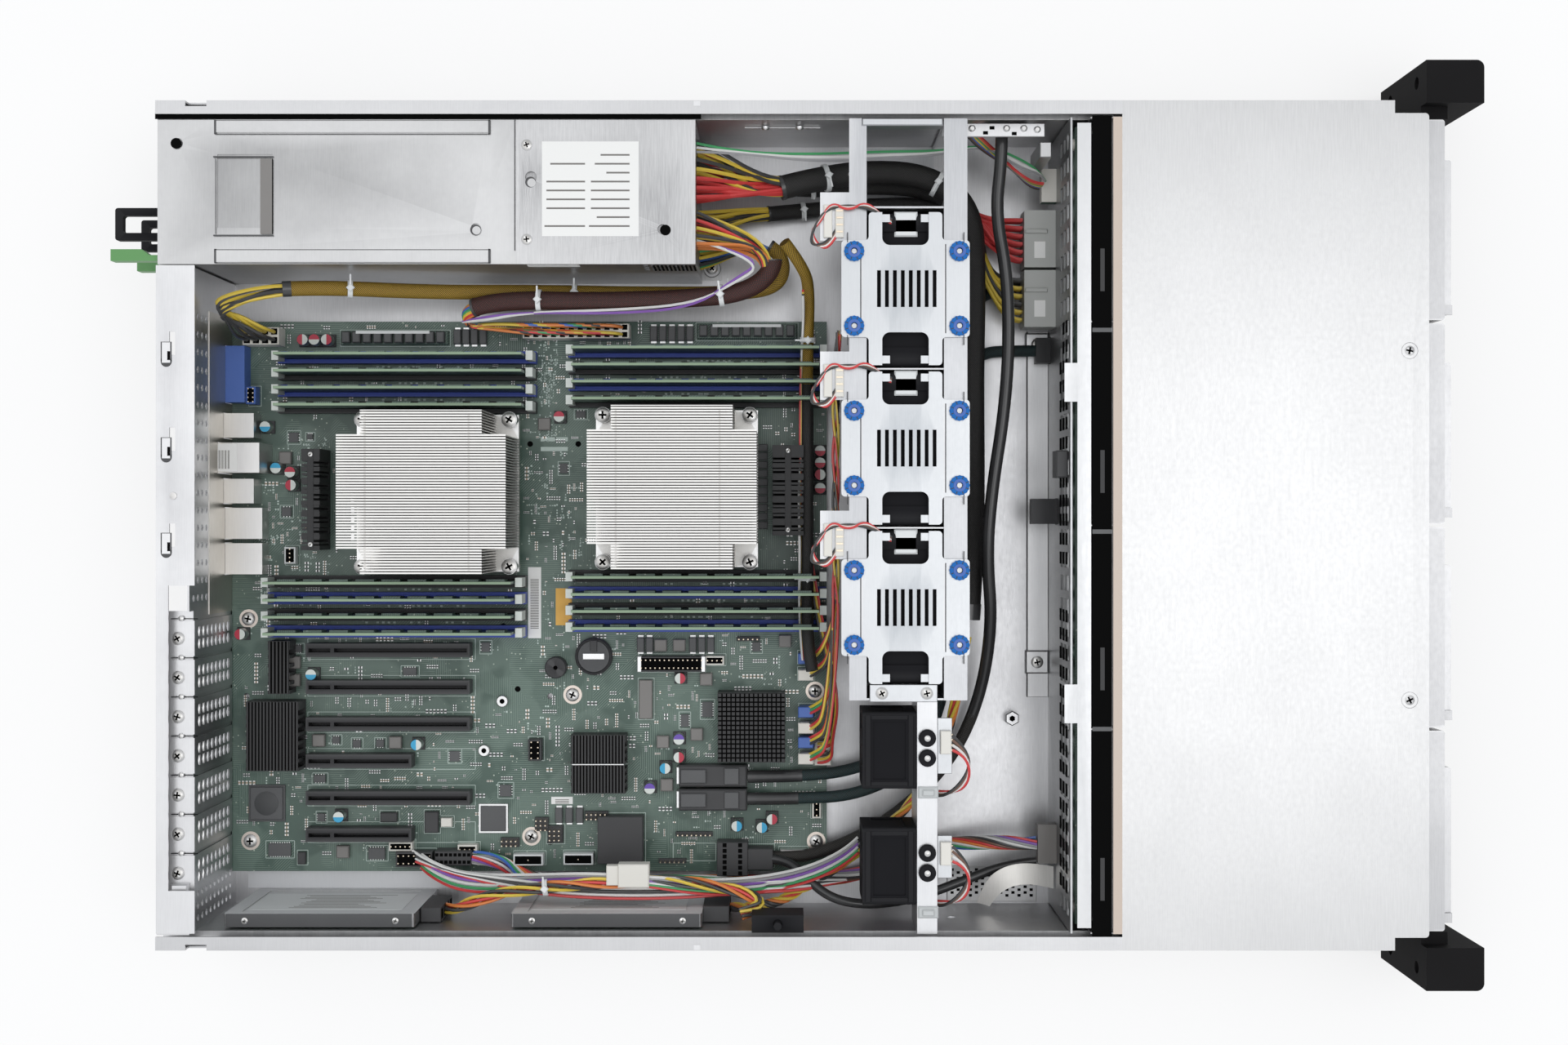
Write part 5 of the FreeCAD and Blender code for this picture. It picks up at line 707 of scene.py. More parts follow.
def fan_row():
    """Knurled grommets, the fan plugs and their twisted leads, one set on each lift-out fan."""
    for number in range(3):
        middle = FIRST_FAN_X - number * FAN_PITCH
        piece = Piece(f"fan_{number + 1}_fittings", f"fan_module_{number + 1}", "fan_plastic")
        for side in (-GROMMET_OUT, GROMMET_OUT):
            for y in GROMMET_ROWS:
                knob(piece, middle + side, y, RAIL_TOP + 2.05, RAIL_TOP + 4.2, 1.75, 5.3, 16, BLUE_RUBBER)
                for spoke in range(8):
                    angle = math.pi * (spoke + 0.5) / 4
                    along, cross = (math.cos(angle), math.sin(angle)), (-math.sin(angle), math.cos(angle))
                    piece.add([(middle + side + along[0] * far + cross[0] * wide,
                                y + along[1] * far + cross[1] * wide, RAIL_TOP + 4.23)
                               for far, wide in ((3.5, -0.28), (4.7, -0.28), (4.7, 0.28), (3.5, 0.28))],
                              [[0, 1, 2, 3]], GROOVE)
                piece.turned((middle + side, y, RAIL_TOP + 3.2),
                             [(1.7, 0), (3.4, 0), (3.2, 1.3), (1.7, 1.5)], PORT_BLUE, sides=18,
                             caps=(False, False))
        x = middle + 37.4
        piece.block((x - 3.5, -59, 76), (13, 12, 6), LABEL_PALE, edge=0.8)
        piece.block((x - 3.5, -52, 77.4), (7, 5, 4), LABEL_PALE, edge=0.6)
        for step, colour in enumerate(("red", "white", "brown", "black")):
            swing = (step - 1.5) * 1.1
            lead(piece, [(x - 3 + swing, -53, 80.5), (x + 1, -46, 84.5 + swing * 0.3),
                         (x + 6 - swing, -38, 86.4), (x + 4 + swing, -29, 86.8 - swing * 0.2),
                         (x + 6 - swing, -20, 86.2), (x - 2 + swing, -14, 86),
                         (x - 9 - swing, -9.5, 84 + swing * 0.4), (x - 15, -12 + swing, 83),
                         (x - 15 + swing, -19, 84.6), (x - 8 + swing, -23, 85.2)], colour, 0.75)
        for y in (-18.5, -24.5):
            piece.block((x - 2.5, y, RAIL_TOP + 0.02), (17, 4.4, 2.2), PLUG_WHITE, edge=0.4)
        for step in range(4):
            piece.block((x - 8 + step * 3.6, -24.5, RAIL_TOP + 2.2), (0.8, 3.4, 0.5), GOLD)
        spots(piece, [(middle, -35.4), (middle, -79.2)], 23, 0.28, RAIL_TOP + 2.03, GROOVE)
        # Painted highlight: a bright zinc strip along the lit edge of each groove.
        spots(piece, [(middle, -36.1), (middle, -78.5)], 23, 0.3, RAIL_TOP + 2.03, ZINC)
        spots(piece, [(middle + side, y) for y in (-88.6, -28.6) for side in (26.5, -26.5)], 2.6, 0.25,
              RAIL_TOP + 2.03, GROOVE)
        piece.done()


def fan_cage_fittings():
    """End plates of the fan cage with screws, bosses along its rails and the small fans' strip."""
    piece = Piece("fan_cage_fittings", slot="zinc_steel")
    piece.block((208.6, -57, RAIL_TOP - 9), (4, 42, 10), FAN_PLATE, edge=0.6)
    piece.block((-86.8, -57.6, RAIL_TOP - 0.9), (9, 35, 1.6), FAN_PLATE, edge=0.3)
    for y in (-46.4, -69.6):
        screw(piece, -86.8, y, RAIL_TOP + 0.7, 3.2)
    for y in (-33, -83):
        for x in (197, 184, 171):
            piece.turned((x, y + (2 if y > -50 else -2), 70), [(1.5, 0), (1.5, 1), (0.9, 1.6)], SCREW,
                         sides=12)
    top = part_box("aux_fan_bracket")[1].z / MM
    for x in (-110, -120.3, -169.4, -179.7):
        piece.turned((x, -69.9, top), [(4.3, 0), (4.5, 0.6), (4.5, 2.2), (3.8, 2.9), (1.6, 2.9)],
                     BLACK_PLASTIC, sides=20, caps=(False, False))
        piece.turned((x, -69.9, top + 2.2), [(1.6, 0), (1.6, 0.9), (0.9, 1.3)], SCREW, sides=14,
                     caps=(False, True))
    for x in (-138.2, -200.2):
        piece.block((x, -70.4, top - 1), (6, 10.5, 2.6), CLEAR, edge=0.7)
        piece.block((x, -70.4, top + 1.6), (3, 6, 1.6), CLEAR, edge=0.5)
    for x, reach in ((-114.4, 29), (-172, 22)):
        piece.block((x, -79.2, top - 3.4), (reach, 7.6, 1), FAN_PLATE, edge=0.2)
        piece.block((x + 2, -79.6, top - 2.4), (12, 5.6, 3.2), PLUG_WHITE, edge=0.4)
        for step in range(4):
            piece.block((x - 2 + step * 2.6, -82.2, top - 1.6), (0.8, 2.4, 0.6), GOLD)
        for step, colour in enumerate(("red", "white", "brown", "black")):
            swing = (step - 1.5) * 1.3
            lead(piece, [(x - 2 + step * 2.6, -83, top - 1), (x - 3 + swing, -90, top - 2),
                         (x - 14 + swing, -93, top - 5), (x - 25, -86 + swing, top - 9),
                         (x - 27 - swing, -74, top - 14), (x - 24 + swing, -66, top - 22)], colour, 0.8)
    piece.done()
    frames = Piece("small_fan_ribs", slot="black_plastic")
    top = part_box("aux_fan_frames")[1].z / MM
    for middle in (-116.8, -177):
        for y in (-39.4, -61.6):
            frames.block((middle, y, top), (37, 2.6, 0.5), BLACK_PLASTIC, edge=0.2)
        for x in (-17.2, 17.2):
            frames.block((middle + x, -50.5, top), (2.2, 19, 0.5), BLACK_PLASTIC, edge=0.2)
    frames.done()


def backplane_fittings():
    """Plugs' labels, the wall's slots, floor strip, studs, brackets, spring band and the bays' shade."""
    piece = Piece("backplane_fittings", slot="zinc_steel")
    for x in (150, 118):
        piece.block((x, -135, 31.1), (9, 6, 0.15), LABEL_WHITE)
        piece.block((x + 10, -133, 31), (2.2, 12, 1.2), PLUG_GREY, edge=0.3)
    for column in range(30):
        for row in range(3):
            x = 104 - column * 10.1
            if -44 < x < -22 or (x > 88 and row == 0):
                continue
            piece.block((x, -143.5, 48 + row * 11), (6.4, 0.35, 5.2), HOLE)
    piece.block((6, -137.7, 1), (204, 11.6, 1.25), ZINC, edge=0.2)
    piece.block((6, -131.7, 1), (204, 0.5, 1.3), GROOVE)
    for x in (100.7, -76.4):
        piece.block((x, -137, 2.2), (13, 13, 2.2), ZINC, edge=0.8)
        screw(piece, x, -137, 4.4, 3.4)
    for x, y in ((-107.5, -122.7), (-193, -121.4)):
        piece.turned((x, y, 1), [(4.2, 0), (4.2, 7), (3.6, 7.6), (1.7, 7.6)], ZINC, sides=6,
                     caps=(False, False))
        piece.turned((x, y, 5), [(1.7, 2.6), (1.7, 0)], HOLE, sides=12, caps=(False, True))
    piece.block((-19, -108.6, 1), (18, 4.6, 0.9), ZINC, edge=0.2)
    piece.block((-200.5, -112, 1), (20, 50, 1.2), DARK_SHEET, edge=0.2)
    spots(piece, [(-207 + column * 3.2 + (row % 2) * 1.6, -134 + row * 3.4)
                  for row in range(14) for column in range(5)], 0.75, 0.9, 2.24)
    outer = smooth_line([(-186, -142.6, 30), (-183.5, -131, 31), (-185, -116, 32), (-193, -105, 31),
                         (-206, -101, 28)], 5)
    inner = smooth_line([(-198, -142.6, 30), (-195, -131, 31), (-196, -120, 32), (-201, -112, 31),
                         (-208, -108, 28)], 5)
    thick = Vector((0, 0, 0.5))
    piece.rings([[start, end, end - thick, start - thick] for start, end in zip(outer, inner)], FINS)
    piece.block((206.5, -105, 72), (7, 54, 2), ZINC, edge=0.3)
    for y in (-86, -94, -112, -121, -128):
        piece.turned((206 + (y % 3) * 0.6, y, 74), [(1.9, 0), (1.8, 0.8), (1.1, 1.4)], SCREW, sides=14)
    spots(piece, [(205, -101), (207.6, -104.4), (204.6, -116)], 0.9, 1.3, 74.05)
    piece.block((197, -133, 30), (8, 6, 40), DARK_SHEET, edge=0.4)
    piece.block((32, -140.6, 62), (14, 6, 16), SOCKET_BLACK, edge=0.6)
    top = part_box("drive_cage")[1].z / MM
    shade = Piece("bay_shade", slot="zinc_steel")
    for high, low in ((211.5, 101.8), (99.8, -2.2), (-4.2, -104), (-106, -212.5)):
        shade.block(((high + low) / 2, -159.8, top), (high - low, 10.2, 0.1), HOLE)
        shade.block((low + 30, -160, top + 0.1), (22, 2.2, 0.06), BLACK_SINK)
    for x in (100.8, -3.2, -105):
        shade.block((x, -159.8, top), (2.2, 10, 0.14), CHIP)
    shade.done()
    piece.done()


def supply_fittings():
    """Label, screws, vents and feet of the distribution box; grooves, vent and spots of the supply cage, with
    painted shade in its side gap, recess and holes.
    """
    piece = Piece("supply_fittings", slot="supply_case")
    piece.block((174, 104.3, PLATE_TOP), (49, 50, 0.12), LABEL_WHITE)
    level = PLATE_TOP + 0.14
    for row, length in enumerate((15, 18, 12, 20, 20, 20, 20, 17, 21)):
        for start in (84, 107):
            if start == 107 and row in (0, 2, 7):
                continue
            piece.add([(192 - row * 4.6, start, level), (192 - row * 4.6, start + length, level),
                       (191.1 - row * 4.6, start + length, level), (191.1 - row * 4.6, start, level)],
                      [[3, 2, 1, 0]], CHOKE)
    for x, y in ((196.7, 137.2), (147.9, 137.2)):
        screw(piece, x, y, PLATE_TOP, 2.8, 1.0)
    for x, y in ((143.4, 44.4), (202.6, 44.4)):
        screw(piece, x, y, 3.1, 3.3)
        piece.turned((x, y, 2), [(5, 0), (5, 0.7), (4.6, 1.1)], ZINC, sides=22)
    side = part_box("power_distribution_box")[0].x / MM
    for row in range(6):
        for column in range(11):
            piece.block((side, 72 - column * 2.1, 58 + row * 3.6), (0.3, 1.1, 2.3), HOLE)
    piece.block((side - 0.05, 124, 74), (0.2, 27, 7), LABEL_WHITE)
    for y in (316, 300, 240, 180):
        piece.turned((131, y - 8, 0.6), [(0.6, 0), (0.6, 0.4)], SCREW, sides=8)
    for y in (14, -4):
        piece.turned((211, y, 60), [(2.2, 0), (2.1, 1.0), (1.4, 1.8)], SCREW, axis=(-1, 0, 0), sides=14)
    piece.block((210.9, 5, 57), (0.5, 40, 1.2), DARK_SHEET)
    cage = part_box("psu_cage")[1].z / MM
    # Painted shade: a black strip over the cage's outer edge stands in for the shadowed gap beside it.
    piece.block((211.6, 188, cage), (3.4, 282, 0.1), HOLE)
    for x, y, wide, deep in ((176, 143.3, 68, 0.45), (202.2, 227, 0.4, 142), (209.2, 227, 0.3, 142),
                             (142.4, 227, 0.4, 142), (135.6, 227, 0.3, 142), (205.8, 298, 7.4, 1.1),
                             (205.8, 156.4, 7.4, 1.1), (139.2, 298, 7.4, 1.1), (139.2, 156.4, 7.4, 1.1),
                             (190.4, 283.5, 0.8, 31), (149.8, 283.5, 0.8, 31), (170, 297.8, 39, 0.3)):
        piece.block((x, y, cage), (wide, deep, 0.05), GROOVE)
    # Painted shade: a dark patch on the cage top stands in for the recess's shaded face.
    piece.block((170, 271.6, cage), (39, 6.2, 0.05), CHOKE)
    piece.block((170, 268.4, cage), (39, 0.4, 0.06), HOLE)
    for x, y, level in ((197.4, 318.2, cage), (152.7, 65.5, PLATE_TOP)):
        piece.turned((x, y, level), [(2.8, 0), (2.8, 0.06)], HOLE, sides=24, caps=(False, True))
    # Painted shade: a dark disc under an offset cage-coloured disc leaves a dark crescent, the shadowed side
    # of each hole.
    for x, y, level in ((152.7, 163.5, cage), (177.5, 135.2, PLATE_TOP)):
        piece.turned((x, y, level), [(2.8, 0), (2.8, 0.05)], GROOVE, sides=24, caps=(False, True))
        piece.turned((x - 0.3, y - 0.5, level + 0.05), [(2.2, 0), (2.2, 0.03)], CAGE, sides=24,
                     caps=(False, True))
    piece.done()


def rear_fittings():
    """Slot-cover screws, hook slots of the top bar, labels of the small drives and marks on the ports."""
    piece = Piece("rear_fittings", slot="zinc_steel")
    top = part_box("slot_covers")[1].z / MM
    for number in range(7):
        x = -58.7 - number * SLOT_PITCH
        screw(piece, x, 318.8, top, 3.4, 1.6)
        piece.turned((x + 10.4, 317, top), [(1.5, 0), (1.4, 0.9), (0.8, 1.3)], SCREW, sides=12)
        piece.block((x + 10.2, 315.4, top), (0.4, 14, 0.25), HOLE)
    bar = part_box("rear_top_bar")[1].z / MM
    for x in (88.5, 39.2, -10.0):
        piece.turned((x - 3.9, 322.6, bar), [(2.9, 0), (2.8, 0.25)], GROOVE, sides=20, caps=(False, True))
        piece.block((x + 1.2, 322.6, bar), (10, 5.6, 0.25), GROOVE)
        piece.block((x + 0.6, 322.6, bar + 0.25), (10.6, 4.4, 0.2), ZINC, edge=0.1)
        piece.block((x - 1, 321.2, bar + 0.45), (4.6, 1.5, 0.06), HOLE)
    piece.turned((15.2, 319, bar), [(2, 0), (1.9, 0.5), (0.9, 0.7)], PORT, sides=16)
    piece.block((-198.6, 317, 80), (26, 9, 4), ZINC, edge=0.8)
    # Painted light: a bright strip on the tray floor by the left wall, for the light that the wall reflects
    # onto it.
    piece.block((-196.4, 165, 1), (13, 278, 0.2), PAINTED_FLOOR_LIGHT)
    low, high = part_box("boot_drives")
    for y in (197.8, 47.3):
        piece.block((DRIVE_FACE_X, y + 50, 14), (0.12, 82, 44), LABEL_PALE)
        for row in range(12):
            piece.block((DRIVE_FACE_X + 0.1, y + 44 + (row * 13) % 7, 18 + row * 3.1),
                        (0.06, 50 - (row * 17) % 23, 0.9), CHOKE)
        for deep in (10, 89):
            screw(piece, (low.x / MM + DRIVE_FACE_X) / 2, y + deep, high.z / MM, 1.7, 0.4)
    spots(piece, [(-196, 317), (-204, 317)], 1.2, 1.2, 84.04)
    piece.block((36.6, 309.5, 37), (14.6, 18.5, 0.12), LABEL_WHITE)
    spots(piece, [(35.6, 316 - step * 0.55) for step in range(22) if step % 3 != 1], 5.0, 0.17, 37.14, CHOKE)
    for low, high in ((-7.5, 9.5), (-26.9, -9.9), (12, 25.4), (47.9, 61.3)):
        box_top = 27.5 if high - low > 15 else 30
        spots(piece, [(low + 3.2, 320), (high - 3.2, 320)], 0.6, 3.0, box_top, DARK_SHEET)
    piece.done()


def cover_fittings():
    """Countersunk screws of the front cover, rivets on the ears' plates and joints of the side rails."""
    piece = Piece("cover_fittings", slot="zinc_steel")
    for x in (90, -90):
        piece.turned((x, -318, COVER_TOP - 1.2), [(4.3, 1.26), (4.1, 1.3), (3.7, 0.7)], COVER, sides=28,
                     caps=(False, False))
        screw(piece, x, -318, COVER_TOP - 0.7, 3.6, 0.8, COVER)
    for sign in (1, -1):
        for y in (-334, -342):
            piece.turned((sign * 236, y, 40), [(2.2, 0), (1.9, 0.9), (1.0, 1.4)], BLACK_PLASTIC,
                         axis=(sign, 0, 0), sides=14)
        piece.block((sign * 217.3, 49, COVER_TOP), (2.6, 3.4, 0.3), ZINC)
    piece.done()


def cooler_fins():
    """Board coolers' fine fins: combs by the processors, cross fins at the rear, and a grid of pins."""
    piece = Piece("board_cooler_fins", slot="cooler_aluminium")
    for x, y, wide, deep, high in ((14, 261, 55, 10, 25), (19, 2, 49, 17, 25)):
        count = int(wide / 2.4)
        for number in range(count):
            piece.block((share(x, wide, number, count), y, BOARD_TOP + 3), (1.2, deep - 0.6, high - 3.1),
                        BLACK_SINK)
        piece.block((x, y, BOARD_TOP + high - 0.05), (wide, 3.4, 0.3), BLACK_SINK, edge=0.1)
        for end in (-1, 1):
            screw(piece, x + end * (wide / 2 - 3), y, BOARD_TOP + high + 0.25, 1.3, 0.5)
    for x, y, wide, deep, high in ((-78, 281, 29, 12, 14), (-115.5, 284, 38, 29, 16),
                                   (-131, 106, 32, 30, 14)):
        count = int(deep / 1.75)
        # Painted shade: a black sheet just under the fins' tops darkens the gaps between them.
        piece.block((x, y, BOARD_TOP + high - 0.1), (wide - 0.6, deep - 0.6, 0.15), HOLE)
        for number in range(count):
            piece.block((x, share(y, deep, number, count), BOARD_TOP + high - 0.1), (wide, 0.95, 0.7),
                        BLACK_SINK)
    x, y, wide, deep, high = -110.5, 22, 38, 37, 18
    # Painted shade: a black sheet just under the pins' tops darkens the gaps between them.
    piece.block((x, y, BOARD_TOP + high - 0.1), (wide - 0.6, deep - 0.6, 0.15), HOLE)
    for column in range(15):
        for row in range(15):
            piece.block((share(x, wide, column, 15), share(y, deep, row, 15), BOARD_TOP + high - 0.1),
                        (1.7, 1.7, 0.8), BLACK_SINK)
    piece.tube([Vector((-131, 88.5, BOARD_TOP + 6)), Vector((-131, 92, BOARD_TOP + 15.4)),
                Vector((-131, 120, BOARD_TOP + 15.4)), Vector((-131, 123.5, BOARD_TOP + 6))], 0.5, TIN,
               sides=8)
    piece.done()


def sink_fittings():
    """Folded tops that close the fins' channels, their rows of tabs, and spring screws at the corners."""
    for number, (x, y) in enumerate(SINK_CENTRES):
        piece = Piece(f"heat_sink_tabs_{number + 1}", slot="cooler_aluminium")
        for fin in range(58):
            place = x - 42.63 + fin * FIN_PITCH + 0.32
            reach = 31.8 if abs(place - x) > 29.8 else 44.3
            piece.block((place, y, 74.78), (0.66, reach * 2, 0.24), FINS)
        for row in (y + 29.2, y - 25):
            for fin in range(56):
                place = x - 41 + fin * FIN_PITCH
                piece.block((place, row, 74.9), (0.5, 1.1, 0.16), FIN_BASE)
        for side in (-SINK_SCREW, SINK_SCREW):
            for deep in (-SINK_SCREW, SINK_SCREW):
                screw(piece, x + side, y + deep, 32.0, 4.2, 1.2, SCREW)
        piece.done()


# ---------------------------------------------------------------- cables

def length_of(line):
    """How long a line of points is."""
    return sum((after - before).length for before, after in zip(line, line[1:]))


def part_of(line, start, end):
    """The part of a line between two lengths from its start; a negative end counts from its other end."""
    if end <= 0:
        end += length_of(line)
    kept, gone = [], 0.0
    for before, after in zip(line, line[1:]):
        step = (after - before).length
        for edge in (start, end):
            if gone <= edge < gone + step:
                kept.append(before.lerp(after, (edge - gone) / step))
        gone += step
        if start < gone < end:
            kept.append(after)
    return kept


def around(line, at, count, radius):
    """Places round a line at a length from its start, the first few nearer its middle."""
    near = part_of(line, at, at + 2)
    ahead = (near[-1] - near[0]).normalized()
    side = ahead.orthogonal().normalized()
    other = ahead.cross(side)
    inner = count // 4 if count > 4 else 0
    places = []
    for wire in range(count):
        part = wire / inner if wire < inner else wire / max(1, count - inner)
        angle = 2 * math.pi * part + at * 0.03
        reach = radius * (0.4 if wire < inner else 1.0)
        places.append(near[0] + (side * math.cos(angle) + other * math.sin(angle)) * reach)
    return places


def lead(piece, points, colour, radius=0.85, resolution=5):
    """One insulated wire through control points."""
    piece.tube(smooth_line(points, resolution), radius, WIRE[colour], sides=6)


def fan_out(piece, line, at, places, way, colours, radius, wire=0.85):
    """Wires that leave a bundle's sleeve and part to their own places at its start."""
    first, second = around(line, at, len(places), radius), around(line, at + 14, len(places), radius * 0.7)
    for place, near, far, colour in zip(places, first, second, colours):
        place = Vector(place)
        lead(piece, [place, place + Vector(way) * 9, near, far], colour, wire)


def sleeve(piece, line, start, end, radius, kind):
    """Braided sleeve with a heat-shrunk collar at each end."""
    kept = part_of(line, start, end)
    piece.tube(kept, radius, BRAIDS[kind], sides=14)
    for tip, inner in (kept[:2], kept[-2:][::-1]):
        collar = [tip, tip.lerp(inner, min(1.0, 9 / (inner - tip).length))]
        piece.tube(collar, radius + 0.25, GLOSS_BLACK, sides=14)


def tie(piece, line, at, radius):
    """Nylon tie with its square head and cut tail."""
    near = part_of(line, at, at + 1)
    ahead = (near[-1] - near[0]).normalized()
    inner, outer, half = radius + 0.1, radius + 1.0, 1.3
    piece.turned(near[0], [(inner, -half), (outer, -half), (outer, half), (inner, half)], TIE, axis=ahead,
                 sides=18, caps=(False, False))
    up = (Vector((0, 0, 1)) - ahead * ahead.z).normalized()
    head = near[0] + up * (radius + 0.6)
    piece.turned(head, [(1.9, 0), (2.3, 0.4), (2.3, 2.2), (1.7, 2.6)], TIE, axis=up, sides=4)
    across = ahead.cross(up)
    piece.tube([head + up * 1.4, head + up * 3 + across * 4, head + up * 3.4 + across * 7], 0.6, TIE, sides=4)


def plug(piece, low, high, finish, rows, columns, face):
    """A plug's body with a grid of wire cells on one face, which is named as in "+x", "-y" or "+z"."""
    low, high = Vector(low), Vector(high)
    middle, size = (low + high) / 2, high - low
    piece.block((middle.x, middle.y, low.z), (size.x, size.y, size.z), finish, edge=0.4)
    axis = "xyz".index(face[1])
    first, second = [number for number in range(3) if number != axis]
    edge = high[axis] if face[0] == "+" else low[axis]
    outward = 1 if face[0] == "+" else -1
    for row in range(rows):
        for column in range(columns):
            centre = Vector((0, 0, 0))
            centre[axis] = edge + outward * 0.02
            centre[first] = low[first] + size[first] * (column + 0.5) / columns
            centre[second] = low[second] + size[second] * (row + 0.5) / rows
            half = min(size[first] / columns, size[second] / rows) * 0.36
            corners = []
            for one, two in ((-1, -1), (1, -1), (1, 1), (-1, 1)):
                corner = centre.copy()
                corner[first] += one * half
                corner[second] += two * half
                corners.append(corner)
            order = [0, 1, 2, 3] if (outward == 1) == (axis != 1) else [3, 2, 1, 0]
            piece.add(corners, [order], HOLE)


def grid(x_span, y_span, z_span, counts):
    """Places in a regular grid."""
    spans = (x_span, y_span, z_span)
    places = []
    for level in range(counts[2]):
        for row in range(counts[1]):
            for column in range(counts[0]):
                places.append(tuple(low + (high - low) * ((step + 0.5) / count)
                                    for (low, high), step, count in zip(spans, (column, row, level), counts)))
    return places


TRUNK = [(182, BUNDLE_Y, 46), (182, 44, 46), (177, 22, 44), (186, -9, 40), (192, -40, 34), (190, -74, 34),
         (172, -98, 34), (130, -99, 34), (80, -98, 34), (28, -98.5, 34), (-20, -98, 34), (-60, -95, 33)]
TO_PLUG_RIGHT = [(187, BUNDLE_Y, 24), (187, 46, 24), (188, 22, 21), (184, -10, 20), (187, -45, 20),
                 (184, -80, 20), (167, -101, 20.5), (156, -113, 22), (156, -126.3, 22)]
TO_PLUG_LEFT = [(170, BUNDLE_Y, 24), (170, 46, 24), (171, 23, 15), (175, -10, 9), (178, -48, 9),
                (178, -84, 9), (160, -103, 9.5), (144, -104.5, 12), (130, -107.5, 16.5), (124, -117, 19),
                (124, -126.3, 19)]
TO_BOARD = [(164, BUNDLE_Y, 52), (164, 46, 52), (158, 24, 50), (142, 6, 50), (124, 22, 50), (121, 62, 48),
            (120, 110, 46), (121, 152, 46), (116, 179, 41), (107.5, 183, 29), (106.5, 171, 19),
            (106.5, 159, 17.5), (106.5, 147.8, 17.5)]
TO_PROCESSOR = [(156, BUNDLE_Y, 32), (156, 22, 32), (148, 5, 32), (132, 5, 32), (126, 22, 32), (126, 82, 30),
                (127, 138, 31), (126, 195, 38), (127, 250, 52), (124, 288, 62), (113, 303, 58),
                (105, 298, 46), (103.8, 291, 35), (103.8, 291, 24.3)]
TO_DRIVE = [(-60.4, -95, 33), (-98, -90, 30), (-140, -76, 26), (-172, -46, 26), (-195, -12, 30),
            (-204.5, 8, 36), (-206.5, 21, 38), (-206.5, 33, 38)]
FRONT_PANEL = [(207.2, -111, 60), (194, -111, 60), (166, -108, 57), (134, -114.5, 55), (96, -115.5, 55),
               (60, -113, 55), (19, -106.5, 54), (-16, -104, 51), (-54, -108, 43), (-98, -103, 20),
               (-134, -86, 13), (-164, -54, 12), (-182, -16, 15), (-183, 8, 17), (-183, 23.7, 17)]
DATA_RIGHT = [(-138.6, 24.3, 17), (-138.6, -2, 17), (-136, -34, 14), (-122, -66, 8), (-94, -86, 6),
              (-52, -88, 6), (-2, -87.5, 6), (48, -88, 6), (96, -89, 6), (126, -100, 6), (134, -124, 7),
              (134, -135.6, 7)]
DATA_LEFT = [(-150.8, 24.3, 17), (-150.8, -2, 17), (-149, -36, 18), (-134, -66, 18), (-98, -84, 15),
             (-52, -88, 14), (-2, -87.5, 14), (48, -88, 14), (84, -92, 13), (96, -106, 9), (97, -122, 7),
             (97, -135.6, 7)]
RIBBON = [(-173, -133.3, 30), (-173, -121, 30), (-174, -104, 22), (-177, -80, 12), (-187, -55, 7),
          (-197, -30, 6.3), (-198.4, 8, 6.8), (-198, 56, 8), (-198.3, 98, 10), (-198, 132, 13),
          (-193, 150, 16), (-184, 162, 18), (-183, 175.7, 18)]


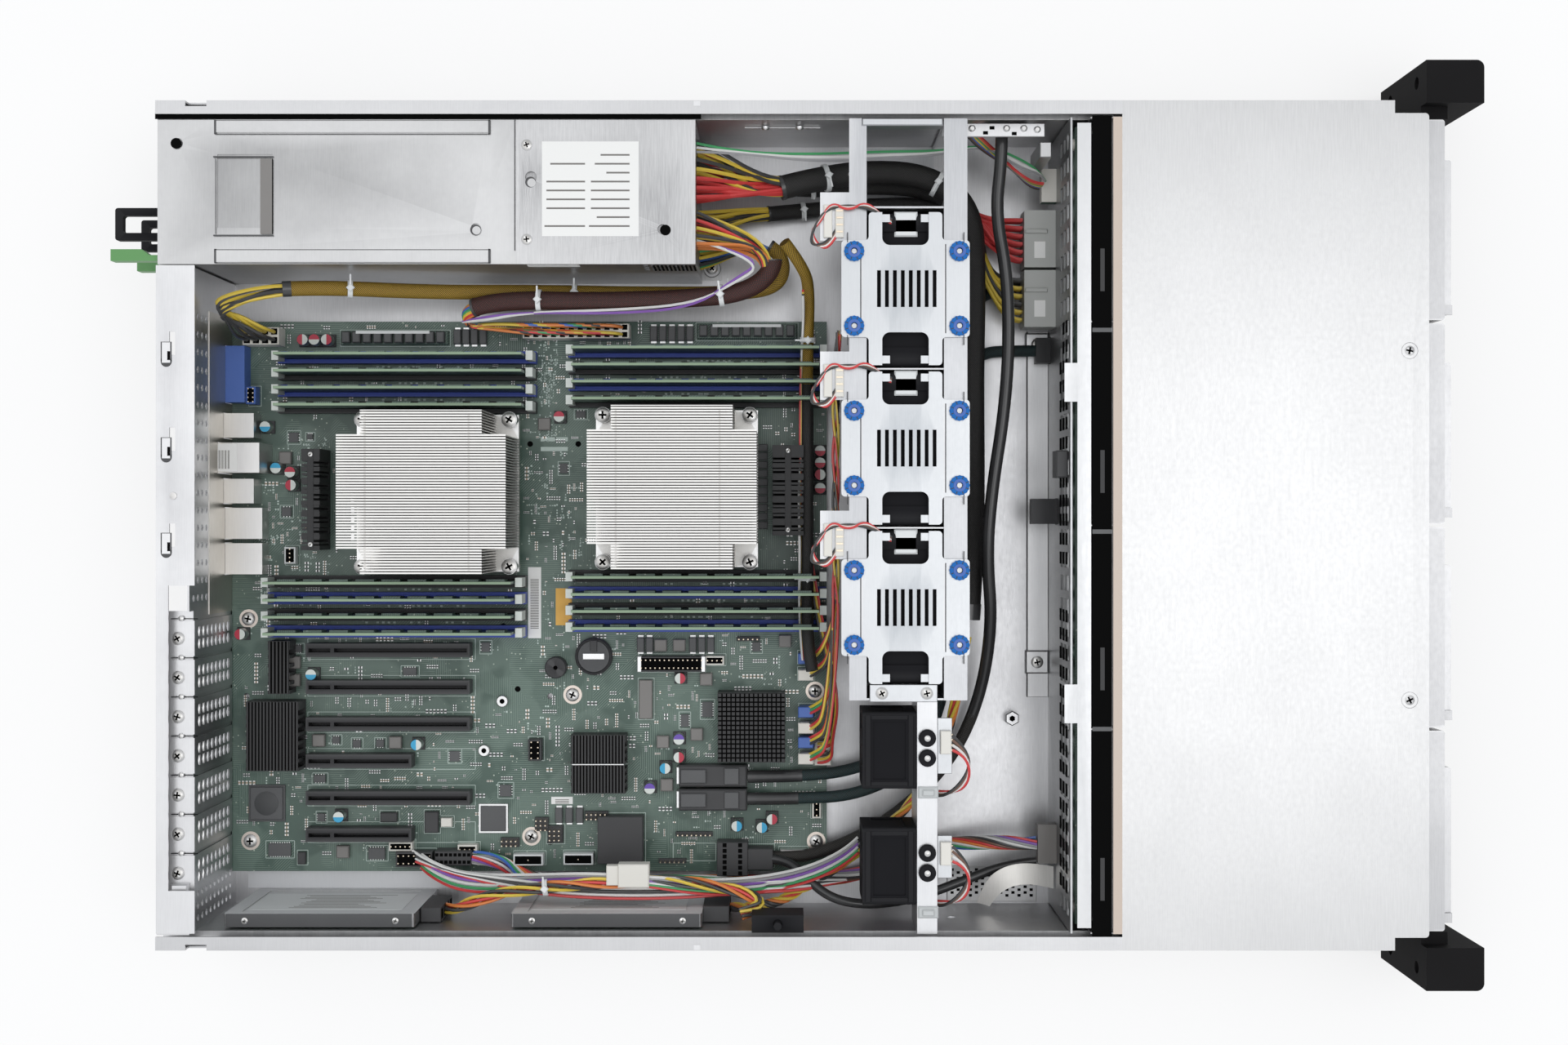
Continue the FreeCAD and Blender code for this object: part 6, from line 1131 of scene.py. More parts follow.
def power_cables():
    """Sleeved power bundles with their wires bare at both ends, and their plugs."""
    piece = Piece("power_wiring", slot="cable_sleeve")
    trunk, right, left = smooth_line(TRUNK, 8), smooth_line(TO_PLUG_RIGHT, 8), smooth_line(TO_PLUG_LEFT, 8)
    board, processor, drive = smooth_line(TO_BOARD, 8), smooth_line(TO_PROCESSOR, 8), smooth_line(TO_DRIVE, 8)
    out = (0, -1, 0)
    fan_out(piece, trunk, 46, grid((170, 206), (BUNDLE_Y, BUNDLE_Y), (46, 72), (7, 1, 3)), out,
            ["red", "red", "red", "yellow", "black", "yellow", "black"] * 3, 5.6, 1.15)
    sleeve(piece, trunk, 52, 0, 6.5, "black")
    fan_out(piece, right, 42, grid((176, 206), (BUNDLE_Y, BUNDLE_Y), (12, 36), (6, 1, 2)), out, ["red"] * 12,
            3.6, 1.1)
    sleeve(piece, right, 48, -34, 4.5, "black")
    fan_out(piece, left, 40, grid((156, 172), (BUNDLE_Y, BUNDLE_Y), (12, 36), (4, 1, 3)), out,
            ["yellow", "black", "yellow", "yellow"] * 3, 3.4, 1.1)
    sleeve(piece, left, 46, -34, 4.2, "black")
    for line, x, colours in ((right, 156, ["red"] * 18), (left, 123.5, ["yellow", "yellow", "black"] * 6)):
        back = line[::-1]
        height = 22 if x > 140 else 19
        cells = grid((x - 13, x + 13), (-126.2, -126.2), (height - 7, height + 7), (6, 1, 3))
        fan_out(piece, back, 32, cells, (0, 1, 0), colours, 3.6, 1.1)
    fan_out(piece, board, 50, grid((146, 168), (BUNDLE_Y, BUNDLE_Y), (44, 72), (5, 1, 4)), out,
            ["orange", "yellow", "red", "black", "yellow", "orange", "black", "yellow", "red", "black"] * 2,
            4.2, 1.0)
    sleeve(piece, board, 56, -58, 5, "mixed")
    colours = ["orange", "yellow", "black", "orange", "red", "blue", "green", "yellow", "red", "orange",
               "black", "orange", "orange", "blue", "yellow", "green", "red", "orange", "red", "black",
               "yellow", "orange"]
    near = around(board[::-1], 52, 22, 4.0)
    far = around(board[::-1], 66, 22, 3.0)
    for number in range(22):
        row, column = number % 2, number // 2
        y = 143 - column * 5.0
        x = 104.6 + row * 3.9
        high = 27.5 + (10 - column) * 0.35 + row * 1.2
        lead(piece, [(x, y, 23), (x, y + 1, high), (x + 0.6, y + 9, high + 1.5),
                     (107 + row * 2.4, 166, 31 + row), (107.6, 176, 33), near[number], far[number]],
             colours[number], 0.95)
    plug(piece, (102.5, 89, BOARD_TOP), (110.5, 147.5, 24), PLUG_WHITE, 12, 2, "+z")
    for number in range(12):
        piece.block((110.6, 91.5 + number * 4.8, BOARD_TOP + 2), (1.0, 2.2, 8), PLUG_WHITE, edge=0.3)
    fan_out(piece, processor, 40, grid((138, 154), (BUNDLE_Y, BUNDLE_Y), (18, 40), (4, 1, 3)), out,
            ["yellow", "black", "black", "yellow", "green", "blue"] * 2, 3.2, 1.0)
    sleeve(piece, processor, 46, -72, 4, "gold")
    near = around(processor[::-1], 64, 8, 3.2)
    far = around(processor[::-1], 78, 8, 2.4)
    for number in range(8):
        row, column = number % 2, number // 2
        x, y = 101.6 + row * 4.4, 283.6 + column * 4.9
        swing = (number - 3.5) * 1.3
        lead(piece, [(x, y, 23), (x, y, 30), (x + 1, y + 3, 38), (x + 8, 300 + swing * 0.4, 50 + swing),
                     (115 + swing, 306.5, 60 + swing * 0.5), near[number], far[number]],
             "yellow" if row else "black", 1.05)
    plug(piece, (99, 281, BOARD_TOP), (108.6, 301, 24), PLUG_WHITE, 4, 2, "+z")
    colours = ["red", "yellow", "black", "black", "orange", "yellow"]
    for laid, colour in zip(strands(drive, 6, 1.9, 5), colours):
        piece.tube(laid, 0.95, WIRE[colour], sides=6)
    plug(piece, (-211, 33.3, 20), (-202.5, 47.3, 56), SOCKET_BLACK, 4, 1, "-y")
    for line, lengths, radius in ((trunk, (78, 140), 6.5), (right, (70,), 4.5), (left, (66,), 4.2),
                                  (board, (92, 190), 5), (processor, (96, 180, 300), 4),
                                  (drive, (60, 130), 2.9)):
        for at in lengths:
            tie(piece, line, at, radius)
    made = piece.done()
    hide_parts("power_harness")


def data_wiring():
    """Drive data cables in round sleeves, the front panel's cable, a ribbon of wires, and their plugs."""
    piece = Piece("data_wiring", slot="cable_sleeve")
    for points, collar in ((DATA_RIGHT, 30), (DATA_LEFT, 28)):
        line = smooth_line(points, 8)
        piece.tube(line, 3.2, BRAIDS["teal"], sides=14)
        piece.tube(part_of(line, 0, collar), 3.5, GLOSS_BLACK, sides=14)
    panel = smooth_line(FRONT_PANEL, 8)
    piece.tube(part_of(panel, 0, 320), 3.3, GLOSS_BLACK, sides=14)
    piece.tube(part_of(panel, 318, 0), 3.3, BRAIDS["grey"], sides=14)
    ribbon = smooth_line(RIBBON, 8)
    shades = ["white", "grey", "purple", "blue", "green", "white", "orange", "red", "brown", "black",
              "white", "grey", "purple", "red"]
    for number, laid in enumerate(strands(ribbon, 14, 3.1, 3)):
        piece.tube(laid, 0.82, WIRE[shades[number]], sides=6)
    plug(piece, (-192.5, 24, BOARD_TOP), (-174, 41, BOARD_TOP + 13), SOCKET_BLACK, 2, 6, "+z")
    low = BOARD_TOP
    for left, right in ((-157, -145.2), (-143.8, -132)):
        middle = (left + right) / 2
        piece.block((middle, 43.3, low), (right - left, 37.4, 11), SOCKET_BLACK, edge=0.8)
        piece.block((middle, 54, low + 11), (7.5, 14, 1.6), CHIP, edge=0.4)
        piece.block((middle, 33, low + 11), (9, 8, 1.2), CHIP, edge=0.3)
        piece.block((middle, 62, low), (9.5, 3, 9), TIN, edge=0.3)
    plug(piece, (-187, 176, BOARD_TOP), (-179, 196, BOARD_TOP + 12), SOCKET_BLACK, 8, 2, "+z")
    piece.block((208.5, -113, 50), (2, 22, 20), SOCKET_BLACK, edge=0.3)
    made = piece.done()
    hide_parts("data_cables")


def loose_wires():
    """Thin wires beside the bundles: along the left wall, beside the supplies and to the backplane."""
    piece = Piece("loose_wires", slot="cable_sleeve")
    drive_set = ["red", "yellow", "black", "yellow", "black", "orange"]
    route = [(-205.5, 27, 62), (-201, 12, 60), (-193, 30, 56), (-189, 62, 54), (-190.5, 100, 53),
             (-192, 128, 55), (-196, 158, 56), (-205, 180, 50), (-207, 186.5, 40)]
    line = smooth_line(route, 6)
    for laid, colour in zip(strands(line, 6, 2.5, 3), drive_set):
        piece.tube(laid, 0.9, WIRE[colour], sides=6)
    tie(piece, line, 128, 3.4)
    plug(piece, (-211, 186.6, 20), (-203.4, 197.3, 56), SOCKET_BLACK, 4, 1, "-y")
    piece.block((-186, 84, 50), (12.5, 16.5, 9), PLUG_WHITE, edge=0.6)
    piece.block((-186, 95, 51.5), (10.5, 7, 6), PLUG_WHITE, edge=0.4)
    for step, colour in enumerate(("white", "grey", "purple", "white", "green", "red")):
        shift = step * 1.7
        lead(piece, [(-181 - shift * 0.9, 204, 18), (-184 - shift, 198, 26), (-190 - shift, 176, 33 + shift),
                     (-188 - shift, 140, 44), (-186 - shift * 0.6, 108, 50), (-186 - shift * 0.5, 84, 58),
                     (-190 - shift, 40, 52), (-188 - shift, 0, 38), (-178 - shift, -28, 31),
                     (-170 - shift, -36, 30)],
             colour, 0.8)
    for step, colour in enumerate(("red", "white", "black", "white")):
        shift = step * 1.8
        lead(piece, [(-185 + shift, 209, 17), (-188, 192, 30), (-196 + shift, 150, 44),
                     (-199 + shift, 118, 50), (-200 + shift, 70, 50), (-197 + shift, 20, 46),
                     (-198 + shift, -10, 34), (-194, -30, 26)],
             colour, 0.8)
    heads = (-73.2, -82.3, -102.6, -111.3, -119.3, -128.2)
    for step in range(18):
        head = heads[step % 6] + (step // 6 - 1) * 1.7
        turn = step * 2.1
        points = [(104 - step % 3, -25 + math.sin(turn), 52)]
        for stage in range(7):
            swing = turn + stage * 1.9
            points.append((84 - stage * 22 + math.sin(swing) * 1.5, -23.6 + math.cos(swing) * 2.4,
                           49 - stage * 1.4 + math.sin(swing) * 1.8))
        points = [point for point in points if point[0] > head + 16]
        points += [(head + 9, -19.5 + math.cos(turn) * 2, 36), (head + 2, -12, 27), (head, -8.4, 20)]
        lead(piece, points, ("yellow", "red", "black", "yellow", "red", "green")[(step // 6 + step * 2) % 6],
             0.8)
    for number, head in enumerate(heads):
        chosen = PORT_BLUE if number in (0, 2, 4) else PLUG_WHITE
        piece.block((head, -7.8, BOARD_TOP + 9), (5.8, 8.4, 5), chosen, edge=0.4)
    for step, colour in enumerate(("purple", "white")):
        shift = step * 2.0
        lead(piece, [(152, BUNDLE_Y, 64 + shift), (148, 40, 64), (139 - shift, 16, 62), (131 - shift, 30, 58),
                     (116 + shift, 52, 53), (113 + shift, 96, 50), (114, 140, 50), (111.5 - shift, 168, 46),
                     (110, 178, 38)], colour, 0.75)
    for step, colour in enumerate(("green", "white", "grey")):
        lead(piece, [(202 - step * 3, BUNDLE_Y, 70), (196, 30, 68), (196 - step * 2, -10, 62),
                     (199 - step * 2, -50, 55), (200 - step, -80, 50), (204, -104, 48),
                     (196 - step * 3, -124, 46), (190, -134, 42), (186, -137, 38)], colour, 0.75)
    for step, colour in enumerate(("red", "orange", "green", "yellow", "blue", "brown", "black")):
        z = 40 - step * 2.8
        lead(piece, [(184.5, -136, z), (184.5, -131, z), (190 + step * 0.8, -120, z + 6),
                     (199, -112 + step, 44), (204, -104 + step * 1.2, 52), (209.3, -97 + step, 56)], colour,
             0.8)
    jacket = smooth_line([(-183.5, 12, 19), (-184, 2, 22), (-190, -6, 30), (-202, -20, 36), (-206, -40, 36),
                          (-204, -66, 30), (-196, -92, 22), (-186, -118, 22), (-184, -134, 24)], 6)
    piece.tube(jacket, 2.6, GLOSS_BLACK, sides=12)
    for column, x in enumerate((-120.4, -128.9)):
        for step, colour in enumerate(("red", "yellow", "black")):
            lead(piece, [(x - 2 + step * 2, -14.3, 18), (x - 2 + step * 2, -22.3, 20),
                         (x + 6 + step * 2 + column * 4, -22, 26), (-96 + step, -26 + step, 34),
                         (-60, -18 + step * 1.5, 30), (-20 + step, -11 + step * 1.4, 26)], colour, 0.8)
    piece.done()


def rear_bundle():
    """Gold sleeve down the rear face of the fan row with fan leads beside it."""
    piece = Piece("rear_fan_wiring", slot="cable_sleeve")
    line = smooth_line([(150, 4, 60), (138, -6, 52), (128, -9.5, 40), (96, -8.5, 34), (50, -8.5, 30),
                        (4, -8.5, 30), (-40, -8.5, 30), (-66, -8.5, 34), (-84, -12, 38)], 6)
    piece.tube(part_of(line, 0, 84), 3.2, BRAIDS["gold"], sides=12)
    piece.tube(part_of(line, 84, 0), 3.4, BRAIDS["black"], sides=12)
    for step, colour in enumerate(("red", "yellow", "black", "white")):
        lead(piece, [(126 - step, -6, 48), (112, -6.5, 38 + step), (88 + step, -5, 34),
                     (50, -4.5 - step * 0.6, 31), (20, -5 + step * 0.5, 30), (-14, -4.5, 31 + step),
                     (-50, -5 + step * 0.4, 29), (-74, -6, 24)],
             colour, 0.75)
    tie(piece, line, 60, 3.4)
    tie(piece, line, 190, 3.6)
    piece.done()


# ---------------------------------------------------------------- main board

CAPACITOR_BANDS = {"red": CAP_RED, "blue": CAP_BLUE, "violet": CAP_VIOLET}
CAPACITORS = [
    ("red", [(-84.4, 61.4), (-127.9, 62.1), (-162, 10.8), (-60.1, 303.9), (29.3, 276.3), (22.1, 275.9),
             (102.3, 269.5), (102.3, 263), (102.3, 256.2), (59.9, 128.1), (41, -15.7), (34.4, -15.7),
             (27.9, -15.7), (20.4, -15.7)]),
    ("blue", [(-134, 69.7), (-165.8, 30.2), (-166.6, 16.4), (-64.2, -8.5), (-82.3, 264.8), (-121, 206.8),
              (-160.8, 249.6), (54.3, 290), (31.5, 284.2)]),
    ("violet", [(-118, 62.1), (-145.1, 78.2)]),
]
CHOKES = [(-120, 71.3), (-115.9, 52.5), (-143.9, 69.1), (-85.3, 47.3), (-64.2, 3.6), (-66.6, 72.5),
          (-66.6, 62.2), (-180.9, 248.5), (-119.2, 261.9), (-120.4, 219.4), (-76, 275.5), (-85.8, 275.5),
          (37.3, 280.3), (56, 136.9)]
BOARD_TAKEN = []
# Chips as (x, y, across, front to back).
CHIPS = [(-102.2, 46.7, 9.8, 6.6), (-147.2, 158.6, 7.5, 7.3), (-108.4, 59.2, 8.1, 5), (-67.4, 19.5, 6.1, 5.3),
         (-180, 283.8, 8.2, 14.5), (-182.1, 230, 7.3, 10.7), (-128.2, 186.9, 6.6, 6.3),
         (-119.2, 252.6, 4.4, 4.8), (-121.2, 241.1, 4.9, 5.1), (-121, 228.2, 4.7, 5.1),
         (-140.6, 261.7, 4.7, 7.5), (-81.1, 211.7, 4.8, 8.7), (-68.5, 275, 4.4, 8),
         (-162.1, 260.8, 5.2, 4.8), (-67.7, 169.7, 6.1, 5.3), (48.7, 276.1, 6.1, 6.1),
         (49.1, 267.1, 3.5, 3.9), (7.5, 280.1, 5.7, 6.1), (31.5, 126.4, 6.3, 5), (61.5, 116.9, 4.3, 6.1)]
POWER_STAGES = [(-66.2, 83.6), (-66.2, 78.7), (-66.2, 54.7), (-66.2, 49.8), (-66.2, 44.8), (-160.8, 128.9),
                (-160.8, 123.2), (-160.8, 117.4), (104.4, 185.1), (104.4, 180.4), (104.4, 175.8),
                (104.4, 170.9), (106.2, 76.4), (106.2, 71.4), (106.2, 66.3), (106.2, 61.2), (106.2, 56.3)]
BOARD_SCREWS = [(-94.1, 121.5), (-172.7, 144.3), (-175.4, -13.7), (-175.2, 300.2), (-51.9, 301.3), (-92, -13),
                (-96, 165)]


def capacitors():
    """Round aluminium capacitors with a coloured band on half of the top."""
    piece = Piece("board_capacitors", slot="nickel_steel")
    for band, places in CAPACITORS:
        for x, y in places:
            piece.block((x, y, BOARD_TOP), (7, 7, 1.2), SOCKET_BLACK, edge=0.3)
            piece.turned((x, y, BOARD_TOP + 1.2), [(3.1, 0), (3.15, 0.5), (3.15, 7.2), (2.9, 7.6)], TIN,
                         caps=(False, False))
            turn = random.choice((0, 90, 180, 270))
            for finish, start in ((LATCH_WHITE, 0), (CAPACITOR_BANDS[band], 180)):
                arc = [(x + 2.9 * math.cos(math.radians(start + turn + step * 15)),
                        y + 2.9 * math.sin(math.radians(start + turn + step * 15)), BOARD_TOP + 8.8)
                       for step in range(13)]
                piece.add(arc, [list(range(13))], finish)
    piece.done()


def chips():
    """Black packages with tinned legs, grey chokes and rows of power stages."""
    piece = Piece("board_chips", slot="black_plastic")
    for x, y, wide, deep in CHIPS:
        piece.block((x, y, BOARD_TOP + 0.1), (wide * 0.86, deep * 0.86, 1.3), CHIP, edge=0.15)
        along_x = wide >= deep
        span = (wide if along_x else deep) * 0.8
        count = max(3, int(span / LEG_PITCH))
        for leg in range(count):
            shift = -span / 2 + span * (leg + 0.5) / count
            for side in (-0.46, 0.46):
                spot = (x + shift, y + side * deep) if along_x else (x + side * wide, y + shift)
                size = (0.45, 0.8, 0.5) if along_x else (0.8, 0.45, 0.5)
                piece.block((*spot, BOARD_TOP), size, TIN)
    for x, y in CHOKES:
        piece.block((x, y, BOARD_TOP), (6.8, 6.8, 3.6), CHOKE, edge=0.5)
    for x, y in POWER_STAGES:
        piece.block((x, y, BOARD_TOP), (8.2, 4.0, 3.2), CHIP, edge=0.4)
        for side in (-4.6, 4.6):
            piece.block((x + side, y, BOARD_TOP), (1.2, 3.0, 0.8), TIN)
    for x, y, size, rim in ((-162.7, 165.4, 14, TIN), (-154.2, 291, 18, CHIP_EDGE)):
        piece.block((x, y, BOARD_TOP), (size + 2.4, size + 2.4, 0.9), rim, edge=0.2)
        piece.block((x, y, BOARD_TOP + 0.5), (size, size, 1.4), CHIP, edge=0.3)
    piece.turned((-154.2, 291, BOARD_TOP + 1.8), [(6.6, 0), (6.6, 0.35), (6.2, 0.5)], CHIP_EDGE, sides=32)
    piece.done()


# Rows of small parts, and how much a try that finds no room counts, so that the loop ends.
SMALL_PARTS = 900
MISS = 0.02


def small_parts():
    """Hundreds of chip resistors and capacitors in short rows."""
    piece = Piece("board_small_parts", slot="nickel_steel")
    dense = [(-186, -60, -16, 100), (-186, -104, 100, 175), (-186, -60, 175, 305), (-56, 108, 118, 148),
             (-56, 40, 258, 292), (-56, 108, -18, 6), (100, 111, 84, 300), (-130, -60, 20, 140),
             (-186, 100, -16, 300)]
    taken = [(x, y, 5.5, 5.5) for _, places in CAPACITORS for x, y in places]
    taken += [(x, y, 5.2, 5.2) for x, y in CHOKES] + [(x, y, 6.5, 3.5) for x, y in POWER_STAGES]
    taken += [(x, y, wide / 2 + 1.4, deep / 2 + 1.4) for x, y, wide, deep in CHIPS]
    taken += [(x, y, 6, 6) for x, y in BOARD_SCREWS] + BOARD_TAKEN
    placed = 0
    while placed < SMALL_PARTS:
        left, right, near, far = random.choice(dense)
        x, y = random.uniform(left, right), random.uniform(near, far)
        along_x = random.random() < 0.5
        count = random.choice((1, 2, 3, 4, 4, 5, 6))
        long, short = random.choice(((1.6, 0.8), (1.6, 0.8), (2.0, 1.2), (1.0, 0.5)))
        pitch = short * 1.7
        reach = count * pitch / 2 + 1
        wide, deep = (reach, long) if along_x else (long, reach)
        if any(abs(x - spot[0]) < spot[2] + wide and abs(y - spot[1]) < spot[3] + deep for spot in taken):
            placed += MISS
            continue
        body = random.choice((RESISTOR, RESISTOR, CERAMIC, CERAMIC, CHIP))
        for step in range(count):
            shift = (step - (count - 1) / 2) * pitch
            spot = (x + shift, y) if along_x else (x, y + shift)
            size = (short, long * 0.62, 0.55) if along_x else (long * 0.62, short, 0.55)
            piece.block((*spot, BOARD_TOP), size, body)
            for end in (-1, 1):
                out = end * long * 0.4
                tip = (spot[0], spot[1] + out) if along_x else (spot[0] + out, spot[1])
                size = (short, long * 0.24, 0.6) if along_x else (long * 0.24, short, 0.6)
                piece.block((*tip, BOARD_TOP), size, TIN)
        taken.append((x, y, wide, deep))
        placed += 1
    piece.done()


# Connectors as (x, y, across, front to back, height, finish, pin columns, pin rows).
CONNECTORS = [
    (-76.5, 66.2, 8.6, 35.9, 9, "black", 2, 14), (-74.7, 42.5, 5.1, 10.6, 7, "white", 1, 4),
    (-96.4, 80.7, 21.5, 7.3, 4, "grey", 0, 0), (-73.2, -8.1, 5.9, 8, 9, "blue", 1, 3),
    (-102.6, -8.6, 5.9, 8, 9, "blue", 1, 3), (-119.3, -8.6, 5.9, 8, 9, "blue", 1, 3),
    (-82.3, -8.1, 5.9, 8, 9, "white", 1, 3), (-111.3, -8.8, 5.9, 8, 9, "white", 1, 3),
    (-128.2, -9, 5.9, 8, 9, "white", 1, 3), (-120.4, -17.2, 7, 9, 8, "white", 0, 0),
    (-128.9, -17.2, 7, 9, 8, "white", 0, 0), (-173.4, 94.3, 26, 25, 10, "black", 0, 0),
    (-184.6, 145.2, 6.2, 16.4, 8, "cream", 1, 1), (-184.2, 117.6, 6.2, 16.4, 8, "cream", 1, 1),
    (-171.3, 130.9, 9.6, 8.6, 2, "black", 0, 0), (-183.5, 22.7, 11.6, 25, 12, "black", 0, 0),
    (-182.2, -1, 6.3, 14.6, 7, "steel", 0, 0), (-157, -13.8, 9.8, 4.9, 6, "white", 3, 1),
    (-124, 141.6, 11.8, 7.3, 8, "black", 4, 2), (-184.2, 207.9, 8.3, 20.2, 9, "black", 2, 7),
    (-177.5, 215.9, 5, 13, 6, "white", 1, 5), (-178.9, 178.9, 5, 10.7, 7, "white", 1, 4),
    (-164.5, 199.4, 11.6, 7.5, 3, "black", 0, 0), (-164.5, 191, 4.9, 6, 4, "white", 0, 0),
    (-161.8, 223.1, 5.2, 9.2, 3, "black", 0, 0), (-184.5, 271.4, 6.6, 4.3, 3, "black", 0, 0),
    (71.6, 297.8, 9.6, 5.4, 9, "blue", 4, 2), (-16.7, 277, 9.3, 6.3, 6, "cream", 4, 1),
    (103.8, 219.9, 7.5, 59.5, 3, "board", 0, 0), (107.4, 24.7, 8.3, 55.1, 3, "board", 0, 0),
]
PIN_ROWS = [(-165.7, 138.4, 3, 3), (-175.7, 156, 2, 4), (-171.1, 53.9, 1, 8), (-171.3, 130.9, 3, 3),
            (-161, 108, 2, 5), (-186, 66, 1, 6), (-63, 24, 1, 5)]
CONNECTOR_FINISH = {"black": SOCKET_BLACK, "white": PLUG_WHITE, "blue": PORT_BLUE, "grey": CHOKE,
                    "steel": PORT, "cream": LABEL_PALE, "board": BOARD}


def connectors():
    """Headers, sockets, pins, battery, buzzer, screws, holes, labels and regulator rows of the main board."""
    piece = Piece("board_connectors", slot="socket_plastic")
    for x, y, wide, deep, high, finish, columns, rows in CONNECTORS:
        BOARD_TAKEN.append((x, y, wide / 2 + 0.5, deep / 2 + 0.5))
        chosen = CONNECTOR_FINISH[finish]
        piece.block((x, y, BOARD_TOP), (wide, deep, high), chosen, edge=0.4)
        if columns and rows:
            top = BOARD_TOP + high
            piece.block((x, y, top), (wide - 1.8, deep - 1.8, 0.04), HOLE)
            for column in range(columns):
                for row in range(rows):
                    piece.block((share(x, wide, column, columns), share(y, deep, row, rows), top),
                                (PIN, PIN, 0.5), GOLD)
    for x, y, columns, rows in PIN_ROWS:
        BOARD_TAKEN.append((x, y, columns * 1.3, rows * 1.3))
        piece.block((x, y, BOARD_TOP), (columns * PIN_PITCH, rows * PIN_PITCH, 2.4), SOCKET_BLACK, edge=0.2)
        for column in range(columns):
            for row in range(rows):
                piece.block((x + (column - (columns - 1) / 2) * PIN_PITCH,
                             y + (row - (rows - 1) / 2) * PIN_PITCH, BOARD_TOP + 2.4), (PIN, PIN, 5.4), GOLD)
    for x, y, count, span in ((103.8, 219.9, 10, 58), (107.4, 24.7, 9, 54)):
        for step in range(count):
            piece.block((x, share(y, span, step, count), BOARD_TOP + 3), (6.2, 4.4, 4.6), CHIP, edge=0.5)
        piece.block((x + 2.6, y, BOARD_TOP + 7.6), (1.6, span * 0.7, 0.2), LABEL_PALE)
    for end in (-17.6, 17.6):
        piece.block((-76.5, 66.2 + end, BOARD_TOP), (8.8, 2.4, 9.4), TIN, edge=0.3)
    battery = (-72.6, 109.5)
    piece.turned((*battery, BOARD_TOP), [(10.4, 0), (10.4, 3.4), (9.6, 4.2), (8.8, 3.6)], SOCKET_BLACK,
                 sides=36, caps=(False, False))
    piece.turned((*battery, BOARD_TOP), [(8.8, 3.2), (8.6, 3.7), (7.8, 3.8)], CHIP, sides=36)
    piece.block((*battery, BOARD_TOP + 3.8), (3.4, 12, 0.6), TIN, edge=0.2)
    piece.block((-66.8, 109.5, BOARD_TOP + 3.2), (6.4, 3.8, 1.4), SOCKET_BLACK, edge=0.3)
    piece.turned((-78.6, 130.2, BOARD_TOP), [(6, 0), (6, 7), (5.4, 7.6), (1.2, 7.6)], SOCKET_BLACK, sides=28,
                 caps=(False, False))
    piece.turned((-78.6, 130.2, BOARD_TOP + 6), [(1.2, 1.6), (1.1, 0)], HOLE, sides=12, caps=(False, True))
    for x, y in ((-97.5, 160.2), (-124.8, 170.3)):
        piece.turned((x, y, BOARD_TOP), [(3.3, 0), (3.3, 3), (2.9, 3.4), (1.4, 3.4)], TIN, sides=18,
                     caps=(False, False))
        piece.turned((x, y, BOARD_TOP + 2.2), [(1.4, 1.2), (1.3, 0)], HOLE, sides=12, caps=(False, True))
    for x, y in BOARD_SCREWS[:-1]:
        piece.turned((x, y, BOARD_TOP), [(5.2, 0.0), (5.2, 0.12)], COPPER, sides=28)
        screw(piece, x, y, BOARD_TOP + 0.1, 3.7, 1.8)
    for x, y in ((45.1, 145.1), (45.1, 118.4), (-56, 160), (-91, 152)):
        piece.turned((x, y, BOARD_TOP), [(1.6, 0), (1.6, 0.06)], HOLE, sides=16)
        BOARD_TAKEN.append((x, y, 2, 2))
    for x, y, wide, deep in ((-43, 142.6, 39.4, 7.2), (-152.8, 127.4, 4, 11.9)):
        piece.block((x, y, BOARD_TOP), (wide, deep, 0.14), LABEL_WHITE)
        spots(piece, [(x - wide * 0.36 + step * 0.9, y) for step in range(int(wide * 0.8))], 0.22,
              deep * 0.32, BOARD_TOP + 0.16, CHOKE)
        BOARD_TAKEN.append((x, y, wide / 2, deep / 2))
    piece.block((-45.3, 126.4, BOARD_TOP), (20.5, 9, 0.14), LABEL_YELLOW)
    BOARD_TAKEN.append((-45.3, 126.4, 10.5, 4.6))
    for x, y, wide, shift in ((16.2, 256.6, 51, -9), (21.5, 7.2, 47.7, 9)):
        for step in range(10):
            place = share(x, wide, step, 10)
            piece.block((place, y + shift, BOARD_TOP), (4.0, 6, 2.4), CHIP, edge=0.3)
            piece.block((place, y + shift * 1.45, BOARD_TOP), (3.4, 2, 0.8), TIN)
    piece.done()


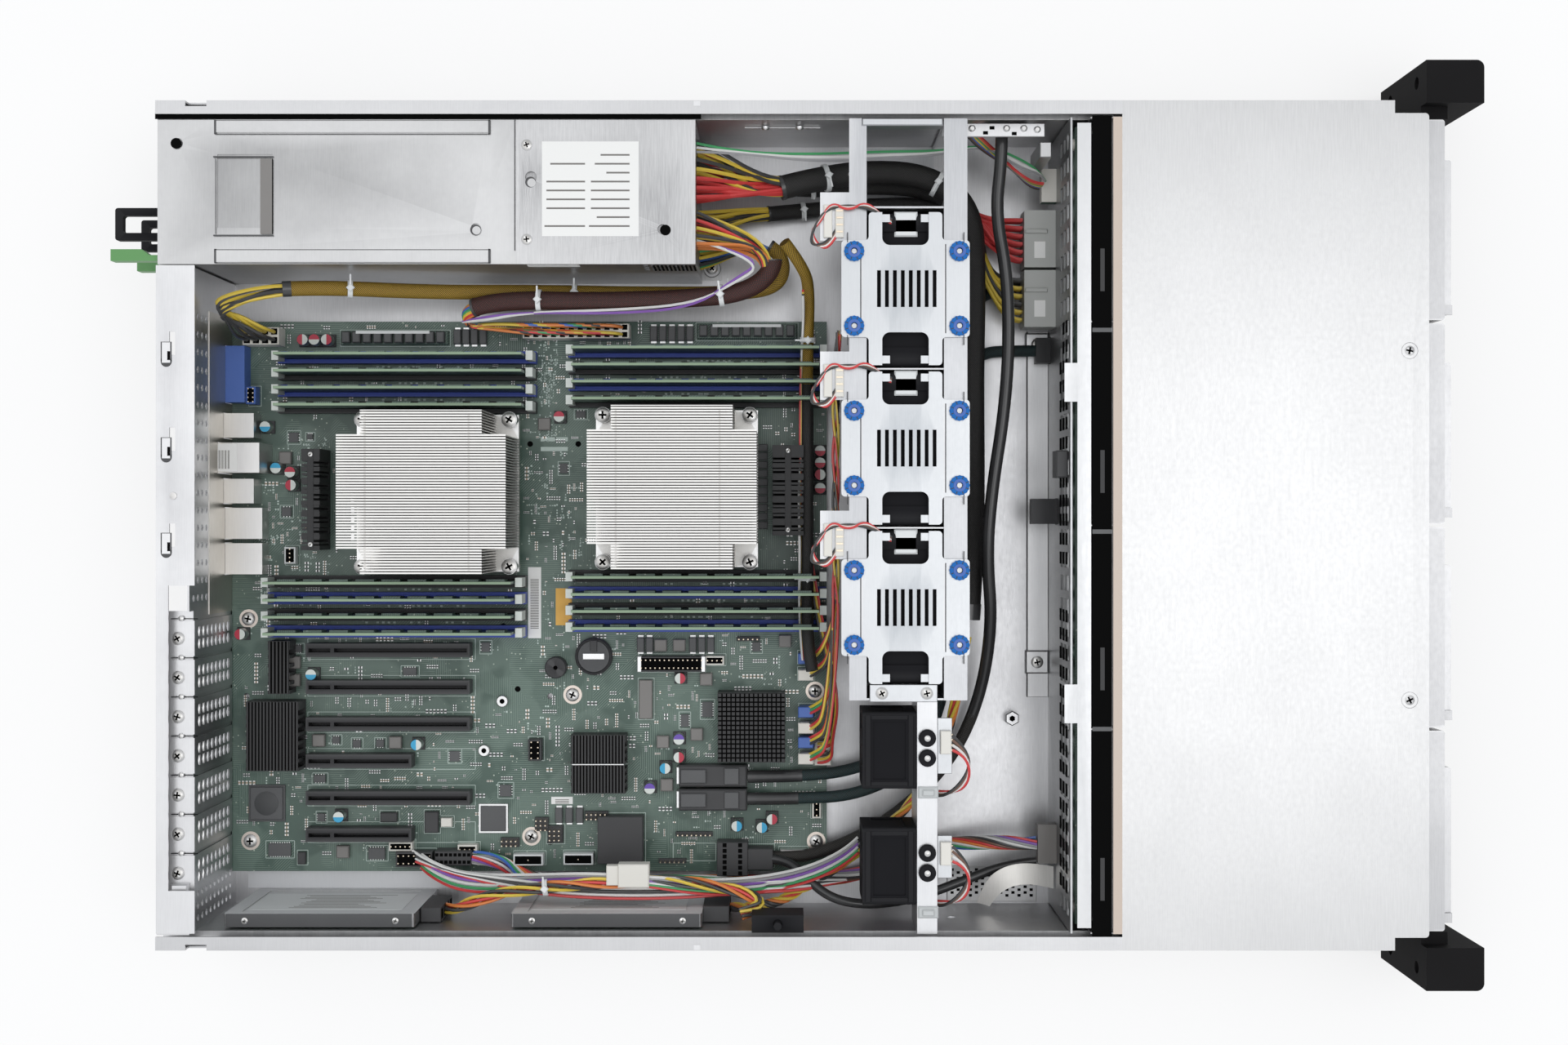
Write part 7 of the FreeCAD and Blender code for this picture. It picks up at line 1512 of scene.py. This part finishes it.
def silk_screen():
    """Pale printed outlines round the sockets and rows of marks on the board."""
    piece = Piece("board_silk_screen", slot="board_green")
    level = BOARD_TOP + 0.05

    def bar(x, y, wide, deep):
        spots(piece, [(x, y)], wide / 2, deep / 2, level, SILK)

    def outline(x, y, wide, deep, line=0.3):
        for side in (-1, 1):
            bar(x + side * wide / 2, y, line, deep)
            bar(x, y + side * deep / 2, wide, line)

    for x, y, wide, deep, *_ in CONNECTORS:
        outline(x, y, wide + 1.6, deep + 1.6)
    for x, y, wide, deep in CHIPS:
        outline(x, y, wide + 1.4, deep + 1.4)
    for number in range(6):
        x = -68.8 - number * SLOT_PITCH
        outline(x, 222, 11.5, 93)
    for x in (47.7, 42.3):
        bar(x, 131.7, 2.3, 15)
    outline(-181.4, 53.9, 9.8, 23.6)
    for start, y in ((LEFT_REAR, 212), (LEFT_FRONT, 52), (RIGHT_REAR, 212), (RIGHT_FRONT, 52)):
        for step in range(3):
            for mark in range(10):
                bar(start - 4.6 - step * MEMORY_PITCH, y - 30 + mark * 3.1 + random.choice((0, 26)), 1.0, 1.4)
    for _ in range(260):
        left, right, near, far = random.choice(((-186, -60, -16, 300), (-58, 40, 100, 146),
                                                (44, 108, 130, 140), (-60, 50, 256, 296)))
        x, y = random.uniform(left, right), random.uniform(near, far)
        if any(abs(x - spot[0]) < spot[2] + 2 and abs(y - spot[1]) < spot[3] + 2 for spot in BOARD_TAKEN):
            continue
        for step in range(random.choice((2, 3, 4, 5))):
            if random.random() < 0.5:
                bar(x + step * 1.5, y, 0.9, random.uniform(0.3, 1.2))
            else:
                bar(x, y + step * 1.3, random.uniform(0.3, 1.2), 0.8)
    piece.done()


# ---------------------------------------------------------------- studio

# The studio, in metres, watts and millimetres of lens: lamps as (name, place, size, watts).
LAMPS = (("key", (0.0, -0.85, 2.2), 1.2, 8), ("fill", (0.6, 1.0, 2.4), 2.0, 8),
         ("top", (-0.5, 0.2, 2.8), 2.2, 8))
SKY, SKY_STRENGTH = (0.95, 0.97, 1.0, 1), 0.78
FLOOR_COLOUR, FLOOR_GLOW = (0.93, 0.93, 0.93, 1), 0.7
EYE = (0.0015, 0.0042, 1.088)
LENS, SENSOR = 44.59, 36


def studio():
    """Pale floor, soft lamps and a camera straight above."""
    bpy.ops.mesh.primitive_plane_add(size=8, location=(0, 0, -0.0006))
    floor = bpy.context.object
    floor.name = "floor"
    pale = bpy.data.materials.new("pale_floor")
    pale.use_nodes = True
    tree = pale.node_tree
    shader = tree.nodes["Principled BSDF"]
    shader.inputs["Base Color"].default_value = FLOOR_COLOUR
    shader.inputs["Roughness"].default_value = 0.9
    glow = node(tree, "ShaderNodeEmission")
    seen = node(tree, "ShaderNodeLightPath")
    shown = math_node(tree, "ADD", seen.outputs["Is Camera Ray"], seen.outputs["Is Glossy Ray"])
    shown = math_node(tree, "ADD", shown, seen.outputs["Is Transmission Ray"], clamp=True)
    blend = node(tree, "ShaderNodeMixShader")
    tree.links.new(math_node(tree, "MULTIPLY", shown, FLOOR_GLOW), blend.inputs[0])
    tree.links.new(shader.outputs[0], blend.inputs[1])
    tree.links.new(glow.outputs[0], blend.inputs[2])
    tree.links.new(blend.outputs[0], tree.nodes["Material Output"].inputs[0])
    floor.data.materials.append(pale)
    world = bpy.data.worlds.new("room")
    world.use_nodes = True
    world.node_tree.nodes["Background"].inputs[0].default_value = SKY
    world.node_tree.nodes["Background"].inputs[1].default_value = SKY_STRENGTH
    bpy.context.scene.world = world
    for name, place, size, watts in LAMPS:
        lamp = bpy.data.lights.new(name, "AREA")
        lamp.energy = watts
        lamp.size = size
        holder = bpy.data.objects.new(name, lamp)
        holder.location = place
        holder.rotation_euler = (-Vector(place)).to_track_quat("-Z", "Y").to_euler()
        bpy.context.scene.collection.objects.link(holder)
    lens = bpy.data.cameras.new("camera")
    lens.sensor_width = SENSOR
    lens.lens = LENS
    lens.clip_start = 0.01
    eye = bpy.data.objects.new("camera", lens)
    eye.location = EYE
    eye.rotation_euler = (0, 0, -math.pi / 2)
    bpy.context.scene.collection.objects.link(eye)
    bpy.context.scene.camera = eye
    bpy.context.scene.view_settings.view_transform = "Standard"


paint_nodes()
studio()
capacitors()
chips()
connectors()
small_parts()
silk_screen()
fan_row()
fan_cage_fittings()
backplane_fittings()
supply_fittings()
rear_fittings()
cover_fittings()
sink_fittings()
cooler_fins()
power_cables()
data_wiring()
loose_wires()
rear_bundle()
